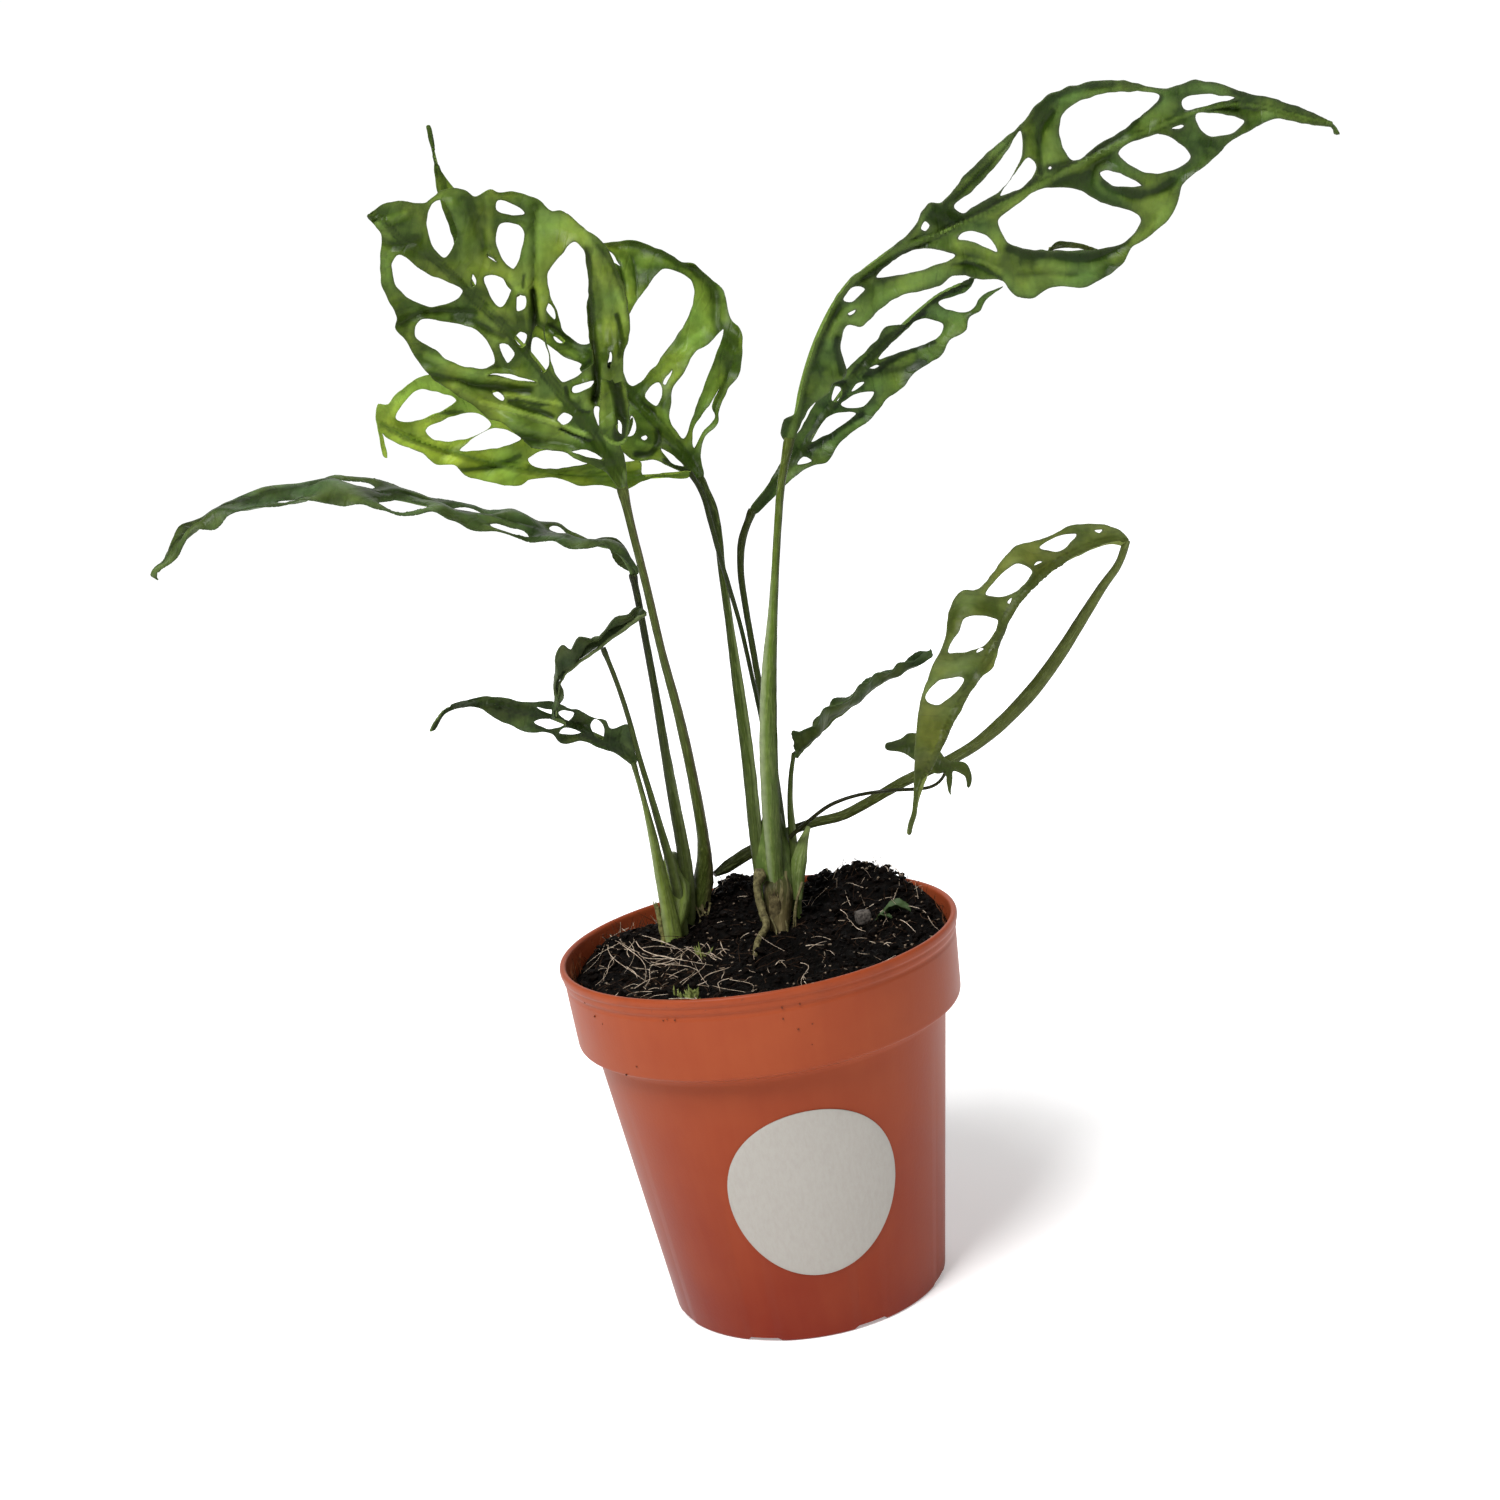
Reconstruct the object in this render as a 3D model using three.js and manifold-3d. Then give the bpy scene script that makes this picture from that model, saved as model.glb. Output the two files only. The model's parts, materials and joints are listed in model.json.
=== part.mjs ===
// A lace-leaved aroid in a nursery pot: two shoots with eleven perforated leaves.
// Millimetres, +Z up, origin at the centre of the pot's base. The front is -Y.
import * as THREE from "three";
import { mergeVertices } from "three/addons/utils/BufferGeometryUtils.js";
import { TessellateModifier } from "three/addons/modifiers/TessellateModifier.js";
import Module from "manifold-3d";

const wasm = await Module();
wasm.setup();

const GAP = 0.3;

const POT = {
  height: 112,
  rimRadius: 60,
  lipHeight: 3,
  collarHeight: 24.3,
  collarFootRadius: 58,
  bodyTopRadius: 53,
  bodyTopHeight: 84,
  bodyFootRadius: 41.8,
  wall: 1.4,
  edge: 0.6,
  lipStep: 0.9,
  floorTop: 3.2,
  footRingWidth: 4.8,
  footHeight: 1.8,
  centreRadius: 12,
  drainHoles: 8,
  drainRadius: 3,
  drainCircle: 26,
  footNotches: 8,
  notchWidth: 9,
  notchDepth: 1.2,
  sides: 48,
};

const LABEL = { radius: 25, thickness: 0.4, across: 5.6, height: 47, arcs: 18 };

// The soil's level, and the heaps that rise from it: place, rise and spread of each.
const SOIL = {
  level: 103,
  rings: [54, 50, 44, 37, 29, 20, 10],
  clearance: 0.5,
  shoulder: 0.7,
  sides: POT.sides,
  heaps: [
    { x: 2, y: 30, rise: 5, spread: 22 },
    { x: -4, y: 46, rise: 10, spread: 9 },
    { x: 38, y: 35, rise: 15, spread: 11 },
    { x: -14, y: 33, rise: 4, spread: 7 },
  ],
};

const BLADE_THICKNESS = 0.8;
const FOLD_ROUNDING = 3;
const RIPPLE_LENGTH = 5;
const RIPPLE_REACH = 20;
const OUTLINE_DETAIL = 1;
const HOLE_DETAIL = 2;
const LONGEST_EDGE = 11;
const STEM_SIDES = 8;
const STEM_STEP = 9;

// Every point of the plant is [x, z, back]: it lines up with (x, 0, z) on the upright plane
// through the pot's axis when looked at from EYE, and lies `back` behind that plane.
const EYE = new THREE.Vector3(6.2, -629.1, 295.2);

function seen(x, z, back) {
  const reach = (back - EYE.y) / -EYE.y;
  return new THREE.Vector3(EYE.x + (x - EYE.x) * reach, back, EYE.z + (z - EYE.z) * reach);
}

const GREEN = {
  leaf: 0x4f7526, lime: 0x86a833, deep: 0x33521f, olive: 0x6b7b3a, pale: 0x7e9a4a, stem: 0x3c4a1e,
};
const EARTH = {
  clay: 0xa9553a, paper: 0xc8c1ba, peat: 0x1f1713, root: 0xa38a63,
  straw: 0x9a8a5e, husk: 0x6e5a3a, stone: 0x8a8681, sprout: 0x5f8c2e,
};

// Blades that face the viewer: an outline and holes as seen, and the way the blade leans.
// `roll` tips it across the midrib, `cup` folds both halves forward, `sag` bows it back.
const FACING_BLADES = [
  {
    name: "leaf_upper_left", colour: GREEN.leaf,
    base: [-18.5, 249, 0], tip: [-76, 334, -12], roll: -0.14, cup: -0.16, sag: 5, wave: 1.2,
    outline: [
      [-19.6, 249], [-22, 253.5], [-26, 256.5], [-30, 258.8], [-34, 261.8], [-38, 262.8], [-42, 264],
      [-45, 267.5], [-49, 272], [-53, 274], [-56, 278], [-62, 283], [-66, 287], [-69, 291], [-72, 298.5],
      [-74.4, 303], [-73.5, 305.5], [-76, 315], [-75.3, 321], [-73.8, 329], [-76.3, 334], [-74, 335.7],
      [-70, 337], [-66, 336.6], [-60.5, 335.2], [-57.5, 336.8], [-53, 338.2], [-48.5, 337.2], [-46, 335],
      [-41.5, 336], [-39.5, 334.8], [-35, 334.6], [-29, 331.5], [-26, 328.2], [-22.5, 327.3],
      [-17, 321.5], [-13, 317.5], [-10.5, 311], [-9, 304], [-8.9, 297], [-9.8, 290.5], [-12, 286.5],
      [-12.9, 277], [-13, 271], [-15, 262.8], [-17, 261], [-16.5, 257.5], [-17.4, 249],
    ],
    holes: [
      [[-72.5, 316], [-72, 321], [-70, 322.5], [-63, 316.5], [-57, 312.7], [-53.7, 310.5], [-56, 308],
        [-60, 307], [-65, 307.5], [-70, 311]],
      [[-69.5, 300], [-67, 304], [-62, 303], [-53, 299.5], [-49, 294], [-48.5, 289], [-52, 288],
        [-60, 291], [-64, 294.5]],
      [[-46, 294], [-44, 293.5], [-42.5, 290.5], [-45, 288.5]],
      [[-51, 281.7], [-47, 280.5], [-40, 279], [-33.5, 275.7], [-42, 275.5], [-50, 279.7]],
      [[-33.7, 270.5], [-31.5, 272.5], [-29.3, 270.8], [-32, 269]],
      [[-31, 261.3], [-27, 261], [-22.5, 257.7], [-28.5, 259.5]],
      [[-60.8, 329], [-58, 335], [-55, 335], [-52.8, 325], [-57.5, 319.8], [-59.8, 323]],
      [[-40.8, 330.5], [-40, 332.9], [-36, 331.5], [-33.2, 328.3], [-37, 328.3]],
      [[-40.5, 326.5], [-37.5, 326.5], [-34.3, 323.8], [-38.8, 314], [-42.3, 320]],
      [[-47, 313], [-44, 312.5], [-40.5, 308.8], [-44.5, 304], [-46.8, 307]],
      [[-38.5, 307], [-36.7, 305.3], [-39.3, 302.7]],
      [[-40, 296.3], [-38, 295.3], [-40, 292.3], [-41.8, 294.5]],
      [[-29.5, 310.5], [-25, 315.5], [-21, 318.7], [-18.2, 314], [-18.4, 308], [-20.3, 297],
        [-21, 285], [-27.5, 281.5], [-30.5, 281], [-32.4, 286], [-31, 297], [-30, 304]],
      [[-36, 294], [-33.2, 291.5], [-35, 284.4], [-37.8, 290]],
      [[-28, 277.7], [-26.5, 279.5], [-21.8, 280.2], [-25, 278]],
      [[-17.2, 265], [-16.6, 268], [-15.7, 265.5], [-16.6, 263.7]],
    ],
  },
  {
    name: "leaf_upper_middle", colour: GREEN.leaf,
    base: [3.8, 248, 27.5], tip: [-55.5, 338, 32], roll: 0.12, cup: 0.1, sag: 9, wave: 1.2,
    outline: [
      [3, 247.6], [-1, 250.8], [-5, 253.5], [-9, 255.4], [-13, 255.6], [-18, 260], [-22.5, 265.5],
      [-27, 272.5], [-32, 279], [-37, 286], [-41.5, 293], [-46, 301], [-50, 309], [-53, 318],
      [-54.5, 328], [-56, 337], [-55.7, 347], [-55.9, 355.8], [-55.1, 355.8], [-54.7, 345], [-51.5, 338.2],
      [-47, 330], [-43.5, 318], [-41, 309], [-36, 306], [-34, 312], [-31, 322], [-27, 327.5], [-22, 325.5],
      [-17.5, 320.5], [-13, 317.3], [-8, 317], [-4, 316.6], [0, 314.5], [5, 311.5], [8, 309],
      [12, 307], [15, 303.5], [18.5, 299], [19.5, 291.5], [22, 287], [21.3, 281.5], [19.5, 275.5],
      [16, 272.3], [12.3, 266], [11.3, 262.5], [7, 259.5], [5.3, 255.5], [4.7, 248],
    ],
    holes: [
      [[3, 307.5], [-3, 303], [-8.5, 297], [-12, 291], [-12.5, 280], [-11, 276.7], [-5, 280.3],
        [1, 286], [7, 292.5], [10.2, 299.5], [10, 303.5]],
      [[-3.5, 276.9], [-6.5, 275.5], [-8, 273.3], [-5.2, 270.2], [-2.8, 274.2]],
      [[-2.3, 276.5], [0.9, 279.8], [-1.6, 275.8]],
      [[-2, 265.5], [-1.2, 270], [0.5, 275], [4, 278.3], [8, 283.5], [13, 285.7], [17, 288.7],
        [13, 280.5], [7, 270], [1, 260], [-0.3, 261.5]],
      [[3.6, 257], [4, 261.5], [10, 268.5], [13.5, 272.7], [10.5, 267.8], [11, 264.8], [6.4, 260.6]],
      [[-5.8, 258.2], [-3.5, 254], [-0.2, 252], [-2.5, 256]],
      [[-30.2, 309.5], [-25, 315.5], [-21, 319.2], [-17.6, 314], [-17.6, 308], [-19.8, 297],
        [-20.6, 289.8], [-25, 292.3], [-29, 297]],
      [[-37.5, 291], [-35, 296.8], [-30, 289.5], [-24, 284.6], [-21, 283.4], [-20.6, 279.5],
        [-27, 277.5], [-31, 281], [-34.5, 284.5]],
      [[-41.7, 295.5], [-39.5, 297.2], [-37.6, 295], [-40, 292.2]],
    ],
  },
  {
    name: "leaf_lower_left", colour: GREEN.lime,
    base: [1.6, 249.6, 21.5], tip: [-84, 276, 6], roll: -0.05, cup: 0.08, sag: 3, wave: 1.2,
    outline: [
      [1, 249.1], [-5, 249.8], [-10, 250.3], [-15, 248.8], [-19, 248.2], [-24, 250.5], [-31, 251.3],
      [-36, 254.3], [-44, 255.2], [-48, 253.8], [-57, 256.7], [-62, 259], [-65, 262.5], [-69.5, 263.2],
      [-73.5, 267.5], [-77, 269.5], [-82.5, 273], [-83.2, 274.5], [-83.4, 267.4], [-84.2, 268],
      [-84.4, 276], [-84, 281], [-83, 282.8], [-80.5, 282.2], [-77, 285], [-71, 288], [-67, 288.5],
      [-60, 285], [-52, 282.3], [-46, 280.3], [-39, 278.8], [-33, 275.6], [-28, 269.5], [-23, 262],
      [-19, 256.5], [-12.3, 255.3], [-12, 251.6], [-6, 251], [1.2, 250.4],
    ],
    holes: [
      [[-79, 278], [-75.5, 282.3], [-71, 285], [-66, 283.5], [-61, 280.3], [-70, 277], [-77, 276.6]],
      [[-71, 273.5], [-66, 275.5], [-56, 276], [-52.5, 272.2], [-60, 269.4], [-69.5, 270.6]],
      [[-62.5, 266.3], [-58, 269.3], [-51, 271], [-44.8, 267], [-50, 265.6]],
      [[-43.8, 261], [-42, 258.3], [-36, 257], [-25, 257.3], [-22.5, 258.4], [-27, 262], [-35, 263]],
      [[-34, 270.5], [-31.5, 272.8], [-29.2, 270.6], [-32, 268.8]],
      [[-51, 280.6], [-48, 280.6], [-46.8, 278.5], [-49.5, 278.2]],
    ],
  },
  {
    name: "leaf_top_right", colour: GREEN.leaf,
    base: [31, 255, 20], tip: [195, 318, -14], roll: 0.1, cup: -0.14, sag: -4, wave: 1.4,
    outline: [
      [29.6, 255], [28.8, 257], [30.3, 260.8], [33.3, 262], [36, 268], [40.5, 278], [43.5, 283.5],
      [50.5, 293], [55, 297.3], [65, 302.5], [73.5, 307.5], [79.5, 314.4], [83, 313.9], [90, 320],
      [100, 327], [107, 331], [114, 337], [119, 339], [130, 340], [137, 339], [149, 335.2], [157.5, 336.2],
      [165, 333.8], [170, 331.2], [179, 328], [190, 322.3], [195, 318.5], [196.2, 315.8], [194.9, 316],
      [194.2, 317.7], [187, 320], [178, 322.6], [172, 320.7], [166.5, 318.8], [158, 313], [151, 309],
      [149.5, 305.5], [146.5, 300.5], [140, 296], [135, 293.8], [132, 290], [126, 286.7], [119, 284.8],
      [111, 286.4], [105, 284], [99.5, 286], [97, 290], [91, 291.3], [84, 293.7], [79, 291.3],
      [68, 290.2], [61, 287], [56, 283.5], [52, 284.3], [49.2, 279], [49.5, 270.5], [45.5, 268.8],
      [44, 266.5], [38.5, 263.5], [34, 257.7], [32.4, 255],
    ],
    holes: [
      [[119, 332], [125, 335.5], [135, 336.3], [147, 333.6], [138, 327], [129, 323], [121, 319.7],
        [118.3, 325]],
      [[153.3, 331.5], [158, 332.3], [168, 330], [158, 328.8], [154, 328.7]],
      [[156.5, 327], [163, 326.5], [170, 323.4], [169.2, 322.1], [164.8, 320.2], [159, 321]],
      [[134, 320], [143, 323.2], [148, 322.7], [154, 315.7], [147, 312.7], [140, 314]],
      [[128, 315.3], [131, 315.6], [139.5, 310.2], [131, 311.5]],
      [[98, 306.5], [103, 309.7], [111, 313.4], [121, 311.7], [129, 306.5], [136, 303.5], [138, 300.5],
        [133, 295.5], [124, 294.6], [113, 296], [104, 298], [100, 300.5]],
      [[86.2, 303.5], [88, 305], [94.5, 303.3], [96.8, 298.4], [91, 301.5]],
      [[62, 296.4], [67.5, 300.3], [76, 302.3], [84.8, 299], [80, 297.2]],
      [[51.8, 291.5], [55, 294.7], [58.3, 293.9], [54, 290.6]],
      [[76.2, 307.6], [77.4, 309.5], [78.6, 308.2], [77.3, 306.7]],
      [[86, 312.2], [92, 316], [101, 323], [107.3, 330], [107, 323.5], [100.5, 315.3], [92, 311.6],
        [88, 310.1]],
      [[99.5, 313.2], [105, 319.3], [109, 322.6], [110.7, 319.5], [107, 315.2]],
    ],
  },
  {
    name: "leaf_middle_right", colour: GREEN.deep,
    base: [17.5, 236.5, 29], tip: [97, 288, 42], roll: -0.1, cup: -0.12, sag: 4, wave: 1.2,
    outline: [
      [16.7, 236.8], [20.5, 240.8], [26, 247], [30, 252.5], [34, 257], [40, 264.3], [43, 266.3],
      [47, 270], [54, 275], [60, 279.2], [62.5, 282], [68, 282.6], [76, 287.7], [84, 290.8], [89.5, 292],
      [87, 288.9], [83, 287.9], [78.5, 286.9], [80, 284.8], [87, 283.3], [91, 286.8], [97, 288.3],
      [92, 285.7], [90, 282.8], [86.8, 281.5], [85, 278], [80, 276], [77, 272], [69, 268.5], [65, 264.8],
      [60, 262], [55, 257.5], [50, 255], [44.5, 251.5], [41, 247.3], [35, 246.5], [28, 242.5],
      [18.4, 235.8],
    ],
    holes: [
      [[59.5, 273.8], [67, 279.8], [73, 283], [79, 280.3], [76.5, 277], [67, 275]],
      [[50.5, 265.8], [52, 267.8], [54.5, 267.8]],
      [[47, 262.5], [50, 264.5], [56.8, 264.8], [53.5, 261]],
      [[37, 253.5], [44, 260.3], [51, 259.5], [45, 256.3]],
      [[44.7, 264.3], [46.3, 268], [47.6, 267.2], [46.5, 263.8]],
      [[32, 247.8], [34.5, 249.7], [36.3, 248.2]],
    ],
  },
  {
    name: "leaf_left_small", colour: GREEN.leaf,
    base: [-28.2, 168.5, 12.5], tip: [-85, 188, -6], roll: 0.2, cup: -0.3, sag: 3, wave: 0.8,
    outline: [
      [-27.6, 168.5], [-27.3, 175], [-28, 180.2], [-33, 179.8], [-34.4, 182.8], [-38, 184], [-41.5, 186.8],
      [-43.5, 187.5], [-45.5, 188.8], [-49, 190.6], [-56, 191.5], [-66, 194.6], [-72, 194.8],
      [-80, 193], [-85.2, 187.3], [-84.2, 187.3], [-80, 192], [-74, 192.8], [-70, 192], [-66.5, 188.5],
      [-62.5, 185.8], [-58, 183], [-50.5, 181], [-48, 177.8], [-42, 177.5], [-38, 175], [-33, 172.5],
      [-28.9, 168.5],
    ],
    holes: [
      [[-38.8, 182], [-37, 183.5], [-35, 180], [-36.4, 177.2], [-38.3, 179]],
      [[-47.5, 187], [-45, 187.3], [-43, 186], [-45, 184]],
      [[-54.8, 185.5], [-50, 185.8], [-46, 183.2], [-51, 182.5]],
    ],
  },
  {
    name: "leaf_arched_right", colour: GREEN.olive,
    base: [123.2, 210.5, -3], tip: [49, 134.5, -21], roll: -0.16, cup: 0.18, sag: -7, wave: 1.2,
    outline: [
      [124.2, 211.2], [123.5, 213], [121, 215.3], [117, 217.2], [108, 218.3], [101, 216], [91, 214.5],
      [84, 208.5], [79, 204], [74, 204.3], [70, 199.5], [67.5, 191], [63, 184], [58, 174],
      [54.5, 161], [53, 152], [51, 142], [48.7, 134.6], [49.4, 134.3], [51.5, 139], [55, 149],
      [59, 154], [64, 161.5], [72, 173], [77, 178.5], [80.5, 180.7], [83, 186.5], [87, 193.5],
      [92, 199.5], [103, 207], [113, 210.5], [119, 211.7], [121.5, 211.5], [122.2, 211],
    ],
    holes: [
      [[98.5, 213.3], [104, 215.8], [109.5, 215.7], [104, 211.4]],
      [[81, 202.3], [84, 205.5], [91, 209.8], [95.3, 207], [91, 202.3], [87, 200.8]],
      [[67.7, 187], [72, 193], [74.5, 196.5], [83.5, 194], [79.5, 188], [75, 186.4]],
      [[59.4, 174.5], [64, 179], [71.5, 178.5], [66.5, 173.3], [62, 172]],
    ],
  },
  {
    name: "leaf_curled_right", colour: GREEN.deep,
    base: [62.6, 151.8, 5], tip: [48, 162, 12], roll: 0.1, cup: 0.2, sag: 3, wave: 0.3,
    outline: [
      [62.1, 151.6], [60, 151.5], [57, 153], [54, 156], [51, 159], [45.8, 161.3], [46.2, 162.8],
      [50.5, 163.5], [54, 165], [59, 163], [60.5, 164.5], [61.3, 161], [62, 157.5], [64, 154.6],
      [68.3, 153.5], [70, 149.5], [68.4, 146], [67.9, 149.3], [64.6, 151.6], [63.7, 147.5], [62.8, 144.4],
      [62.5, 147.5],
    ],
    holes: [],
  },
];

// Blades seen edge on: ribs across the midrib, each with its near, middle and far point.
const EDGE_ON_BLADES = [
  {
    name: "leaf_long_left", colour: GREEN.leaf, halfWidth: 11,
    near: [
      [-19.9, 222.9, 11], [-22.3, 228, 6], [-29, 232.5, 2], [-40, 236, 0], [-51, 238.8, -2],
      [-63, 244, -4], [-73, 249.8, -7], [-85, 251.8, -10], [-96, 255, -11], [-109, 259.5, -12],
      [-121, 258, -13], [-132, 256.6, -14], [-142, 252.7, -15], [-149, 246.8, -15.5], [-154.2, 243, -15.6],
    ],
    middle: [
      [-19.5, 223.2, 12], [-23, 229.5, 12], [-30, 234, 11], [-39, 237.5, 10], [-49, 242, 8.5],
      [-60, 246.5, 7], [-72, 251, 5], [-85, 255.5, 3], [-98, 260, 1], [-110, 262.3, -1],
      [-122, 261, -4], [-133, 258.5, -7], [-143, 254.5, -10], [-150, 248.5, -13], [-154.5, 243.2, -15],
    ],
    far: [
      [-19.1, 223.5, 13], [-25, 232.5, 17], [-29.5, 237.2, 19], [-38, 239.5, 20], [-49, 245.8, 19],
      [-58, 249, 18], [-70, 254.3, 17], [-84, 261, 14], [-97, 263.6, 12], [-108, 264, 9],
      [-121, 262.3, 5], [-132, 260.6, 0], [-143, 256, -5], [-151, 249.5, -10.5], [-154.8, 243.5, -14.4],
    ],
    // Each hole: place along the midrib from 0 to 1, place across from -1 to 1, and its half sizes.
    holes: [[0.2, 0.5, 0.035, 0.22], [0.3, -0.5, 0.035, 0.22], [0.38, 0.5, 0.035, 0.22],
      [0.48, -0.5, 0.04, 0.22], [0.56, 0.5, 0.04, 0.22], [0.66, -0.5, 0.03, 0.2]],
  },
  {
    name: "leaf_folded_left", colour: GREEN.pale, halfWidth: 6,
    near: [
      [-18, 213, 8.7], [-22.5, 212, 6], [-28.2, 210.6, 4], [-31.5, 205.8, 3], [-37, 206.5, 1],
      [-40.5, 205.5, 0], [-43.5, 206.4, -1], [-46.5, 201, -1], [-47, 194.5, 0.5], [-48, 189.3, 0.3],
      [-48.8, 185.5, -0.4],
    ],
    middle: [
      [-17.8, 212.2, 9.5], [-22, 209.3, 9], [-27, 206.3, 8], [-31.5, 203.6, 7], [-36, 201.5, 6],
      [-40, 199.8, 5], [-43.5, 197.5, 4], [-45, 195.5, 3], [-46.3, 192, 2], [-47.5, 188.5, 1],
      [-48.4, 185.3, 0],
    ],
    far: [
      [-17.8, 212.8, 10.3], [-22, 211, 12], [-27, 209, 12], [-31.5, 205.5, 11], [-36.5, 205, 11],
      [-40, 204, 10], [-43.3, 203, 9], [-45.5, 199, 6], [-45.6, 193, 3.5], [-47, 189, 1.7],
      [-48, 185.5, 0.4],
    ],
    holes: [],
  },
  {
    name: "leaf_right_small", colour: GREEN.deep, halfWidth: 7,
    near: [
      [18.2, 164, 23], [18.4, 168.5, 20], [20, 172.3, 17], [25.5, 173.8, 15], [30, 176.4, 14],
      [37, 177.9, 13.5], [43, 182.6, 13.5], [49.5, 185, 14.5], [55.5, 186.9, 15.5], [63, 187.9, 16.4],
    ],
    middle: [
      [18.8, 163.8, 24], [20.5, 165.8, 24], [23, 168, 23.5], [27, 170.8, 23], [32, 173.8, 22],
      [38, 177.2, 21], [44, 180.6, 20], [50, 183.6, 19], [56, 186, 18], [63, 187.3, 17],
    ],
    far: [
      [19.4, 163.6, 25], [19.5, 168, 28], [21.5, 171, 29.5], [26, 173, 30], [31, 175.5, 30],
      [37, 178.5, 29], [43, 182.5, 27], [49.5, 185.3, 24], [55.8, 187.3, 21], [63.2, 187.9, 17.8],
    ],
    holes: [],
  },
];

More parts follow.
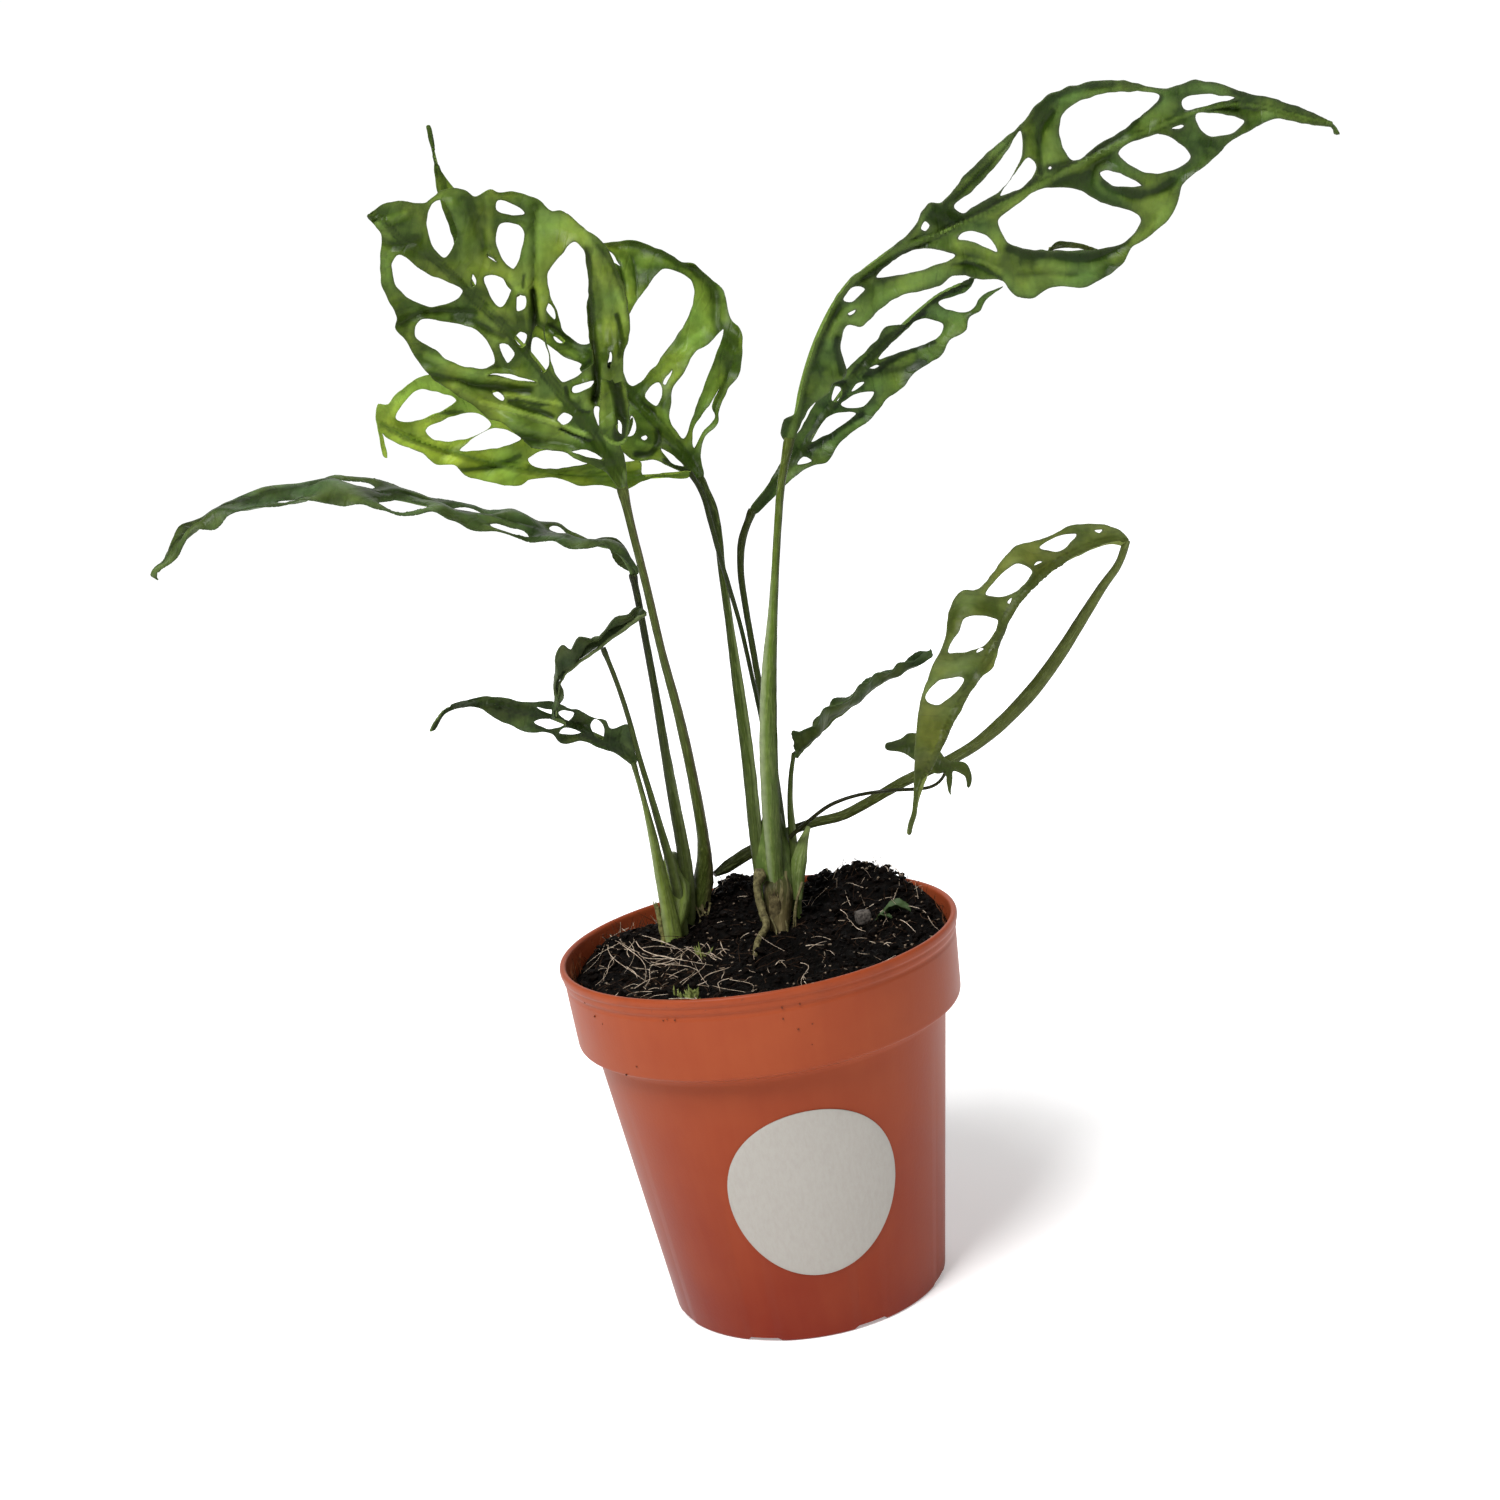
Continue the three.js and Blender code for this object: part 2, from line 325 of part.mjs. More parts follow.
// Stems from the soil up: [x, z, back, width, depth] of each section.
const STEMS = [
  { name: "stem_upper_left", colour: GREEN.stem, route: [
    [-16, 119.5, 33, 5, 4.5], [-15.4, 124, 32, 6.4, 5], [-13.6, 130, 31, 6.6, 4.6], [-12.2, 136, 29, 5, 4],
    [-11.5, 143, 27, 3.8, 3.6], [-11.7, 160, 22, 3.3, 3.2], [-12.8, 180, 16, 3, 2.9],
    [-14.8, 200, 11, 2.5, 2.5], [-16.2, 220, 6, 2.4, 2.4], [-17.6, 236, 2.5, 2.4, 2.4],
    [-18.5, 248.4, 0, 2.8, 2.2]] },
  { name: "stem_long_left", colour: GREEN.stem, route: [
    [-19.9, 113.5, 29, 3.4, 3], [-18.6, 126, 28, 4, 3], [-18, 136, 26, 4.2, 3], [-18.2, 150, 24, 3.8, 2.8],
    [-18.5, 170, 21, 3, 2.6], [-18.6, 190, 17.5, 2.4, 2.2], [-19, 208, 14.5, 2.2, 2.1],
    [-19.2, 216, 13, 2.2, 2.1], [-19.5, 222.7, 12.05, 2.1, 2]] },
  { name: "stem_folded_left", colour: GREEN.stem, route: [
    [-21.8, 110.5, 24.4, 3, 2.4], [-21.6, 126, 23, 3.2, 2.4], [-22.2, 136, 21.5, 3, 2.3],
    [-23.6, 148, 18.5, 2.4, 2], [-25, 160, 15.5, 1.9, 1.8], [-26.3, 170, 12.5, 1.7, 1.6],
    [-27.5, 182, 9.5, 1.6, 1.6], [-29.2, 193, 7.5, 1.5, 1.5], [-31.3, 202.75, 6.95, 1.5, 1.5]] },
  { name: "stem_left_small", colour: GREEN.pale, route: [
    [-25.2, 110, 20.6, 5.4, 5], [-25, 116, 20, 5.6, 4.6], [-25.3, 126, 19, 4.6, 3.6],
    [-25.8, 136, 17.5, 3.6, 2.8], [-26.2, 146, 16, 2.7, 2.2], [-27, 157, 14.2, 1.7, 1.6],
    [-28.2, 168, 12.5, 1.5, 1.4]] },
  { name: "stem_arched_right", colour: GREEN.olive, route: [
    [-9.95, 131.5, 31.3, 1.8, 2.4], [-6, 133.2, 33, 4, 2.6], [0, 136, 36.5, 4.2, 2.6],
    [8, 139, 38, 3.8, 2.4], [15, 141.3, 33, 3, 2.2], [22, 142.6, 28, 3, 2.2], [30, 143.3, 24, 3.2, 2.2],
    [37, 145.6, 21, 3.2, 2.4], [43, 148, 18, 3.2, 2.4], [50, 150.8, 15, 3.4, 2.6],
    [57, 152.9, 12.5, 3.4, 2.6], [64, 155, 10, 3.4, 2.6], [72, 158.3, 8, 3.6, 2.8],
    [80, 163.2, 6, 4.2, 3], [90, 171, 4, 4.4, 3], [100, 181.2, 2, 4, 2.8], [109, 192, 0, 3.4, 2.4],
    [115, 199.2, -1.2, 2.8, 2.2], [120.5, 205.2, -2.3, 2.3, 2], [123.15, 210.45, -3, 2, 1.8]] },
  { name: "stem_curled_right", colour: GREEN.stem, route: [
    [14, 139.3, 21.15, 1.4, 1.4], [20, 143.2, 17.6, 1.2, 1.2], [27, 147, 15.5, 1.2, 1.2],
    [35, 148.7, 14.5, 1.1, 1.1], [45, 148.7, 12.5, 1.1, 1.1], [52, 148, 9.5, 1.1, 1.1],
    [57, 147.8, 7, 1, 1], [60, 148.9, 5.6, 1, 1], [61.9, 150.9, 5, 1, 1]] },
  { name: "stem_upper_middle", colour: GREEN.stem, route: [
    [3, 111.5, 22.3, 3.4, 3], [3.4, 128, 23, 3.6, 3], [4.2, 145, 24, 4.2, 3], [5.2, 165, 25, 4, 2.8],
    [5.6, 185, 26, 3.6, 2.6], [5.9, 205, 26.7, 2.5, 2.4], [6.2, 222, 27.2, 2.4, 2.4],
    [6.7, 232, 27.4, 2.5, 2.4], [6.3, 239.5, 27.5, 2.6, 2.4], [4.2, 247.3, 27.5, 2.2, 2]] },
  { name: "stem_lower_left", colour: GREEN.stem, route: [
    [11.2, 115, 32.5, 2, 1.8], [11.4, 140, 32.5, 1.8, 1.6], [11.3, 160, 32.5, 1.6, 1.4],
    [10.8, 177, 31.5, 1.4, 1.4], [10, 190, 29.5, 1.4, 1.4], [9.1, 203, 26.5, 1.4, 1.4],
    [7.6, 215, 23.8, 1.4, 1.4], [6, 226, 22, 1.4, 1.4], [4.9, 236, 21.5, 1.5, 1.5],
    [3.9, 243.5, 21.5, 1.5, 1.5], [1.75, 249.2, 21.5, 1.3, 1.3]] },
  { name: "stem_top_right", colour: GREEN.pale, route: [
    [8, 113, 20, 5.2, 4.6], [8, 126, 20, 5, 4.4], [8.8, 138, 20, 5.2, 4.4], [9.8, 150, 20, 5.6, 4.6],
    [11.4, 165, 20, 5.6, 4.6], [13.6, 180, 20, 5.2, 4.4], [16, 193, 20, 4.4, 4], [18.8, 206, 20, 3, 3],
    [21.3, 218, 20, 2.4, 2.4], [24, 231, 20, 2.4, 2.4], [26.8, 243, 20, 2.4, 2.4],
    [30.7, 254.4, 20, 2.8, 2.2]] },
  { name: "stem_middle_right", colour: GREEN.stem, route: [
    [10.4, 112, 26.7, 2.6, 2.2], [12, 140, 27, 2.6, 2.2], [12.4, 160, 27.2, 2.3, 2],
    [12, 178, 27.6, 2, 1.9], [11.6, 195, 28, 2, 1.9], [11.3, 210, 28.3, 2, 1.9],
    [11.5, 220, 28.6, 2.1, 1.9], [13.2, 228.6, 28.9, 2.5, 2], [17, 235.9, 29, 2.2, 1.9]] },
  { name: "stem_right_small", colour: GREEN.stem, route: [
    [12.6, 112, 22.3, 2.2, 2.2], [14.2, 130, 22.8, 2.8, 2.2], [14.9, 142, 23, 2.4, 2],
    [15.6, 150, 23.3, 1.8, 1.6], [17, 157.8, 23.7, 1.5, 1.3], [18.55, 163.2, 24, 1.3, 1.3]] },
];

// Other things that stand in the soil or lie on it, as stems of their own widths.
const ROOTS = [
  { name: "aerial_root", colour: EARTH.root, route: [
    [3.4, 125.6, 19.8, 1.6, 1.6], [3.6, 120, 18.2, 2, 2], [2.6, 115, 16.6, 2, 2],
    [0.2, 109.5, 14.6, 1.8, 1.8], [-1.3, 106.4, 12.2, 1.8, 1.8], [-1.9, 104.4, 9, 1.6, 1.6]] },
  { name: "dry_sheath_right", colour: EARTH.husk, route: [
    [6.6, 110, 16, 3.6, 1.2], [6.2, 117, 16.2, 4, 1.2], [6.6, 124, 16.4, 3, 1]] },
  { name: "dry_sheath_left", colour: EARTH.straw, route: [
    [-28.9, 108.5, 17.6, 1.6, 2.6], [-29.1, 118, 17.2, 1.6, 2.6], [-29.3, 126, 16.6, 1, 1.8]] },
  { name: "seedling", colour: EARTH.sprout, route: [
    [-17.6, 101.6, 6, 1.2, 1.2], [-17.4, 104.6, 5.6, 2.2, 1], [-17.6, 107.6, 5, 0.9, 0.8]] },
];

const PEBBLE = { x: 32, z: 112.5, back: 12, radius: 2.6, flatness: 0.8, seat: 0.55 };

const colourOf = (hex, roughness) => new THREE.MeshStandardMaterial({ color: hex, roughness, metalness: 0 });

// Strips a geometry to shared positions, so that neighbours meet along whole edges.
function welded(geometry) {
  geometry.deleteAttribute("normal");
  geometry.deleteAttribute("uv");
  return mergeVertices(geometry, 1e-4);
}

function toSolid(geometry) {
  const vertProperties = Float32Array.from(geometry.attributes.position.array);
  const triVerts = Uint32Array.from(geometry.index.array);
  return new wasm.Manifold(new wasm.Mesh({ numProp: 3, vertProperties, triVerts }));
}

function toGeometry(solid) {
  const mesh = solid.getMesh();
  const geometry = new THREE.BufferGeometry();
  geometry.setAttribute("position", new THREE.BufferAttribute(mesh.vertProperties, 3));
  geometry.setIndex(new THREE.BufferAttribute(mesh.triVerts, 1));
  return geometry;
}

function finished(name, geometry, hex, roughness) {
  geometry.computeVertexNormals();
  const mesh = new THREE.Mesh(geometry, colourOf(hex, roughness));
  mesh.name = name;
  return mesh;
}

// Moves every vertex of a geometry to the place that `place` gives for it.
function moved(geometry, place) {
  const position = geometry.attributes.position;
  const point = new THREE.Vector3();
  for (let i = 0; i < position.count; i += 1) {
    point.fromBufferAttribute(position, i);
    const target = place(point);
    position.setXYZ(i, target.x, target.y, target.z);
  }
  return geometry;
}

// Turns a closed profile of [radius, height] pairs about Z.
function turned(profile, sides) {
  const points = profile.map(([radius, height]) => new THREE.Vector2(radius, height));
  const lathe = new THREE.LatheGeometry(points, sides);
  lathe.rotateX(Math.PI / 2);
  return welded(lathe);
}

function wallRadius(height, inner) {
  const rise = (POT.bodyTopRadius - POT.bodyFootRadius) / POT.bodyTopHeight;
  return POT.bodyFootRadius + rise * height - (inner ? POT.wall : 0);
}

function makePot() {
  const collarFoot = POT.height - POT.collarHeight;
  const lipFoot = POT.height - POT.lipHeight;
  const wall = POT.wall;
  const edge = POT.edge;
  const footInside = POT.bodyFootRadius - POT.footRingWidth;
  const profile = [
    [0, 0], [POT.centreRadius, 0], [POT.centreRadius + edge, POT.footHeight], [footInside, POT.footHeight],
    [footInside + edge, 0], [POT.bodyFootRadius - edge, 0], [POT.bodyFootRadius, edge],
    [POT.bodyTopRadius, POT.bodyTopHeight], [POT.collarFootRadius - edge, collarFoot - edge],
    [POT.collarFootRadius, collarFoot], [POT.rimRadius - POT.lipStep, lipFoot],
    [POT.rimRadius, lipFoot + edge], [POT.rimRadius, POT.height - edge],
    [POT.rimRadius - edge, POT.height], [POT.rimRadius - wall, POT.height],
    [POT.rimRadius - wall - edge, POT.height - edge], [POT.collarFootRadius - wall, collarFoot + edge],
    [wallRadius(POT.bodyTopHeight, true), POT.bodyTopHeight + edge],
    [wallRadius(POT.floorTop, true), POT.floorTop], [0, POT.floorTop], ];
  let solid = toSolid(turned(profile, POT.sides));
  for (let i = 0; i < POT.drainHoles; i += 1) {
    const angle = (i / POT.drainHoles) * 2 * Math.PI;
    const drill = new THREE.CylinderGeometry(POT.drainRadius, POT.drainRadius, 4 * POT.floorTop, 12);
    drill.rotateX(Math.PI / 2);
    drill.translate(POT.drainCircle * Math.cos(angle), POT.drainCircle * Math.sin(angle), POT.floorTop / 2);
    solid = solid.subtract(toSolid(welded(drill)));
  }
  for (let i = 0; i < POT.footNotches; i += 1) {
    const notch = new THREE.BoxGeometry(3 * POT.footRingWidth, POT.notchWidth, 2 * POT.notchDepth);
    notch.translate(POT.bodyFootRadius, 0, 0);
    notch.rotateZ(((i + 0.5) / POT.footNotches) * 2 * Math.PI);
    solid = solid.subtract(toSolid(welded(notch)));
  }
  return finished("pot", toGeometry(solid), EARTH.clay, 0.45);
}

// The sticker lies on the tapered wall, so its disc is wrapped round the pot's axis.
function makeLabel() {
  const disc = new THREE.Shape().absarc(0, 0, LABEL.radius, 0, 2 * Math.PI);
  const slab = { depth: LABEL.thickness, bevelEnabled: false, curveSegments: LABEL.arcs };
  const fine = welded(new TessellateModifier(LONGEST_EDGE, 6).modify(new THREE.ExtrudeGeometry(disc, slab)));
  const start = LABEL.across / wallRadius(LABEL.height, false);
  moved(fine, (point) => {
    const height = LABEL.height + point.y;
    const radius = wallRadius(height, false) + GAP + point.z;
    const angle = start + point.x / wallRadius(LABEL.height, false);
    return new THREE.Vector3(radius * Math.sin(angle), -radius * Math.cos(angle), height);
  });
  return finished("label", fine, EARTH.paper, 0.7);
}

function soilHeight(x, y) {
  let height = SOIL.level;
  for (const heap of SOIL.heaps) {
    const distance = Math.hypot(x - heap.x, y - heap.y) / heap.spread;
    height += heap.rise * Math.exp(-distance * distance / 2);
  }
  return height;
}

function makeSoil(pockets) {
  const collarFoot = POT.height - POT.collarHeight;
  const inside = (radius) => radius - POT.wall - SOIL.clearance;
  const fill = (SOIL.level - collarFoot) / POT.collarHeight;
  const surfaceRadius = THREE.MathUtils.lerp(POT.collarFootRadius, POT.rimRadius - POT.edge, fill);
  const profile = [
    [0, POT.floorTop + GAP], [inside(wallRadius(POT.floorTop, false)), POT.floorTop + GAP],
    [inside(POT.bodyTopRadius), POT.bodyTopHeight + SOIL.shoulder],
    [inside(POT.collarFootRadius), collarFoot + SOIL.shoulder], [inside(surfaceRadius), SOIL.level],
    ...SOIL.rings.map((ring) => [ring, SOIL.level]), [0, SOIL.level],
  ];
  const body = turned(profile, SOIL.sides);
  moved(body, (point) => {
    const onTop = point.z > SOIL.level - 0.01;
    return new THREE.Vector3(point.x, point.y, onTop ? soilHeight(point.x, point.y) : point.z);
  });
  let solid = toSolid(body);
  for (const pocket of pockets) {
    solid = solid.subtract(pocket);
  }
  return finished("soil", toGeometry(solid), EARTH.peat, 0.95);
}

// A tapered stem along its route. `extra` grows it all round, for the pocket it stands in.
function stemGeometry(route, extra) {
  const centres = route.map(([x, z, back]) => seen(x, z, back));
  const curve = new THREE.CatmullRomCurve3(centres, false, "centripetal");
  const steps = Math.max(3, Math.round(curve.getLength() / STEM_STEP));
  const tube = welded(new THREE.CylinderGeometry(1, 1, 1, STEM_SIDES, steps));
  const last = route.length - 1;
  return moved(tube, (point) => {
    const along = point.y + 0.5;
    const centre = curve.getPoint(along);
    const heading = curve.getTangent(along);
    const wide = new THREE.Vector3(0, 1, 0).cross(heading).normalize();
    const deep = new THREE.Vector3().crossVectors(heading, wide);
    const station = Math.min(Math.floor(along * last), last - 1);
    const share = along * last - station;
    const width = THREE.MathUtils.lerp(route[station][3], route[station + 1][3], share) / 2 + extra;
    const depth = THREE.MathUtils.lerp(route[station][4], route[station + 1][4], share) / 2 + extra;
    const overrun = extra * Math.trunc(2 * along - 1);
    return centre.addScaledVector(wide, point.x * width).addScaledVector(deep, -point.z * depth)
      .addScaledVector(heading, overrun);
  });
}

// Smooths a hand-drawn loop, with `detail` steps from each of its points to the next.
function smoothLoop(points, detail) {
  const corners = points.map(([x, z]) => new THREE.Vector3(x, z, 0));
  const curve = new THREE.CatmullRomCurve3(corners, true, "centripetal");
  const count = detail * points.length;
  return curve.getPoints(count).slice(0, count).map((point) => new THREE.Vector2(point.x, point.y));
}

// Bends a flat slab, 1 thick, along `surface`, which gives a point in space for each of its points.
function bent(slab, surface) {
  const nudge = 0.05;
  return moved(slab, (point) => {
    const centre = surface(point.x, point.y);
    const along = surface(point.x + nudge, point.y).sub(surface(point.x - nudge, point.y));
    const across = surface(point.x, point.y + nudge).sub(surface(point.x, point.y - nudge));
    const normal = along.cross(across).normalize();
    return centre.addScaledVector(normal, (point.z - 0.5) * BLADE_THICKNESS);
  });
}

function facingBlade(leaf) {
  const [baseX, baseZ, baseBack] = leaf.base;
  const [tipX, tipZ, tipBack] = leaf.tip;
  const length = Math.hypot(tipX - baseX, tipZ - baseZ);
  const alongX = (tipX - baseX) / length;
  const alongZ = (tipZ - baseZ) / length;
  const surface = (x, z) => {
    const along = (x - baseX) * alongX + (z - baseZ) * alongZ;
    const across = (x - baseX) * alongZ - (z - baseZ) * alongX;
    const share = along / length;
    const fold = Math.hypot(across, FOLD_ROUNDING) - FOLD_ROUNDING;
    const ripple = leaf.wave * Math.sin(along / RIPPLE_LENGTH) * Math.min(1, Math.abs(across) / RIPPLE_REACH);
    const back = baseBack + (tipBack - baseBack) * share + leaf.sag * 4 * share * (1 - share)
      + leaf.roll * across + leaf.cup * fold + ripple;
    return seen(x, z, back);
  };
  const outline = smoothLoop(leaf.outline, OUTLINE_DETAIL);
  const shape = new THREE.Shape(THREE.ShapeUtils.isClockWise(outline) ? outline.reverse() : outline);
  shape.holes = leaf.holes.map((hole) => new THREE.Path(smoothLoop(hole, HOLE_DETAIL)));
  const flat = new THREE.ExtrudeGeometry(shape, { depth: 1, bevelEnabled: false });
  const slab = welded(new TessellateModifier(LONGEST_EDGE, 8).modify(flat));
  return finished(leaf.name, bent(slab, surface), leaf.colour, 0.5);
}

function edgeOnBlade(leaf) {
  const railOf = (points) => new THREE.CatmullRomCurve3(points.map(([x, z, back]) => seen(x, z, back)));
  const near = railOf(leaf.near);
  const middle = railOf(leaf.middle);
  const far = railOf(leaf.far);
  const length = middle.getLength();
  const surface = (u, v) => {
    const along = THREE.MathUtils.clamp(u / length, 0, 1);
    const side = v < 0 ? near : far;
    return middle.getPoint(along).lerp(side.getPoint(along), Math.abs(v) / leaf.halfWidth);
  };
  const breadth = 2 * leaf.halfWidth;
  const slab = new THREE.BoxGeometry(length, breadth, 1, Math.round(length / LONGEST_EDGE) * 2, 4, 1);
  slab.translate(length / 2, 0, 0.5);
  let solid = toSolid(welded(slab));
  for (const [along, across, halfLength, halfBreadth] of leaf.holes) {
    const cutter = new THREE.CylinderGeometry(1, 1, 3, 8);
    cutter.rotateX(Math.PI / 2);
    cutter.scale(halfLength * length, halfBreadth * leaf.halfWidth, 1);
    cutter.translate(along * length, across * leaf.halfWidth, 0.5);
    solid = solid.subtract(toSolid(welded(cutter)));
  }
  return finished(leaf.name, bent(toGeometry(solid), surface), leaf.colour, 0.5);
}

function makePebble() {
  const stone = welded(new THREE.IcosahedronGeometry(PEBBLE.radius, 1));
  const centre = seen(PEBBLE.x, PEBBLE.z, PEBBLE.back);
  centre.z = soilHeight(centre.x, centre.y) + PEBBLE.radius * PEBBLE.seat;
  stone.scale(1, 0.9, PEBBLE.flatness);
  stone.translate(centre.x, centre.y, centre.z);
  return stone;
}

function makePlant() {
  const group = new THREE.Group();
  const pockets = [];
  for (const stem of [...STEMS, ...ROOTS]) {
    const rough = stem.colour === GREEN.stem ? 0.45 : 0.6;
    group.add(finished(stem.name, stemGeometry(stem.route, 0), stem.colour, rough));
    pockets.push(toSolid(stemGeometry(stem.route, GAP)));
  }
  for (const leaf of FACING_BLADES) {
    group.add(facingBlade(leaf));
  }
  for (const leaf of EDGE_ON_BLADES) {
    group.add(edgeOnBlade(leaf));
  }
  const stone = makePebble();
  const swollen = stone.clone();
  const centre = new THREE.Vector3();
  swollen.computeBoundingBox();
  swollen.boundingBox.getCenter(centre);
  const growth = 1 + GAP / (PEBBLE.flatness * PEBBLE.radius);
  moved(swollen, (point) => point.clone().sub(centre).multiplyScalar(growth).add(centre));
  pockets.push(toSolid(swollen));
  group.add(finished("pebble", stone, EARTH.stone, 0.8));
  group.add(makeSoil(pockets));
  return group;
}

const plant = new THREE.Group();
plant.add(makePot());
plant.add(makeLabel());
plant.add(makePlant());

export default plant;
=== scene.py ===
"""Looks of a potted lace-leaved aroid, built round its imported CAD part.

Sizes are in millimetres, in the part's frame, until a piece is finished. Then its mesh is scaled to
metres, and its object sits at the origin. Leaves and stems are laid out as points (x, z, back): such a
point lines up with (x, 0, z) when looked at from EYE, and lies `back` behind the pot's axis.
"""

import json
import logging
import math
import random
from collections.abc import Callable
from dataclasses import dataclass, field
from enum import Enum
from functools import partial

import bmesh
import bpy
from mathutils import Matrix, Vector, noise
from mathutils.kdtree import KDTree

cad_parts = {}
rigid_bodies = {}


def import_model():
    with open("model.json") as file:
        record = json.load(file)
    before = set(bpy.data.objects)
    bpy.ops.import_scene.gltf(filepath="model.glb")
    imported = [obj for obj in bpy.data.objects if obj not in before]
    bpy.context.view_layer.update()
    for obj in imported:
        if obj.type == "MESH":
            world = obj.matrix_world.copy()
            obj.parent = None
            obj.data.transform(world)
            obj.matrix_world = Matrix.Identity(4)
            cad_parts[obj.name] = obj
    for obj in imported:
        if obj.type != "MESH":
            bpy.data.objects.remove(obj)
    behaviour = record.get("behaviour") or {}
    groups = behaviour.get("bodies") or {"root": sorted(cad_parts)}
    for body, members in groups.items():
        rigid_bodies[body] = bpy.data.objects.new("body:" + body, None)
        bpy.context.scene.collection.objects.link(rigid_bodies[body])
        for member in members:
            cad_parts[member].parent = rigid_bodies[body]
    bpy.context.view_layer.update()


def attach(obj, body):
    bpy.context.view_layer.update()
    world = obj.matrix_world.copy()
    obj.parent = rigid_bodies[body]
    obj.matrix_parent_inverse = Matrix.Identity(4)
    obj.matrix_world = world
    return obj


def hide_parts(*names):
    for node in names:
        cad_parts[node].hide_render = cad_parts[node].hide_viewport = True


log = logging.getLogger("potted_aroid")

MM = 0.001
EYE = Vector((6.2, -629.1, 295.2))
FULL_TURN = 2 * math.pi
NOISE_SEED = 5

BMesh = bmesh.types.BMesh
Piece = bpy.types.Object
Material = bpy.types.Material
Socket = bpy.types.NodeSocket
Colour = tuple[float, float, float, float]
Point = tuple[float, float]
Loop = list[Point]
Station = tuple[float, ...]
Fold = tuple[Loop, float, float, float]


def linear(code: str) -> Colour:
    """Turns an sRGB hex colour into the linear colour that a shader socket takes.

    Args:
        code: the colour as #RRGGBB.

    Returns:
        Red, green, blue and an alpha of 1.
    """
    channels = [int(code[i:i + 2], 16) / 255 for i in (1, 3, 5)]
    red, green, blue = [c / 12.92 if c <= 0.04045 else ((c + 0.055) / 1.055) ** 2.4 for c in channels]
    return red, green, blue, 1.0


class Node(Enum):
    """A kind of shader node: its type, its settings, the inputs that are given in order, and its output."""

    PLACE = ("TexCoord", {}, (), "Object")
    DIRECTION = ("TexCoord", {}, (), "Generated")
    ATTRIBUTE = ("Attribute", {}, (), "Fac")
    NOISE = ("TexNoise", {}, ("Vector", "Scale", "Detail", "Roughness"), "Fac")
    RANGE = ("MapRange", {}, ("Value", "From Min", "From Max", "To Min", "To Max"), "Result")
    ADD = ("Math", {"operation": "ADD"}, (0, 1), "Value")
    SUBTRACT = ("Math", {"operation": "SUBTRACT"}, (0, 1), "Value")
    MULTIPLY = ("Math", {"operation": "MULTIPLY"}, (0, 1), "Value")
    MAXIMUM = ("Math", {"operation": "MAXIMUM"}, (0, 1), "Value")
    SINE = ("Math", {"operation": "SINE"}, (0,), "Value")
    LENGTH = ("VectorMath", {"operation": "LENGTH"}, (0,), "Value")
    STRETCH = ("Mapping", {}, ("Vector", "Scale"), "Vector")
    COMBINE = ("CombineXYZ", {}, ("X", "Y", "Z"), "Vector")
    Y_OF = ("SeparateXYZ", {}, ("Vector",), "Y")
    Z_OF = ("SeparateXYZ", {}, ("Vector",), "Z")
    RAMP = ("ValToRGB", {}, ("Fac",), "Color")
    BLEND = ("Mix", {"data_type": "RGBA"}, (0, 6, 7), 2)
    TINT = ("Mix", {"data_type": "RGBA", "blend_type": "MULTIPLY"}, (0, 6, 7), 2)
    BUMP = ("Bump", {}, ("Height", "Strength", "Distance"), "Normal")
    SHADER = ("BsdfPrincipled", {}, ("Base Color", "Roughness", "Normal", "Specular IOR Level", "IOR",
                                     "Subsurface Weight", "Subsurface Radius", "Subsurface Scale",
                                     "Emission Strength"), "BSDF")
    SURFACE = ("OutputMaterial", {}, ("Surface",), None)
    GLOW = ("Background", {}, ("Color", "Strength"), "Background")
    WORLD = ("OutputWorld", {}, ("Surface",), None)


def add_node(tree: bpy.types.NodeTree, kind: Node, *values: Socket | Colour | float,
             **settings: str | bool) -> Socket | None:
    """Adds a node with its settings, constants and links.

    Args:
        tree: the node tree that gets the node.
        kind: what kind of node it is.
        values: constants or sockets to link, in the order of the kind's inputs.
        settings: further property values by name.

    Returns:
        The socket that the kind is read from, or None for an output node.
    """
    style, presets, names, output = kind.value
    node = tree.nodes.new("ShaderNode" + style)
    for name, value in {**presets, **settings}.items():
        setattr(node, name, value)
    for name, value in zip(names, values):
        if isinstance(value, Socket):
            tree.links.new(value, node.inputs[name])
        else:
            node.inputs[name].default_value = value
    return None if output is None else node.outputs[output]


def new_material(name: str) -> tuple[Material, Callable[..., Socket]]:
    """Makes an empty node material.

    Args:
        name: what the surface is made of.

    Returns:
        The material, and add_node for its node tree.
    """
    material = bpy.data.materials.new(name)
    material.use_nodes = True
    material.node_tree.nodes.clear()
    return material, partial(add_node, material.node_tree)


def per_metre(size_mm: float) -> float:
    """Turns the real size of a pattern's blobs into the scale of a noise on coordinates in metres."""
    return 1000 / size_mm


def close_surface(add: Callable[..., Socket], colour: Socket | Colour, rough: Socket | float, height: Socket,
                  depth_mm: float, specular: float = 0.5, ior: float = 1.5, flesh: float = 0.0,
                  glow: Socket | float = 0.0) -> None:
    """Ends a material in its shader and output.

    Args:
        add: add_node for the material's node tree.
        colour: base colour.
        rough: roughness.
        height: pattern from 0 to 1 that stands in the surface.
        depth_mm: how deep that pattern is.
        specular: strength of the mirror-like part.
        ior: index of refraction.
        flesh: how much light goes through the green flesh beneath the skin.
        glow: strength of the surface's own light.
    """
    normal = add(Node.BUMP, height, 1, depth_mm * MM)
    shader = add(Node.SHADER, colour, rough, normal, specular, ior, flesh, (0.4, 1, 0.2), MM, glow)
    add(Node.SURFACE, shader)


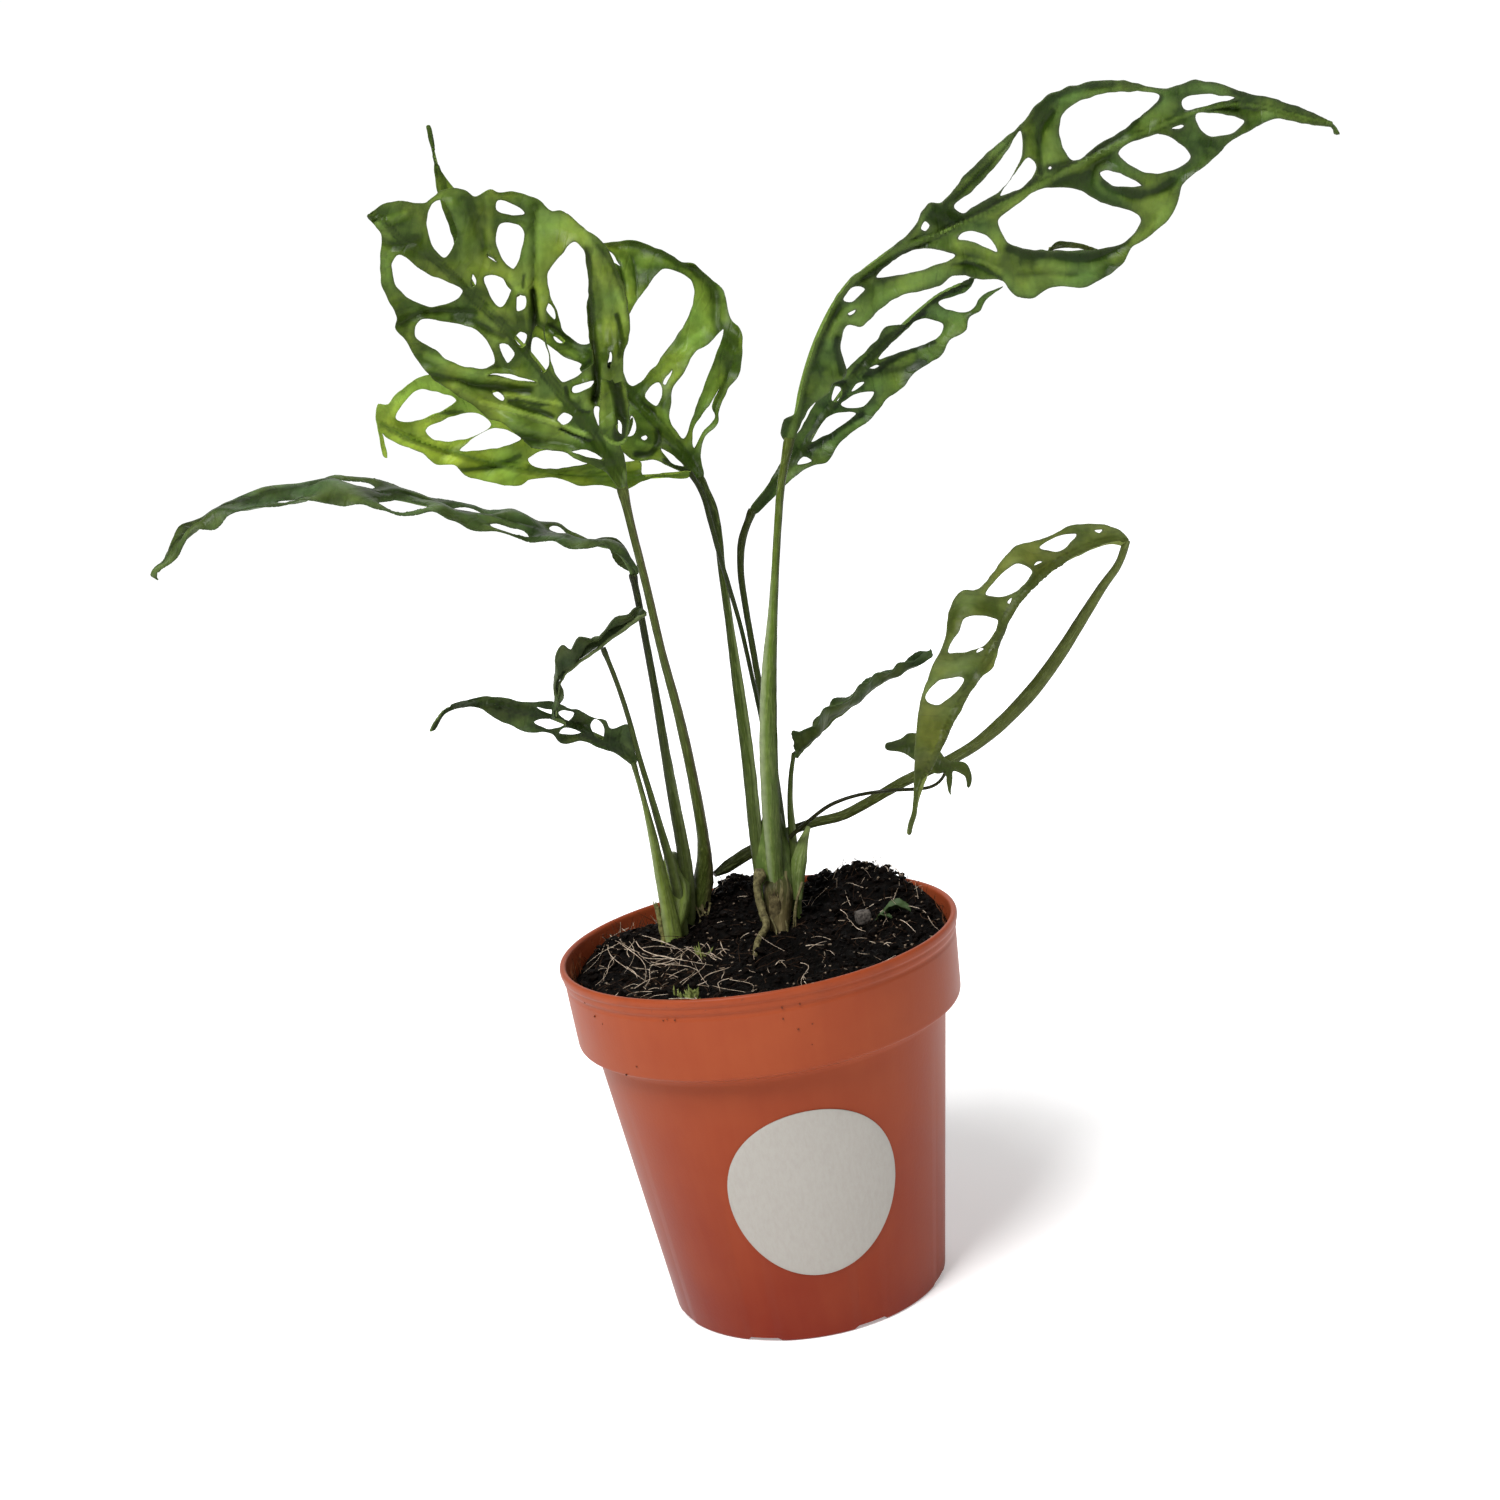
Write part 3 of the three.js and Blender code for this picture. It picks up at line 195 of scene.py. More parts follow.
def seen(x: float, z: float, back: float) -> Vector:
    """Finds the point that lines up with (x, 0, z) from EYE and lies `back` behind the axis.

    Args:
        x: place across, on the upright plane through the axis.
        z: height on that plane.
        back: depth of the point behind that plane.

    Returns:
        The point in space.
    """
    reach = (back - EYE.y) / -EYE.y
    return Vector((EYE.x + (x - EYE.x) * reach, back, EYE.z + (z - EYE.z) * reach))


def smoothstep(low: float, high: float, value: float) -> float:
    """Rises smoothly from 0 at `low` to 1 at `high`."""
    share = min(1.0, max(0.0, (value - low) / (high - low)))
    return share * share * (3 - 2 * share)


def mix(a: float, b: float, share: float) -> float:
    """Goes straight from `a` at 0 to `b` at 1."""
    return a + (b - a) * share


def bell(distance: float, width: float) -> float:
    """Falls smoothly from 1 at a distance of 0, along a bell curve."""
    return math.exp(-(distance / width) ** 2)


class SmoothPath:
    """A centripetal Catmull-Rom curve through its points."""

    def __init__(self, points: list[Vector], closed: bool = False) -> None:
        """Keeps the points.

        Args:
            points: the points that the curve passes through.
            closed: whether the last point joins the first.
        """
        self.points = points
        self.closed = closed

    def at(self, share: float) -> Vector:
        """Finds a point of the curve.

        Args:
            share: 0 at the first point and 1 at the end, with equal shares between points.

        Returns:
            The point.
        """
        count = len(self.points)
        place = share * (count if self.closed else count - 1)
        index = int(math.floor(place))
        if not self.closed:
            index = max(0, min(index, count - 2))
        rest = place - index
        if self.closed:
            p0, p1, p2, p3 = (self.points[(index + k) % count] for k in (-1, 0, 1, 2))
        else:
            p1, p2 = self.points[index], self.points[index + 1]
            p0 = self.points[index - 1] if index > 0 else p1 * 2 - p2
            p3 = self.points[index + 2] if index + 2 < count else p2 * 2 - p1
        step0, step1, step2 = (max((b - a).length ** 0.5, 1e-4) for a, b in ((p0, p1), (p1, p2), (p2, p3)))
        slope1 = ((p1 - p0) / step0 - (p2 - p0) / (step0 + step1) + (p2 - p1) / step1) * step1
        slope2 = ((p2 - p1) / step1 - (p3 - p1) / (step1 + step2) + (p3 - p2) / step2) * step1
        square = (p2 - p1) * 3 - slope1 * 2 - slope2
        cube = (p1 - p2) * 2 + slope1 + slope2
        return p1 + slope1 * rest + square * rest ** 2 + cube * rest ** 3

    def evenly(self, steps: int) -> list[Vector]:
        """Finds the points at equal shares, from the first to the last."""
        return [self.at(k / steps) for k in range(steps + 1)]

    def heading(self, share: float) -> Vector:
        """Finds the curve's direction at a share of its length."""
        return (self.at(min(1.0, share + 1e-4)) - self.at(max(0.0, share - 1e-4))).normalized()

    def length(self) -> float:
        """Measures the curve in 200 chords."""
        chain = self.evenly(200)
        return sum((b - a).length for a, b in zip(chain, chain[1:]))


def flat_path(points: Loop, closed: bool = False) -> SmoothPath:
    """Makes a smooth path through points of a flat drawing."""
    return SmoothPath([Vector((x, z, 0)) for x, z in points], closed)


def finder(points: list[Vector]) -> KDTree:
    """Sorts points so that the one nearest to a place is found fast.

    Args:
        points: the points.

    Returns:
        The tree that finds them.
    """
    tree = KDTree(len(points))
    for index, point in enumerate(points):
        tree.insert(point, index)
    tree.balance()
    return tree


class Slot(Enum):
    """The record's material slots."""

    POT = "pot_plastic"
    LABEL = "label_paper"
    PEAT = "peat"
    STONE = "pebble_stone"
    STEM = "stem_green"
    ROOT = "dry_root"
    LEAF = "leaf_green"


def in_scene(name: str, data: bpy.types.ID) -> bpy.types.Object:
    """Makes an object and puts it in the scene.

    Args:
        name: the object's name.
        data: its mesh, curve, light or camera.

    Returns:
        The object.
    """
    item = bpy.data.objects.new(name, data)
    bpy.context.scene.collection.objects.link(item)
    return item


def as_mesh(name: str, bm: BMesh) -> bpy.types.Mesh:
    """Turns a bmesh into a mesh.

    Args:
        name: the mesh's name.
        bm: the bmesh, which is freed.

    Returns:
        The mesh.
    """
    mesh = bpy.data.meshes.new(name)
    bm.to_mesh(mesh)
    bm.free()
    return mesh


def as_bmesh(holder: bpy.types.Object) -> BMesh:
    """Takes an object's shape, modifiers and all, and removes the object.

    Args:
        holder: the object.

    Returns:
        Its shape.
    """
    source = holder.data
    mesh = bpy.data.meshes.new_from_object(holder.evaluated_get(bpy.context.evaluated_depsgraph_get()))
    bm = bmesh.new()
    bm.from_mesh(mesh)
    bpy.data.objects.remove(holder)
    bpy.data.batch_remove((source, mesh))
    return bm


def merge_in(bm: BMesh, part: BMesh) -> None:
    """Adds one bmesh to another, with its layers.

    Args:
        bm: the one that gets it.
        part: the one that is added, and freed.
    """
    bmesh.ops.recalc_face_normals(part, faces=part.faces)
    scratch = as_mesh("scratch", part)
    bm.from_mesh(scratch)
    bpy.data.meshes.remove(scratch)


def add_piece(name: str, bm: BMesh, materials: list[Material], replaced: tuple[str, ...] = (),
              sharp_degrees: float = 60) -> Piece:
    """Turns a finished bmesh, in millimetres, into a piece that rides on the part.

    Args:
        name: the piece's name.
        bm: the mesh, which is freed.
        materials: its materials, in the order of its faces' numbers.
        replaced: the CAD nodes that it stands for.
        sharp_degrees: edges that turn by more than this are drawn sharp.

    Returns:
        The piece's object.
    """
    bmesh.ops.scale(bm, vec=(MM, MM, MM), verts=bm.verts)
    for face in bm.faces:
        face.smooth = True
    mesh = as_mesh(name, bm)
    mesh.set_sharp_from_angle(angle=math.radians(sharp_degrees))
    for material in materials:
        mesh.materials.append(material)
    piece = in_scene(name, mesh)
    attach(piece, "root")
    if replaced:
        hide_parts(*replaced)
    log.info("%s: %d faces", name, len(mesh.polygons))
    return piece


def cut_across(bm: BMesh, place: Vector, normal: Vector, reach: float) -> None:
    """Cuts a mesh along a plane.

    Args:
        bm: the mesh.
        place: a point of the plane.
        normal: the plane's direction.
        reach: how near a vertex may be to count as on the plane.
    """
    everything = bm.verts[:] + bm.edges[:] + bm.faces[:]
    bmesh.ops.bisect_plane(bm, geom=everything, dist=reach, plane_co=place, plane_no=normal)


def slice_evenly(bm: BMesh, cell: float) -> None:
    """Cuts a flat sheet into cells, so that it can bend.

    Args:
        bm: the sheet.
        cell: the length of a cell's side.
    """
    for axis, normal in enumerate((Vector((1, 0, 0)), Vector((0, 1, 0)))):
        high = max(v.co[axis] for v in bm.verts)
        place = min(v.co[axis] for v in bm.verts) + 0.37 * cell
        while place < high:
            cut_across(bm, normal * place, normal, 1e-4)
            place += cell


def drop_slants(bm: BMesh) -> None:
    """Dissolves the slanting edges inside a sheet, which leaves square cells there.

    Args:
        bm: the sheet.
    """
    rim = {v for e in bm.edges if e.is_boundary for v in e.verts}
    slants = []
    for edge in bm.edges:
        a, b = edge.verts
        if a in rim or b in rim:
            continue
        if min(abs(a.co.x - b.co.x), abs(a.co.y - b.co.y)) > 1e-3:
            slants.append(edge)
    bmesh.ops.dissolve_edges(bm, edges=slants, use_verts=True, use_face_split=False)


def thickened(bm: BMesh, thickness: float, by_group: bool = False, side_material: int = 0) -> BMesh:
    """Gives a bent sheet its thickness, half to each side.

    Args:
        bm: the sheet, in millimetres, which is freed.
        thickness: the sheet's full thickness.
        by_group: whether the sheet's first vertex group scales the thickness.
        side_material: material number of the rim and the rear side.

    Returns:
        The closed shell, in millimetres.
    """
    holder = in_scene("sheet", as_mesh("sheet", bm))
    for _ in range(3):
        holder.data.materials.append(None)
    solidify = holder.modifiers.new("thickness", "SOLIDIFY")
    solidify.thickness = thickness
    solidify.offset = 0
    solidify.use_quality_normals = True
    solidify.material_offset = side_material
    solidify.material_offset_rim = side_material
    if by_group:
        holder.vertex_groups.new(name="thickness")
        solidify.vertex_group = "thickness"
    return as_bmesh(holder)


def tube(bm: BMesh, path: SmoothPath, sizes: list[Point], sides: int, step: float,
         section: Callable[[float, float], float] | None = None, wobble: float = 0.0) -> None:
    """Adds a tapered tube that follows a path.

    Args:
        bm: the mesh that gets it, with float layers along, ring_x and ring_y.
        path: its centre line.
        sizes: its width and depth at each point of the path.
        sides: how many sides it has.
        step: the length of one ring.
        section: a function of (share along, angle) that scales the radius there, or None.
        wobble: how far its skin strays, as a share of its radius.
    """
    part = bmesh.new()
    rings = max(3, round(path.length() / step))
    bmesh.ops.create_cone(part, cap_ends=True, cap_tris=False, segments=sides, radius1=1, radius2=1, depth=1)
    for k in range(1, rings):
        cut_across(part, Vector((0, 0, k / rings - 0.5)), Vector((0, 0, 1)), 1e-6)
    layers = [part.verts.layers.float.new(name) for name in ("along", "ring_x", "ring_y")]
    last = len(sizes) - 1
    for vert in part.verts:
        share = min(1.0, max(0.0, vert.co.z + 0.5))
        angle = math.atan2(vert.co.y, vert.co.x)
        centre, heading = path.at(share), path.heading(share)
        wide = Vector((0, 1, 0)).cross(heading).normalized()
        deep = heading.cross(wide)
        station = min(int(share * last), last - 1)
        width, depth = (mix(a, b, share * last - station) / 2
                        for a, b in zip(sizes[station], sizes[station + 1]))
        scale = section(share, angle) if section else 1.0
        if wobble:
            scale *= 1 + wobble * noise.noise(centre * 0.35 + Vector((vert.co.x, vert.co.y, 0)) * 0.9)
        for layer, value in zip(layers, (share, math.cos(angle), math.sin(angle))):
            vert[layer] = value
        vert.co = centre + wide * (math.cos(angle) * width * scale) + deep * (math.sin(angle) * depth * scale)
    merge_in(bm, part)


class Side(Enum):
    """The two faces of a leaf blade."""

    UPPER = "upper"
    LOWER = "lower"


@dataclass(frozen=True)
class LeafSkin:
    """A living leaf blade: a thin waxy skin over green flesh.

    The wax gives a satin gloss that breaks over the veins. The flesh is thin, so patches of it are
    lighter where light comes through, and the midrib is darker above and paler below.
    """

    name: str
    deep: str
    bright: str
    rib: str
    edge: str
    patch_mm: float = 13
    bias: float = 0.0
    gloss: float = 0.42
    lateral_mm: float = 4.2

    def material(self, side: Side) -> Material:
        """Makes the skin of one side.

        Args:
            side: which face of the blade it covers.

        Returns:
            The material.
        """
        material, add = new_material(f"{self.name} {side.value} side, grown leaf")
        lower = side is Side.LOWER
        place = add(Node.PLACE)
        tone, vein, margin, rib = (add(Node.ATTRIBUTE, attribute_name=name)
                                   for name in ("tone", "chevron", "margin", "rib"))
        patches = add(Node.NOISE, place, per_metre(self.patch_mm), 3, 0.55)
        # painted light and shade from the tone attribute: spots, fold lines and a shadow beside the midrib
        share = add(Node.ADD, add(Node.RANGE, patches, 0.34, 0.68, 0, 0.95), tone)
        share = add(Node.ADD, share, self.bias + (0.12 if lower else 0))
        # lateral veins: chevrons that leave the midrib, broken up so that none looks ruled
        chevron = add(Node.ADD, vein, add(Node.MULTIPLY, add(Node.NOISE, place, per_metre(9)), 9))
        wave = add(Node.SINE, add(Node.MULTIPLY, chevron, FULL_TURN / self.lateral_mm))
        line = add(Node.RANGE, wave, 0.55, 1)
        share = add(Node.SUBTRACT, share, add(Node.MULTIPLY, line, 0.06), use_clamp=True)
        colour = add(Node.BLEND, share, linear(self.deep), linear(self.bright))
        grain = add(Node.RANGE, add(Node.NOISE, place, per_metre(1.6)), 0.3, 0.7, 0.93, 1.06)
        # painted shade: where the tone is below zero the colour is darkened, down to 0.3 of it
        grain = add(Node.MULTIPLY, grain, add(Node.RANGE, tone, -1, -0.15, 0.3, 1))
        colour = add(Node.TINT, 1, colour, grain)
        # old growth is cooler, young growth is warmer
        age = add(Node.RANGE, add(Node.NOISE, place, per_metre(16)), 0.38, 0.62)
        colour = add(Node.TINT, 1, colour, add(Node.BLEND, age, (0.9, 1, 1.22, 1), (1.07, 1, 0.82, 1)))
        colour = add(Node.BLEND, margin, colour, linear(self.edge))
        colour = add(Node.BLEND, rib, colour, linear(self.bright if lower else self.rib))
        gloss = self.gloss + (0.1 if lower else 0)
        rough = add(Node.RANGE, add(Node.NOISE, place, per_metre(6)), 0.3, 0.7, gloss - 0.08, gloss + 0.1)
        cells = add(Node.MULTIPLY, add(Node.NOISE, place, per_metre(1.1)), 0.5)
        height = add(Node.SUBTRACT, cells, add(Node.MULTIPLY, line, 0.45))
        close_surface(add, colour, rough, height, 0.16, specular=0.16, ior=1.42, flesh=0.06)
        return material


@dataclass(frozen=True)
class PetioleSkin:
    """A living leaf stalk: smooth, satin, with fine stripes that run along it.

    Its colour changes from the sheath at its foot to the top, and one flank may carry the pale dry
    edge of the sheath. The flank away from the light is darkened as painted shade.
    """

    name: str
    foot: str
    middle: str
    top: str
    stripe: str
    flank: str = "#8FA45A"
    flank_strength: float = 0.0
    flank_side: float = 1.0
    flank_end: float = 0.5
    shade: float = 0.45
    turn: float = 0.35
    length_mm: float = 120

    def material(self) -> Material:
        """Makes the stalk's finish.

        Returns:
            The material.
        """
        material, add = new_material(f"{self.name}, grown leaf stalk")
        along, across, around = (add(Node.ATTRIBUTE, attribute_name=name)
                                 for name in ("along", "ring_x", "ring_y"))
        colour = add(Node.RAMP, along)
        stops = colour.node.color_ramp.elements
        stops[0].color = linear(self.foot)
        stops[1].color = linear(self.top)
        stops.new(self.turn).color = linear(self.middle)
        # the stripes are about 4 mm long and a third of the radius wide, coarser than life so that they show
        ringed = add(Node.COMBINE, across, around, add(Node.MULTIPLY, along, self.length_mm / 14))
        line = add(Node.RANGE, add(Node.NOISE, ringed, 3.2, 3, 0.6), 0.46, 0.64)
        colour = add(Node.BLEND, add(Node.MULTIPLY, line, 0.5), colour, linear(self.stripe))
        # painted shade: the flank away from the light is darkened
        lean = add(Node.MULTIPLY, across, self.flank_side)
        colour = add(Node.TINT, 1, colour, add(Node.RANGE, lean, -0.95, 0.2, 1 - self.shade, 1))
        if self.flank_strength:
            side = add(Node.RANGE, lean, 0.25, 0.75, 0, self.flank_strength)
            ends = add(Node.RANGE, along, self.flank_end, self.flank_end + 0.12, 1, 0)
            colour = add(Node.BLEND, add(Node.MULTIPLY, side, ends), colour, linear(self.flank))
        blotches = add(Node.NOISE, add(Node.PLACE), per_metre(2.6), 3)
        colour = add(Node.TINT, 1, colour, add(Node.RANGE, blotches, 0.3, 0.7, 0.84, 1.14))
        close_surface(add, colour, 0.27, line, 0.16, specular=0.14, ior=1.42, flesh=0.03)
        return material


@dataclass(frozen=True)
class GrittyFinish:
    """A rough natural surface in two colours, such as peat, stone, dry root or moss.

    Its lumps scatter light, and damp ones glint.
    """

    name: str
    dark: str
    light: str
    blob_mm: float
    rough_low: float = 0.6
    rough_high: float = 0.9
    depth_mm: float = 0.3
    low: float = 0.35
    high: float = 0.68
    specular: float = 0.12

    def material(self) -> Material:
        """Makes the finish.

        Returns:
            The material.
        """
        material, add = new_material(self.name)
        place = add(Node.PLACE)
        lumps = add(Node.NOISE, place, per_metre(self.blob_mm), 4, 0.65)
        share = add(Node.RANGE, lumps, self.low, self.high)
        colour = add(Node.BLEND, share, linear(self.dark), linear(self.light))
        damp = add(Node.NOISE, place, per_metre(2.5 * self.blob_mm))
        rough = add(Node.RANGE, damp, 0.35, 0.65, self.rough_low, self.rough_high)
        close_surface(add, colour, rough, lumps, self.depth_mm, specular=self.specular)
        return material


@dataclass(frozen=True)
class PotPlastic:
    """Polypropylene nursery pot, injection moulded in terracotta colour.

    A satin skin with faint upright flow lines and a paler bloom, and dust of peat near the rim. The lower
    body is darkened as painted shade.
    """

    name: str = "terracotta polypropylene, injection moulded"
    base: str = "#934526"
    shade: str = "#73200F"
    dust: str = "#5C3326"

    def material(self) -> Material:
        """Makes the finish.

        Returns:
            The material.
        """
        material, add = new_material(self.name)
        place = add(Node.PLACE)
        cloud = add(Node.NOISE, place, per_metre(30), 3)
        flow = add(Node.NOISE, add(Node.STRETCH, place, (1, 1, 0.06)), per_metre(3.5), 3)
        mixed = add(Node.ADD, add(Node.MULTIPLY, cloud, 0.8), add(Node.MULTIPLY, flow, 0.2))
        height = add(Node.Z_OF, place)
        # painted shade: the body is darker towards the bottom, where more of the shade colour is mixed in
        share = add(Node.ADD, add(Node.MULTIPLY, add(Node.RANGE, mixed, 0.3, 0.7), 0.35),
                    add(Node.RANGE, height, 0, 0.09, 0, 0.65))
        colour = add(Node.BLEND, share, linear(self.shade), linear(self.base))
        specks = add(Node.RANGE, add(Node.NOISE, place, per_metre(1.4), 3, 0.7), 0.66, 0.72)
        smear = add(Node.RANGE, add(Node.NOISE, place, per_metre(9), 3), 0.52, 0.75, 0, 0.35)
        near_rim = add(Node.RANGE, height, 0.1, 0.112)
        dirt = add(Node.MULTIPLY, near_rim, add(Node.MAXIMUM, specks, smear))
        colour = add(Node.BLEND, add(Node.MULTIPLY, dirt, 0.6), colour, linear(self.dust))
        rough = add(Node.RANGE, mixed, 0.3, 0.7, 0.36, 0.46)
        grain = add(Node.NOISE, place, per_metre(0.9))
        close_surface(add, colour, rough, grain, 0.03, specular=0.12, ior=1.49)
        return material


@dataclass(frozen=True)
class LabelPaper:
    """Uncoated sticker paper, cut round, in warm light grey: matte, with faint fibres."""

    name: str = "warm grey sticker paper, uncoated"
    base: str = "#A09C95"
    fibre: str = "#9B968F"

    def material(self) -> Material:
        """Makes the finish.

        Returns:
            The material.
        """
        material, add = new_material(self.name)
        lying = add(Node.STRETCH, add(Node.PLACE), (1, 1, 0.4))
        fibres = add(Node.NOISE, lying, per_metre(1.1), 4, 0.7)
        share = add(Node.RANGE, fibres, 0.4, 0.7)
        colour = add(Node.BLEND, share, linear(self.base), linear(self.fibre))
        close_surface(add, colour, 0.62, fibres, 0.04)
        return material


@dataclass
class Crease:
    """A drawn fold of a blade: its points, the circle that holds them, and what it does to the blade."""

    points: KDTree
    middle: Vector
    near: float
    reach: float
    depth: float
    tone: float


@dataclass
class Blade:
    """A perforated leaf blade: drawn flat, cut into cells, then laid on its bent surface."""

    name: str
    skin: LeafSkin
    midrib: Loop = field(default_factory=list)
    outline: Loop = field(default_factory=list)
    holes: list[Loop] = field(default_factory=list)
    light_and_shade_spots: list[Colour] = field(default_factory=list)
    folds: list[Fold] = field(default_factory=list)
    cell: float = 1.05
    channel: float = -0.42
    frill: float = 0.8
    ruffle: float = 0.3
    frill_mm: float = 6.0
    billow: float = 3.0
    heart: float = 0.25
    billow_mm: float = 11.0
    rib_width: float = 1.5
    keel_drop: float = 1.05
    border_step: float = 0.7
    upturned: bool = True
    replaced: bool = True

    def surface(self, x: float, y: float, lift: float) -> Vector:
        """Bends a point of the drawing, which each kind of blade does in its own way."""
        raise NotImplementedError

    def chevron(self, x: float, y: float) -> float:
        """Measures along the lateral veins' direction, which each kind of blade does in its own way."""
        raise NotImplementedError

    def fine_loop(self, points: Loop) -> list[Vector]:
        """Smooths a drawn loop.

        Args:
            points: the loop's points.

        Returns:
            Points about `border_step` apart.
        """
        path = flat_path(points, closed=True)
        count = len(points)
        fine = []
        for k in range(count):
            a, b = path.at(k / count), path.at((k + 1) / count)
            steps = max(2, math.ceil((b - a).length / self.border_step))
            for j in range(steps):
                point = path.at((k + j / steps) / count)
                point.x += self.ruffle * noise.noise(Vector((point.x, point.y, 1.3)) / 2.6)
                point.y += self.ruffle * noise.noise(Vector((point.x, point.y, 8.9)) / 2.6)
                fine.append(point)
        return fine

    def sheet(self) -> tuple[BMesh, KDTree]:
        """Fills the outline round its holes and cuts it into cells.

        Returns:
            The flat sheet, and a finder of the points on its margins.
        """
        bm = bmesh.new()
        loops = [self.fine_loop(loop) for loop in [self.outline, *self.holes]]
        edges = []
        for loop in loops:
            verts = [bm.verts.new(point) for point in loop]
            edges += [bm.edges.new((a, b)) for a, b in zip(verts, verts[1:] + verts[:1])]
        bmesh.ops.triangle_fill(bm, use_beauty=True, use_dissolve=False, edges=edges, normal=(0, 0, 1))
        slice_evenly(bm, self.cell)
        drop_slants(bm)
        for face in bm.faces:
            face.normal_update()
            if face.normal.z < 0:
                face.normal_flip()
        return bm, finder([point for loop in loops for point in loop])

    def build(self) -> Piece:
        """Builds and dresses the blade.

        Returns:
            The piece.
        """
        bm, margins = self.sheet()
        rib_path = flat_path(self.midrib)
        ribs = finder(rib_path.evenly(240))
        creases = [self.crease(*fold) for fold in self.folds]
        layers = [bm.verts.layers.float.new(name) for name in ("rib", "margin", "tone", "chevron")]
        weights = bm.verts.layers.deform.verify()
        for vert in bm.verts:
            flat = vert.co.copy()
            to_margin = margins.find(flat)[2]
            _, at_rib, to_rib = ribs.find(flat)
            taper = self.rib_width * (1 - 0.55 * at_rib / 240)
            rib = bell(to_rib, 0.62 * taper)
            # painted light and shade: soft spots that make the blade lighter or darker
            spots = sum(change * math.exp(-((flat.x - x) ** 2 + (flat.y - y) ** 2) / (2 * reach * reach))
                        for x, y, reach, change in self.light_and_shade_spots)
            # painted light and shade along the drawn folds
            fold_light_and_shade, lift = self.drawn_folds(flat, creases)
            # painted shadow: a dark band along each side of the midrib
            beside = bell(to_rib - 0.95 * taper, 0.35 * taper)
            tone = spots + fold_light_and_shade - self.heart * bell(to_rib, 6) - 0.3 * beside
            values = (rib, math.exp(-to_margin / 0.35) * 0.8, tone, self.chevron(flat.x, flat.y))
            for layer, value in zip(layers, values):
                vert[layer] = value
            vert[weights][0] = mix(mix(0.42, 0.75, 1 - math.exp(-to_margin / 1.2)), 1.15, rib)
            vert.co = self.surface(flat.x, flat.y, self.relief(flat, to_margin, rib) + lift)
        if not self.upturned:
            bmesh.ops.reverse_faces(bm, faces=bm.faces)
        shell = thickened(bm, 1.0, by_group=True, side_material=1)
        self.add_rib(shell, rib_path, margins, creases)
        materials = [self.skin.material(side) for side in Side]
        nodes = (self.name,) if self.replaced else ()
        return add_piece(f"{self.name}_blade", shell, materials, nodes, sharp_degrees=55)

    def crease(self, line: Loop, reach: float, depth: float, tone: float) -> Crease:
        """Readies a drawn fold.

        Args:
            line: the fold's points in the drawing.
            reach: how far to its sides it acts.
            depth: how far it stands to the front.
            tone: how much lighter it is painted along the fold; below zero it is painted shade.

        Returns:
            The fold, with its points close together.
        """
        points = flat_path(line).evenly(24 * len(line))
        middle = points[12 * len(line)]
        near = reach + max((point - middle).length for point in points)
        return Crease(finder(points), middle, near, reach, depth, tone)

    def drawn_folds(self, flat: Vector, creases: list[Crease]) -> Point:
        """Adds up what the drawn folds do at a point.

        Args:
            flat: the point in the drawing.
            creases: the folds.

        Returns:
            The painted light and shade of the folds, and the distance to the front.
        """
        shade = lift = 0.0
        for crease in creases:
            if (flat - crease.middle).length > crease.near:
                continue
            distance = math.hypot(crease.points.find(flat)[2], 0.15 * crease.reach)
            share = max(0.0, 1 - distance / crease.reach)
            shade += crease.tone * smoothstep(0, 0.7, share)
            lift += crease.depth * share
        return shade, lift

    def relief(self, flat: Vector, to_margin: float, rib: float) -> float:
        """Works out how far the blade stands off its smooth surface, apart from the drawn folds.

        Args:
            flat: the point in the drawing.
            to_margin: its distance from the nearest margin.
            rib: how near it is to the midrib, from 0 to 1.

        Returns:
            The distance to the front.
        """
        wave = noise.noise(Vector((flat.x, flat.y, 7.3)) / self.frill_mm)
        pucker = noise.noise(Vector((flat.x, flat.y, 2.1)) / 3.2)
        swell = noise.noise(Vector((flat.x, flat.y, 4.9)) / self.billow_mm)
        valley = self.channel * 4 * math.tanh(to_margin / 4)
        return (valley + 0.5 * rib + self.frill * wave * math.exp(-to_margin / 3.5) * 1.6
                + self.billow * swell * (1 - 0.7 * rib) + 0.35 * pucker * (1 - math.exp(-to_margin / 2)))

    def add_rib(self, shell: BMesh, rib_path: SmoothPath, margins: KDTree, creases: list[Crease]) -> None:
        """Adds the midrib's keel, which stands out of the blade's lower side.

        Args:
            shell: the blade's closed shell.
            rib_path: the midrib in the flat drawing.
            margins: the points on the blade's margins.
            creases: the folds.
        """
        drop = self.keel_drop if self.upturned else -self.keel_drop
        shares = [k / 60 for k in range(61)]
        centres = []
        for share in shares:
            spot = rib_path.at(share)
            lift = self.relief(spot, margins.find(spot)[2], 1.0) + self.drawn_folds(spot, creases)[1]
            centres.append(self.surface(spot.x, spot.y, lift - drop * mix(1, 0.65, share)))
        sizes = [(self.rib_width * mix(1.0, 0.3, share), 1.15 * mix(1.1, 0.5, share)) for share in shares]
        keel = bmesh.new()
        tube(keel, SmoothPath(centres), sizes, 8, 1.6)
        rib_layer = keel.verts.layers.float.new("rib")
        for vert in keel.verts:
            vert[rib_layer] = 1.0
        for face in keel.faces:
            face.material_index = 1
        merge_in(shell, keel)


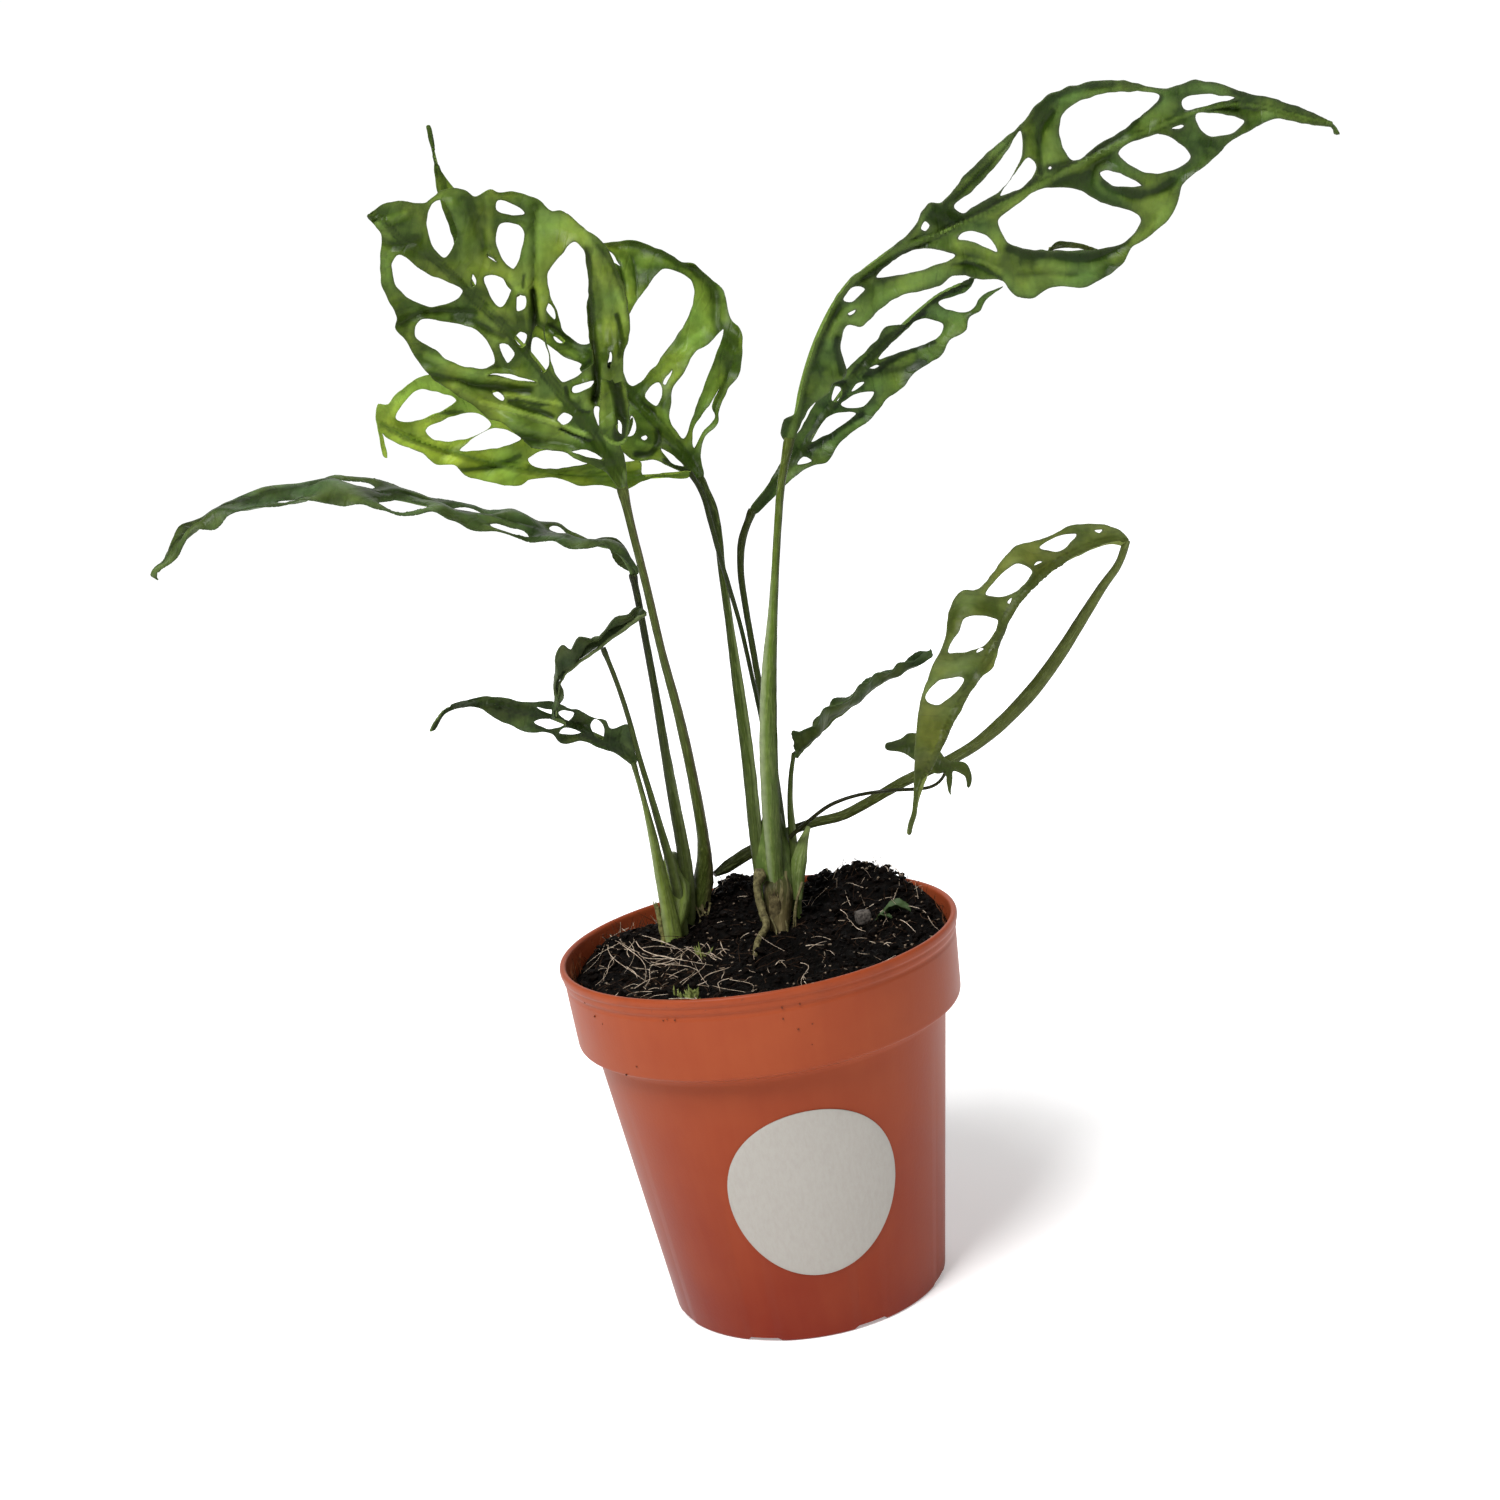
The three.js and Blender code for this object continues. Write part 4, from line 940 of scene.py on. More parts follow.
@dataclass
class FacingBlade(Blade):
    """A blade that turns its face to the front: base and tip are points (x, z, back)."""

    base: Station = (0, 0, 0)
    tip: Station = (0, 0, 0)
    roll: float = 0.0
    cup: float = 0.0
    sag: float = 0.0
    wave: float = 1.2

    def bearings(self, x: float, z: float) -> tuple[float, float, float]:
        """Measures a point along and across the line from base to tip.

        Args:
            x: place across the drawing.
            z: height in the drawing.

        Returns:
            Distance along, distance across, and the share of the length.
        """
        reach_x, reach_z = self.tip[0] - self.base[0], self.tip[1] - self.base[1]
        length = math.hypot(reach_x, reach_z)
        ahead, aside = x - self.base[0], z - self.base[1]
        along = (ahead * reach_x + aside * reach_z) / length
        return along, (ahead * reach_z - aside * reach_x) / length, along / length

    def surface(self, x: float, y: float, lift: float) -> Vector:
        """Bends a point of the drawing to its place in space.

        Args:
            x: place across the drawing.
            y: height in the drawing.
            lift: how far the point stands off the surface, to the front.

        Returns:
            The point in space.
        """
        along, across, share = self.bearings(x, y)
        fold = math.hypot(across, 3) - 3
        ripple = self.wave * math.sin(along / 5) * min(1, abs(across) / 20)
        back = (mix(self.base[2], self.tip[2], share) + self.sag * 4 * share * (1 - share)
                + self.roll * across + self.cup * fold + ripple)
        return seen(x, y, back - lift)

    def chevron(self, x: float, y: float) -> float:
        """Measures across the lateral veins, which lean to the tip."""
        along, across, _ = self.bearings(x, y)
        return along - 0.6 * abs(across)


@dataclass
class EdgeOnBlade(Blade):
    """A blade seen edge on: three rails of points (x, z, back), from base to tip.

    Its drawing runs along the midrib in x and across it in y, from the near rail to the far one. Each
    of its slits is (place along the midrib from 0 to 1, place across it from -1 to 1, half its length
    as a share of the blade's, half its breadth as a share of the half width).
    """

    near: list[Station] = field(default_factory=list)
    middle: list[Station] = field(default_factory=list)
    far: list[Station] = field(default_factory=list)
    slits: list[Station] = field(default_factory=list)
    half_width: float = 10.0
    waves: float = 0.09
    keel_drop: float = 0.4
    frill: float = 1.1
    upturned: bool = False

    def __post_init__(self) -> None:
        """Turns the rails into curves, and draws the outline, midrib and slits from them."""
        self.rails = [SmoothPath([seen(*point) for point in rail])
                      for rail in (self.near, self.middle, self.far)]
        self.span = self.rails[1].length()
        spots = [k / 30 for k in range(31)]
        low = [(s * self.span, -self.half_width * (1 - self.waves * (1 + math.sin(29 * s)))) for s in spots]
        self.outline = low + [(x, -y) for x, y in reversed(low)]
        self.midrib = [(s * self.span * 0.98, 0.0) for s in spots]
        self.holes = [self.oval(*slit) for slit in self.slits]

    def oval(self, along: float, across: float, half_length: float, half_breadth: float) -> Loop:
        """Draws a hole that leans to the tip.

        Args:
            along: place along the midrib, from 0 to 1.
            across: place across it, from -1 to 1.
            half_length: half its length, as a share of the blade's.
            half_breadth: half its breadth, as a share of the half width.

        Returns:
            The hole's points.
        """
        loop = []
        for k in range(10):
            angle = k / 10 * FULL_TURN
            reach = half_length * self.span * math.cos(angle)
            aside = half_breadth * self.half_width * math.sin(angle)
            place = along * self.span + reach + 0.5 * abs(across) * aside
            loop.append((place, across * self.half_width + aside))
        return loop

    def surface(self, x: float, y: float, lift: float) -> Vector:
        """Bends a point of the drawing to its place in space.

        Args:
            x: distance along the midrib.
            y: distance across it.
            lift: how far the point stands off the surface.

        Returns:
            The point in space.
        """
        share = min(1.0, max(0.0, x / self.span))
        centre = self.rails[1].at(share)
        out = self.rails[0 if y < 0 else 2].at(share) - centre
        place = centre + out * (abs(y) / self.half_width)
        normal = self.rails[1].heading(share).cross(out if y >= 0 else -out)
        return place if normal.length < 1e-6 else place + normal.normalized() * lift

    def chevron(self, x: float, y: float) -> float:
        """Measures across the lateral veins, which lean to the tip."""
        return x - 0.6 * abs(y)


@dataclass
class Petiole:
    """A leaf stalk, from the soil to its blade, as stations (x, z, back, width, depth)."""

    name: str
    skin: PetioleSkin
    route: list[Station]
    knee: float = 0.25
    channel: float = 0.0
    channel_angle: float = -0.5 * math.pi
    channel_end: float = 0.45
    flange: float = 0.0
    ridges: int = 0
    replaced: bool = True
    sides: int = 20
    step: float = 1.6
    overrun: float = 1.2

    def section(self, share: float, angle: float) -> float:
        """Shapes the stalk's section.

        Args:
            share: place along the stalk, from 0 to 1.
            angle: direction round it.

        Returns:
            What the radius is multiplied by.
        """
        scale = 1 + self.knee * bell(share - 0.985, 0.02)
        turn = math.remainder(angle - self.channel_angle, FULL_TURN)
        fade = 1 - smoothstep(self.channel_end - 0.12, self.channel_end + 0.12, share)
        scale -= self.channel * fade * bell(turn, 0.38)
        scale += 0.05 * math.sin(self.ridges * angle + 2 * share) if self.ridges else 0
        return scale + self.flange * fade * (bell(turn - 0.75, 0.2) + bell(turn + 0.75, 0.2))

    def build(self) -> Piece:
        """Builds and dresses the stalk.

        Returns:
            The piece.
        """
        centres = [seen(*station[:3]) for station in self.route]
        centres[-1] = centres[-1] + (centres[-1] - centres[-2]).normalized() * self.overrun
        sizes = [station[3:] for station in self.route]
        bm = bmesh.new()
        tube(bm, SmoothPath(centres), sizes, self.sides, self.step, self.section, 0.05)
        nodes = (self.name,) if self.replaced else ()
        return add_piece(f"{self.name}_stalk", bm, [self.skin.material()], nodes, 70)


def turned(profile: Loop, steps: int, rounding: float = 0.0) -> BMesh:
    """Turns a profile round the upright axis into a closed shape.

    Args:
        profile: points (radius, height), from axis to axis.
        steps: how many sides the shape has.
        rounding: how far the profile's corners are rounded.

    Returns:
        The shape.
    """
    bm = bmesh.new()
    verts = [bm.verts.new((radius, 0, height)) for radius, height in profile]
    for pair in zip(verts, verts[1:]):
        bm.edges.new(pair)
    if rounding:
        bmesh.ops.bevel(bm, geom=verts[1:-1], offset=rounding, offset_type="OFFSET", segments=2,
                        profile=0.5, affect="VERTICES", material=-1)
        bmesh.ops.delete(bm, geom=bm.faces[:], context="FACES_ONLY")
    bmesh.ops.spin(bm, geom=bm.verts[:] + bm.edges[:], cent=(0, 0, 0), axis=(0, 0, 1), dvec=(0, 0, 0),
                   angle=FULL_TURN, steps=steps, use_merge=True)
    bmesh.ops.remove_doubles(bm, verts=bm.verts, dist=0.001)
    bmesh.ops.recalc_face_normals(bm, faces=bm.faces)
    return bm


@dataclass
class PotShell:
    """The round nursery pot, with its collar, lip, foot ring and drain holes."""

    plastic: PotPlastic = field(default_factory=PotPlastic)
    steps: int = 192
    profile: Loop = field(default_factory=lambda: [
        (0, 0), (12, 0), (12.6, 1.8), (37, 1.8), (37.5, 0), (41.3, 0), (41.8, 0.6), (53, 84),
        (53.6, 85.6), (57.2, 87.1), (57.8, 87.4), (58.05, 88.1), (58.95, 105.4), (58.75, 106.1),
        (58.8, 106.9), (59.3, 107.4), (59.45, 108.6), (59.35, 109.2), (59.9, 109.8), (60, 110.6),
        (59.95, 111.3), (59.6, 111.9), (58.8, 112), (58.2, 111.7), (57.95, 110.9), (56.6, 88.4),
        (51.6, 84.6), (40.82, 3.2), (0, 3.2)])
    rounding: float = 0.35
    holes: int = 8
    hole_radius: float = 3.0
    hole_circle: float = 26.0
    hole_middle: float = 2.5
    notches: int = 8
    notch_width: float = 9.0
    notch_depth: float = 1.2

    def build(self) -> Piece:
        """Builds and dresses the pot.

        Returns:
            The piece.
        """
        bm = turned(self.profile, self.steps, self.rounding)
        self.notch(bm)
        return add_piece("nursery_pot", self.drilled(bm), [self.plastic.material()], ("pot",), 35)

    def notch(self, bm: BMesh) -> None:
        """Lifts the foot ring's underside where its notches are."""
        sector = FULL_TURN / self.notches
        for vert in bm.verts:
            radius = math.hypot(vert.co.x, vert.co.y)
            turn = math.atan2(vert.co.y, vert.co.x) - 0.5 * sector
            aside = abs(math.remainder(turn, sector)) * radius
            if radius >= 36 and vert.co.z <= 1.7 and aside < self.notch_width / 2:
                vert.co.z = max(vert.co.z, self.notch_depth)

    def drilled(self, bm: BMesh) -> BMesh:
        """Cuts the drain holes through the floor.

        Args:
            bm: the pot, which is freed.

        Returns:
            The drilled pot.
        """
        drill = bmesh.new()
        for k in range(self.holes):
            # a little off the pot's own edges, so that no sliver is left
            angle = FULL_TURN * (k / self.holes + 0.002)
            place = Matrix.Translation((self.hole_circle * math.cos(angle),
                                        self.hole_circle * math.sin(angle), self.hole_middle))
            bmesh.ops.create_cone(drill, cap_ends=True, segments=32, radius1=self.hole_radius,
                                  radius2=self.hole_radius, depth=8, matrix=place)
        holder = in_scene("pot_blank", as_mesh("pot_blank", bm))
        cutter = in_scene("drill", as_mesh("drill", drill))
        cut = holder.modifiers.new("drill", "BOOLEAN")
        cut.operation = "DIFFERENCE"
        cut.solver = "EXACT"
        cut.object = cutter
        result = as_bmesh(holder)
        bpy.data.meshes.remove(cutter.data)
        bmesh.ops.remove_doubles(result, verts=result.verts, dist=0.02)
        bmesh.ops.dissolve_degenerate(result, edges=result.edges, dist=0.02)
        return result


@dataclass
class Sticker:
    """The bare round label, wrapped on the pot's tapered body."""

    paper: LabelPaper = field(default_factory=LabelPaper)
    radius: float = 25.4
    stretch: float = 1.03
    thickness: float = 0.35
    across: float = 5.6
    height: float = 47.0
    rings: int = 14

    def wall_radius(self, height: float) -> float:
        """Gives the radius of the pot's tapered body at a height."""
        return 41.8 + (53 - 41.8) / 84 * height

    def build(self) -> Piece:
        """Builds and dresses the label.

        Returns:
            The piece.
        """
        bm = bmesh.new()
        bmesh.ops.create_circle(bm, cap_ends=True, segments=120, radius=self.radius)
        for _ in range(1, self.rings):
            inner = max(bm.faces, key=lambda face: len(face.verts))
            bmesh.ops.inset_individual(bm, faces=[inner], thickness=self.radius / self.rings * 0.98, depth=0)
        top = bmesh.ops.extrude_face_region(bm, geom=bm.faces[:])["geom"]
        bmesh.ops.translate(bm, vec=(0, 0, self.thickness),
                            verts=[item for item in top if isinstance(item, bmesh.types.BMVert)])
        rims = [edge for edge in bm.edges
                if all(v.co.z > 0.1 and abs(v.co.xy.length - self.radius) < 1e-3 for v in edge.verts)]
        bmesh.ops.bevel(bm, geom=rims, offset=0.12, segments=2, profile=0.5, affect="EDGES", material=-1)
        bmesh.ops.recalc_face_normals(bm, faces=bm.faces)
        for vert in bm.verts:
            height = self.height + vert.co.y * self.stretch
            radius = self.wall_radius(height) + 0.02 + vert.co.z
            angle = (self.across + vert.co.x) / self.wall_radius(self.height)
            vert.co = (radius * math.sin(angle), -radius * math.cos(angle), height)
        return add_piece("round_sticker", bm, [self.paper.material()], ("label",), 40)


# each heap of the soil: its place, its rise and its spread
HEAPS = [(2, 30, 5, 22), (-4, 46, 10, 9), (41, 37, 12, 11), (52, 16, 6, 12), (24, 46, 6, 10),
         (-14, 33, 4, 7), (-42, 26, 5, 14)]


def soil_height(x: float, y: float) -> float:
    """Gives the smooth level of the soil, without its clods."""
    return 103 + sum(rise * math.exp(-((x - hx) ** 2 + (y - hy) ** 2) / (2 * spread ** 2))
                     for hx, hy, rise, spread in HEAPS)


def ground(x: float, y: float) -> float:
    """Gives the soil's surface, clods and all.

    Args:
        x: place across.
        y: place towards the back.

    Returns:
        The height there.
    """
    rough = noise.noise(Vector((x, y, 3.7)) / 7.5) * 1.6
    rough += noise.noise(Vector((x, y, 9.1)) / 3.1) * 1.1
    rough += noise.noise(Vector((x, y, 5.5)) / 1.3) * 1.1
    return soil_height(x, y) + rough


def add_crumb(bm: BMesh, size: float, place: Matrix, grain: float, stray: float) -> list[bmesh.types.BMVert]:
    """Adds one rough crumb.

    Args:
        bm: the mesh that gets it.
        size: its radius.
        place: its place, turn and shape.
        grain: how fine its lumps are.
        stray: how far they stand, as a share of its radius.

    Returns:
        Its vertices.
    """
    verts = bmesh.ops.create_icosphere(bm, subdivisions=1, radius=size, matrix=place)["verts"]
    for vert in verts:
        vert.co += noise.noise_vector(vert.co * grain) * size * stray
    return verts


@dataclass
class Strand:
    """A thin root, fibre or hair: its points, its radius at the thick end, and its material number."""

    points: list[Vector]
    radius: float
    material: int = 0


def strands_piece(name: str, strands: list[Strand], materials: list[Material]) -> Piece:
    """Makes one piece of many thin strands.

    Args:
        name: the piece's name.
        strands: the strands, in millimetres.
        materials: the piece's materials.

    Returns:
        The piece.
    """
    curve = bpy.data.curves.new(name, "CURVE")
    curve.dimensions = "3D"
    curve.bevel_depth = 1.0
    curve.bevel_resolution = 0
    curve.use_fill_caps = True
    for material in materials:
        curve.materials.append(material)
    for strand in strands:
        last = len(strand.points) - 1
        spline = curve.splines.new("POLY")
        spline.points.add(last)
        spline.material_index = strand.material
        for index, (point, place) in enumerate(zip(spline.points, strand.points)):
            point.co = (*place, 1)
            point.radius = strand.radius * (1 - 0.6 * (index / last) ** 2)
    bm = as_bmesh(in_scene(name, curve))
    bmesh.ops.remove_doubles(bm, verts=bm.verts, dist=0.0005)
    return add_piece(name, bm, materials)


@dataclass
class PottingSoil:
    """The peat in the pot: its clods, crumbs, fibres, and what grows or lies on it."""

    # nearly black, with wet glints between dull clods
    peat: GrittyFinish = GrittyFinish("damp peat, milled", "#000000", "#0E0906", 1.1, 0.5, 0.95, 0.6,
                                      0.42, 0.72, 0.06)
    # dull black specks, a shade browner than the peat
    crumb: GrittyFinish = GrittyFinish("peat crumbs and bark chips, milled", "#000000", "#120B07", 1.2, 0.5,
                                       0.95, 0.4, specular=0.06)
    # pale, dusty specks that catch the light
    chip: GrittyFinish = GrittyFinish("bleached bark and grit dust, crushed", "#3A2A1E", "#9A8A76", 0.8,
                                      depth_mm=0.2)
    # bleached threads, the brightest thing on the soil
    straw: GrittyFinish = GrittyFinish("dry sedge fibre, grown", "#94816B", "#EAD8C2", 2.0, 0.6, 0.8, 0.1)
    # dark threads that show only beside the bleached ones
    brown: GrittyFinish = GrittyFinish("dark peat fibre, grown", "#150C07", "#4A3524", 2.0, 0.6, 0.85, 0.1)
    # rust-red hairs on the pot's wall
    rust: GrittyFinish = GrittyFinish("rusty root hair, grown", "#3A1D10", "#8A5230", 2.0, 0.6, 0.85, 0.1)
    # dull red-brown grains on the plastic
    dust: GrittyFinish = GrittyFinish("peat dust, dried on", "#3E1C12", "#74402C", 0.6, 0.7, 0.9, 0.1)
    # grey, dull where it is split, with finer, paler grains
    stone: GrittyFinish = GrittyFinish("grey grit stone, split", "#2B2724", "#6A645E", 0.9, 0.6, 0.85, 0.15)
    # fresh yellow-green, a little moist
    moss: GrittyFinish = GrittyFinish("living moss, grown", "#4C5A28", "#98A05C", 1.5, 0.5, 0.7, 0.1)
    # dull green with a slight sheen
    weed: GrittyFinish = GrittyFinish("weed leaf, grown", "#2A3A1A", "#46583A", 2.5, 0.45, 0.6, 0.1)
    radius: float = 56.3
    rings: int = 60
    steps: int = 300
    crumbs: int = 5200
    lying: int = 420
    standing: int = 150
    hairs: int = 110
    seed: int = 7

    def build(self) -> list[Piece]:
        """Builds and dresses everything on the soil.

        Returns:
            The pieces.
        """
        self.random = random.Random(self.seed)
        return [self.body(), self.crumb_scatter(), self.fibres(), self.pebble(),
                self.moss_tuft("moss_tuft", seen(-17.6, 103, 6), 12, "seedling"),
                self.moss_tuft("moss_patch", Vector((-22, -26, 103)), 44), self.weed_leaves(),
                self.collar_specks()]

    def body(self) -> Piece:
        """Builds the solid soil with its clods.

        Returns:
            The piece.
        """
        outline = [(0, 3.5), (40.2, 3.5), (51.0, 84.7), (56.0, 88.5), (56.9, 100), (57.1, 103)]
        outline += [(57.1 * (1 - k / self.rings), 103) for k in range(1, self.rings + 1)]
        bm = turned(outline, self.steps)
        for vert in bm.verts:
            if vert.co.z > 102.9:
                x, y = vert.co.xy
                edge = 1 - smoothstep(53, 57, math.hypot(x, y))
                vert.co.z = mix(min(111.3, soil_height(x, y) - 1.0), ground(x, y), edge)
        return add_piece("potting_soil", bm, [self.peat.material()], ("soil",), 180)

    def spot(self, reach: float) -> Point:
        """Picks a place on the soil.

        Args:
            reach: how far from the middle it may lie.

        Returns:
            The place.
        """
        angle = self.random.uniform(0, FULL_TURN)
        distance = reach * math.sqrt(self.random.random())
        return distance * math.cos(angle), distance * math.sin(angle)

    def inside(self, x: float, y: float) -> Point:
        """Keeps a place within the soil."""
        share = (self.radius - 2) / max(math.hypot(x, y), self.radius - 2)
        return x * share, y * share

    def crumb_scatter(self) -> Piece:
        """Builds the loose crumbs, more of them on the heaps.

        Returns:
            The piece.
        """
        dice = self.random
        bm = bmesh.new()
        for _ in range(self.crumbs):
            x, y = self.spot(self.radius - 1.5)
            if dice.random() < 0.35:
                heap = dice.choice(HEAPS)
                x = heap[0] + dice.gauss(0, heap[3] * 0.8)
                y = heap[1] + dice.gauss(0, heap[3] * 0.8)
                if math.hypot(x, y) > self.radius - 1.5:
                    continue
            size = min(1.7, 0.3 * math.exp(abs(dice.gauss(0, 0.62))))
            turn = Matrix.Rotation(dice.uniform(0, 6.28), 4, "Z")
            tilt = Matrix.Rotation(dice.uniform(-0.7, 0.7), 4, "X")
            flat = Matrix.Diagonal((dice.uniform(0.8, 1.9), 1, dice.uniform(0.4, 0.95), 1))
            place = Matrix.Translation((x, y, ground(x, y) + size * 0.25)) @ turn @ tilt @ flat
            made = add_crumb(bm, size, place, 1.3, 0.35)
            if size < 0.5 and dice.random() < 0.15:
                for face in {face for vert in made for face in vert.link_faces}:
                    face.material_index = 1
        return add_piece("peat_crumbs", bm, [self.crumb.material(), self.chip.material()],
                         sharp_degrees=25)

    def strand(self, start: Vector, end: Vector, sag: float, clear: float) -> list[Vector]:
        """Draws a slightly bent strand that rests on the highest clods beneath it.

        Args:
            start: its thick end.
            end: its thin end.
            sag: how far its middle stands up.
            clear: how much of the clods' height it is lifted by, from 0 to 1.

        Returns:
            Its points.
        """
        side = Vector((start.y - end.y, end.x - start.x, 0))
        bend, wriggle = self.random.gauss(0, 0.1), self.random.gauss(0, 0.05)
        chain = []
        for share in (k / 8 for k in range(9)):
            arch = 4 * share * (1 - share)
            place = start.lerp(end, share) + side * (bend * arch + wriggle * math.sin(FULL_TURN * share))
            chain.append(place + Vector((0, 0, sag * arch)))
        rise = max(0.0, max(ground(point.x, point.y) - point.z for point in chain)) * clear
        return [point + Vector((0, 0, rise)) for point in chain]

    def fibres(self) -> Piece:
        """Builds the fibres and thin roots that lie or stand in the peat, and the hairs on the wall.

        Returns:
            The piece.
        """
        dice = self.random
        strands = self.pale_fibres()
        for _ in range(self.lying):
            x, y = self.spot(self.radius - 4)
            if dice.random() < 0.3:
                x, y = self.inside(dice.gauss(-28, 13), dice.gauss(-4, 16))
            angle, length = dice.uniform(0, 6.28), dice.uniform(2.5, 10)
            rise = dice.choice((0, 0, 0.1, 0.35))
            end_x, end_y = self.inside(x + length * math.cos(angle), y + length * math.sin(angle))
            start = Vector((x, y, ground(x, y) + 0.1))
            end = Vector((end_x, end_y, ground(end_x, end_y) + 0.2 + rise * length))
            number = 0 if dice.random() < 0.3 else 1
            chain = self.strand(start, end, dice.uniform(0, 0.6), 0.5)
            strands.append(Strand(chain, dice.uniform(0.05, 0.13), number))
        tufts = ((-4, 44, 8), (38, 36, 9), (28, 44, 8), (48, 22, 7), (-40, 34, 7), (-30, 40, 7))
        for _ in range(self.standing):
            tuft = dice.choice(tufts)
            x, y = self.inside(dice.gauss(tuft[0], tuft[2]), dice.gauss(tuft[1], tuft[2]))
            start = Vector((x, y, ground(x, y)))
            end = start + Vector((dice.gauss(0, 2), dice.gauss(0, 2), dice.uniform(1.5, 6)))
            strands.append(Strand(self.strand(start, end, 0.2, 0.0), 0.08, dice.choice((0, 1, 1))))
        # hairs that cling to the inside of the wall, most of them on the left
        for _ in range(self.hairs):
            angle = dice.choice((math.pi, math.pi, 0.35)) + dice.gauss(0, 0.45)
            x, y = 56.6 * math.cos(angle), 56.6 * math.sin(angle)
            lean = angle + dice.gauss(0, 0.07)
            top = Vector((56.8 * math.cos(lean), 56.8 * math.sin(lean), dice.uniform(107, 111.6)))
            chain = self.strand(Vector((x, y, soil_height(x, y) - 1)), top, 0.0, 0.0)
            strands.append(Strand(chain, 0.1, dice.choice((1, 2, 2))))
        finishes = [finish.material() for finish in (self.straw, self.brown, self.rust)]
        return strands_piece("peat_fibres", strands, finishes)

    def pale_fibres(self) -> list[Strand]:
        """Lays the pale fibres that stand out, in pairs.

        Returns:
            The strands.
        """
        ends = [(-41, 23, -30, 7), (-42, 18, -32, 5), (-31, 6, -25, 5), (-25, 0, -21, 17), (-21, -17, -20, 3),
                (-16, -22, -4, -35), (-18, -31, -8, -36), (-40, 12, -22, 6), (-48, 26, -36, -9),
                (-46, 11, -52, -1), (-56, 41, -57, 12), (-27, 7, -22, -4), (-15, -20, -12, -26),
                (46, 4, 51, -5), (15, -5, 21, 0), (-12, 43, -6, 38), (10, -20, 11, -33), (3, -9, 7, -11),
                (-11, 14, -12, -6), (-36, 16, -18, -2)]
        strands = []
        for line in [line for line in ends for _ in range(2)]:
            x, y, end_x, end_y = (value + self.random.gauss(0, 3.2) for value in line)
            start, end = self.inside(x, y), self.inside(end_x, end_y)
            chain = self.strand(Vector((*start, soil_height(*start) + 1.0)),
                                Vector((*end, soil_height(*end) + 0.6)), 0.5, 0.9)
            strands.append(Strand(chain, self.random.uniform(0.06, 0.13)))
        return strands

    def pebble(self) -> Piece:
        """Builds the small stone.

        Returns:
            The piece.
        """
        centre = seen(32, 112.5, 12)
        centre.z = soil_height(centre.x, centre.y) + 2.6 * 0.55
        bm = bmesh.new()
        bmesh.ops.create_icosphere(bm, subdivisions=4, radius=2.6)
        for vert in bm.verts:
            # the sides are split flat
            x, y, z = vert.co
            block = max(abs(x + 0.3 * y), abs(y - 0.3 * x), abs(z)) / 2.6
            vert.co *= (0.82 / block) ** 0.65 * (1 + 0.05 * noise.noise(vert.co * 1.4))
            vert.co = centre + vert.co * Vector((1.05, 0.9, 0.95))
        return add_piece("grit_pebble", bm, [self.stone.material()], ("pebble",), 180)

    def moss_tuft(self, name: str, root: Vector, blades: int, *replaced: str) -> Piece:
        """Builds a tuft of moss.

        Args:
            name: the piece's name.
            root: where it grows.
            blades: how many blades it has, of which the first stands tall.
            replaced: the CAD piece that it stands for, if any.

        Returns:
            The piece.
        """
        dice = self.random
        bm = bmesh.new()
        for k in range(blades):
            angle, reach = dice.uniform(0, 6.28), abs(dice.gauss(0, 2.2))
            x, y = root.x + reach * math.cos(angle), root.y + reach * math.sin(angle)
            base = Vector((x, y, ground(x, y) - 0.3))
            tip = base + Vector((dice.gauss(0, 1.1), dice.gauss(0, 1.1),
                                 dice.uniform(1.4, 3.2) if k else 4.6))
            path = SmoothPath([base, base.lerp(tip, 0.5) + Vector((dice.gauss(0, 0.3), 0, 0)), tip])
            tube(bm, path, [(0.5, 0.4), (0.7, 0.35), (0.12, 0.1)], 5, 1.0)
        return add_piece(name, bm, [self.moss.material()], replaced)

    def weed_leaves(self) -> Piece:
        """Builds the little weed leaves by the stone.

        Returns:
            The piece.
        """
        bm = bmesh.new()
        for x, y, turn, size in ((42.8, 10, -0.2, 1.25), (38.5, 8.5, 2.8, 0.6)):
            leaf = bmesh.new()
            bmesh.ops.create_grid(leaf, x_segments=12, y_segments=8, size=1)
            for vert in leaf.verts:
                share = (vert.co.x + 1) / 2
                wide = 2.6 * size * math.sin(math.pi * min(0.98, 0.04 + share * 0.93)) ** 0.7
                a, b = 9 * size * (share - 0.5), wide * vert.co.y
                lift = 0.25 * b * b / size - 0.10 * (a ** 2) / size + 0.2 * math.sin(a * 2.4)
                vert.co = (x + a * math.cos(turn) - b * math.sin(turn),
                           y + a * math.sin(turn) + b * math.cos(turn), soil_height(x, y) + 1.6 + lift)
            merge_in(bm, thickened(leaf, 0.3))
        return add_piece("weed_leaves", bm, [self.weed.material()])

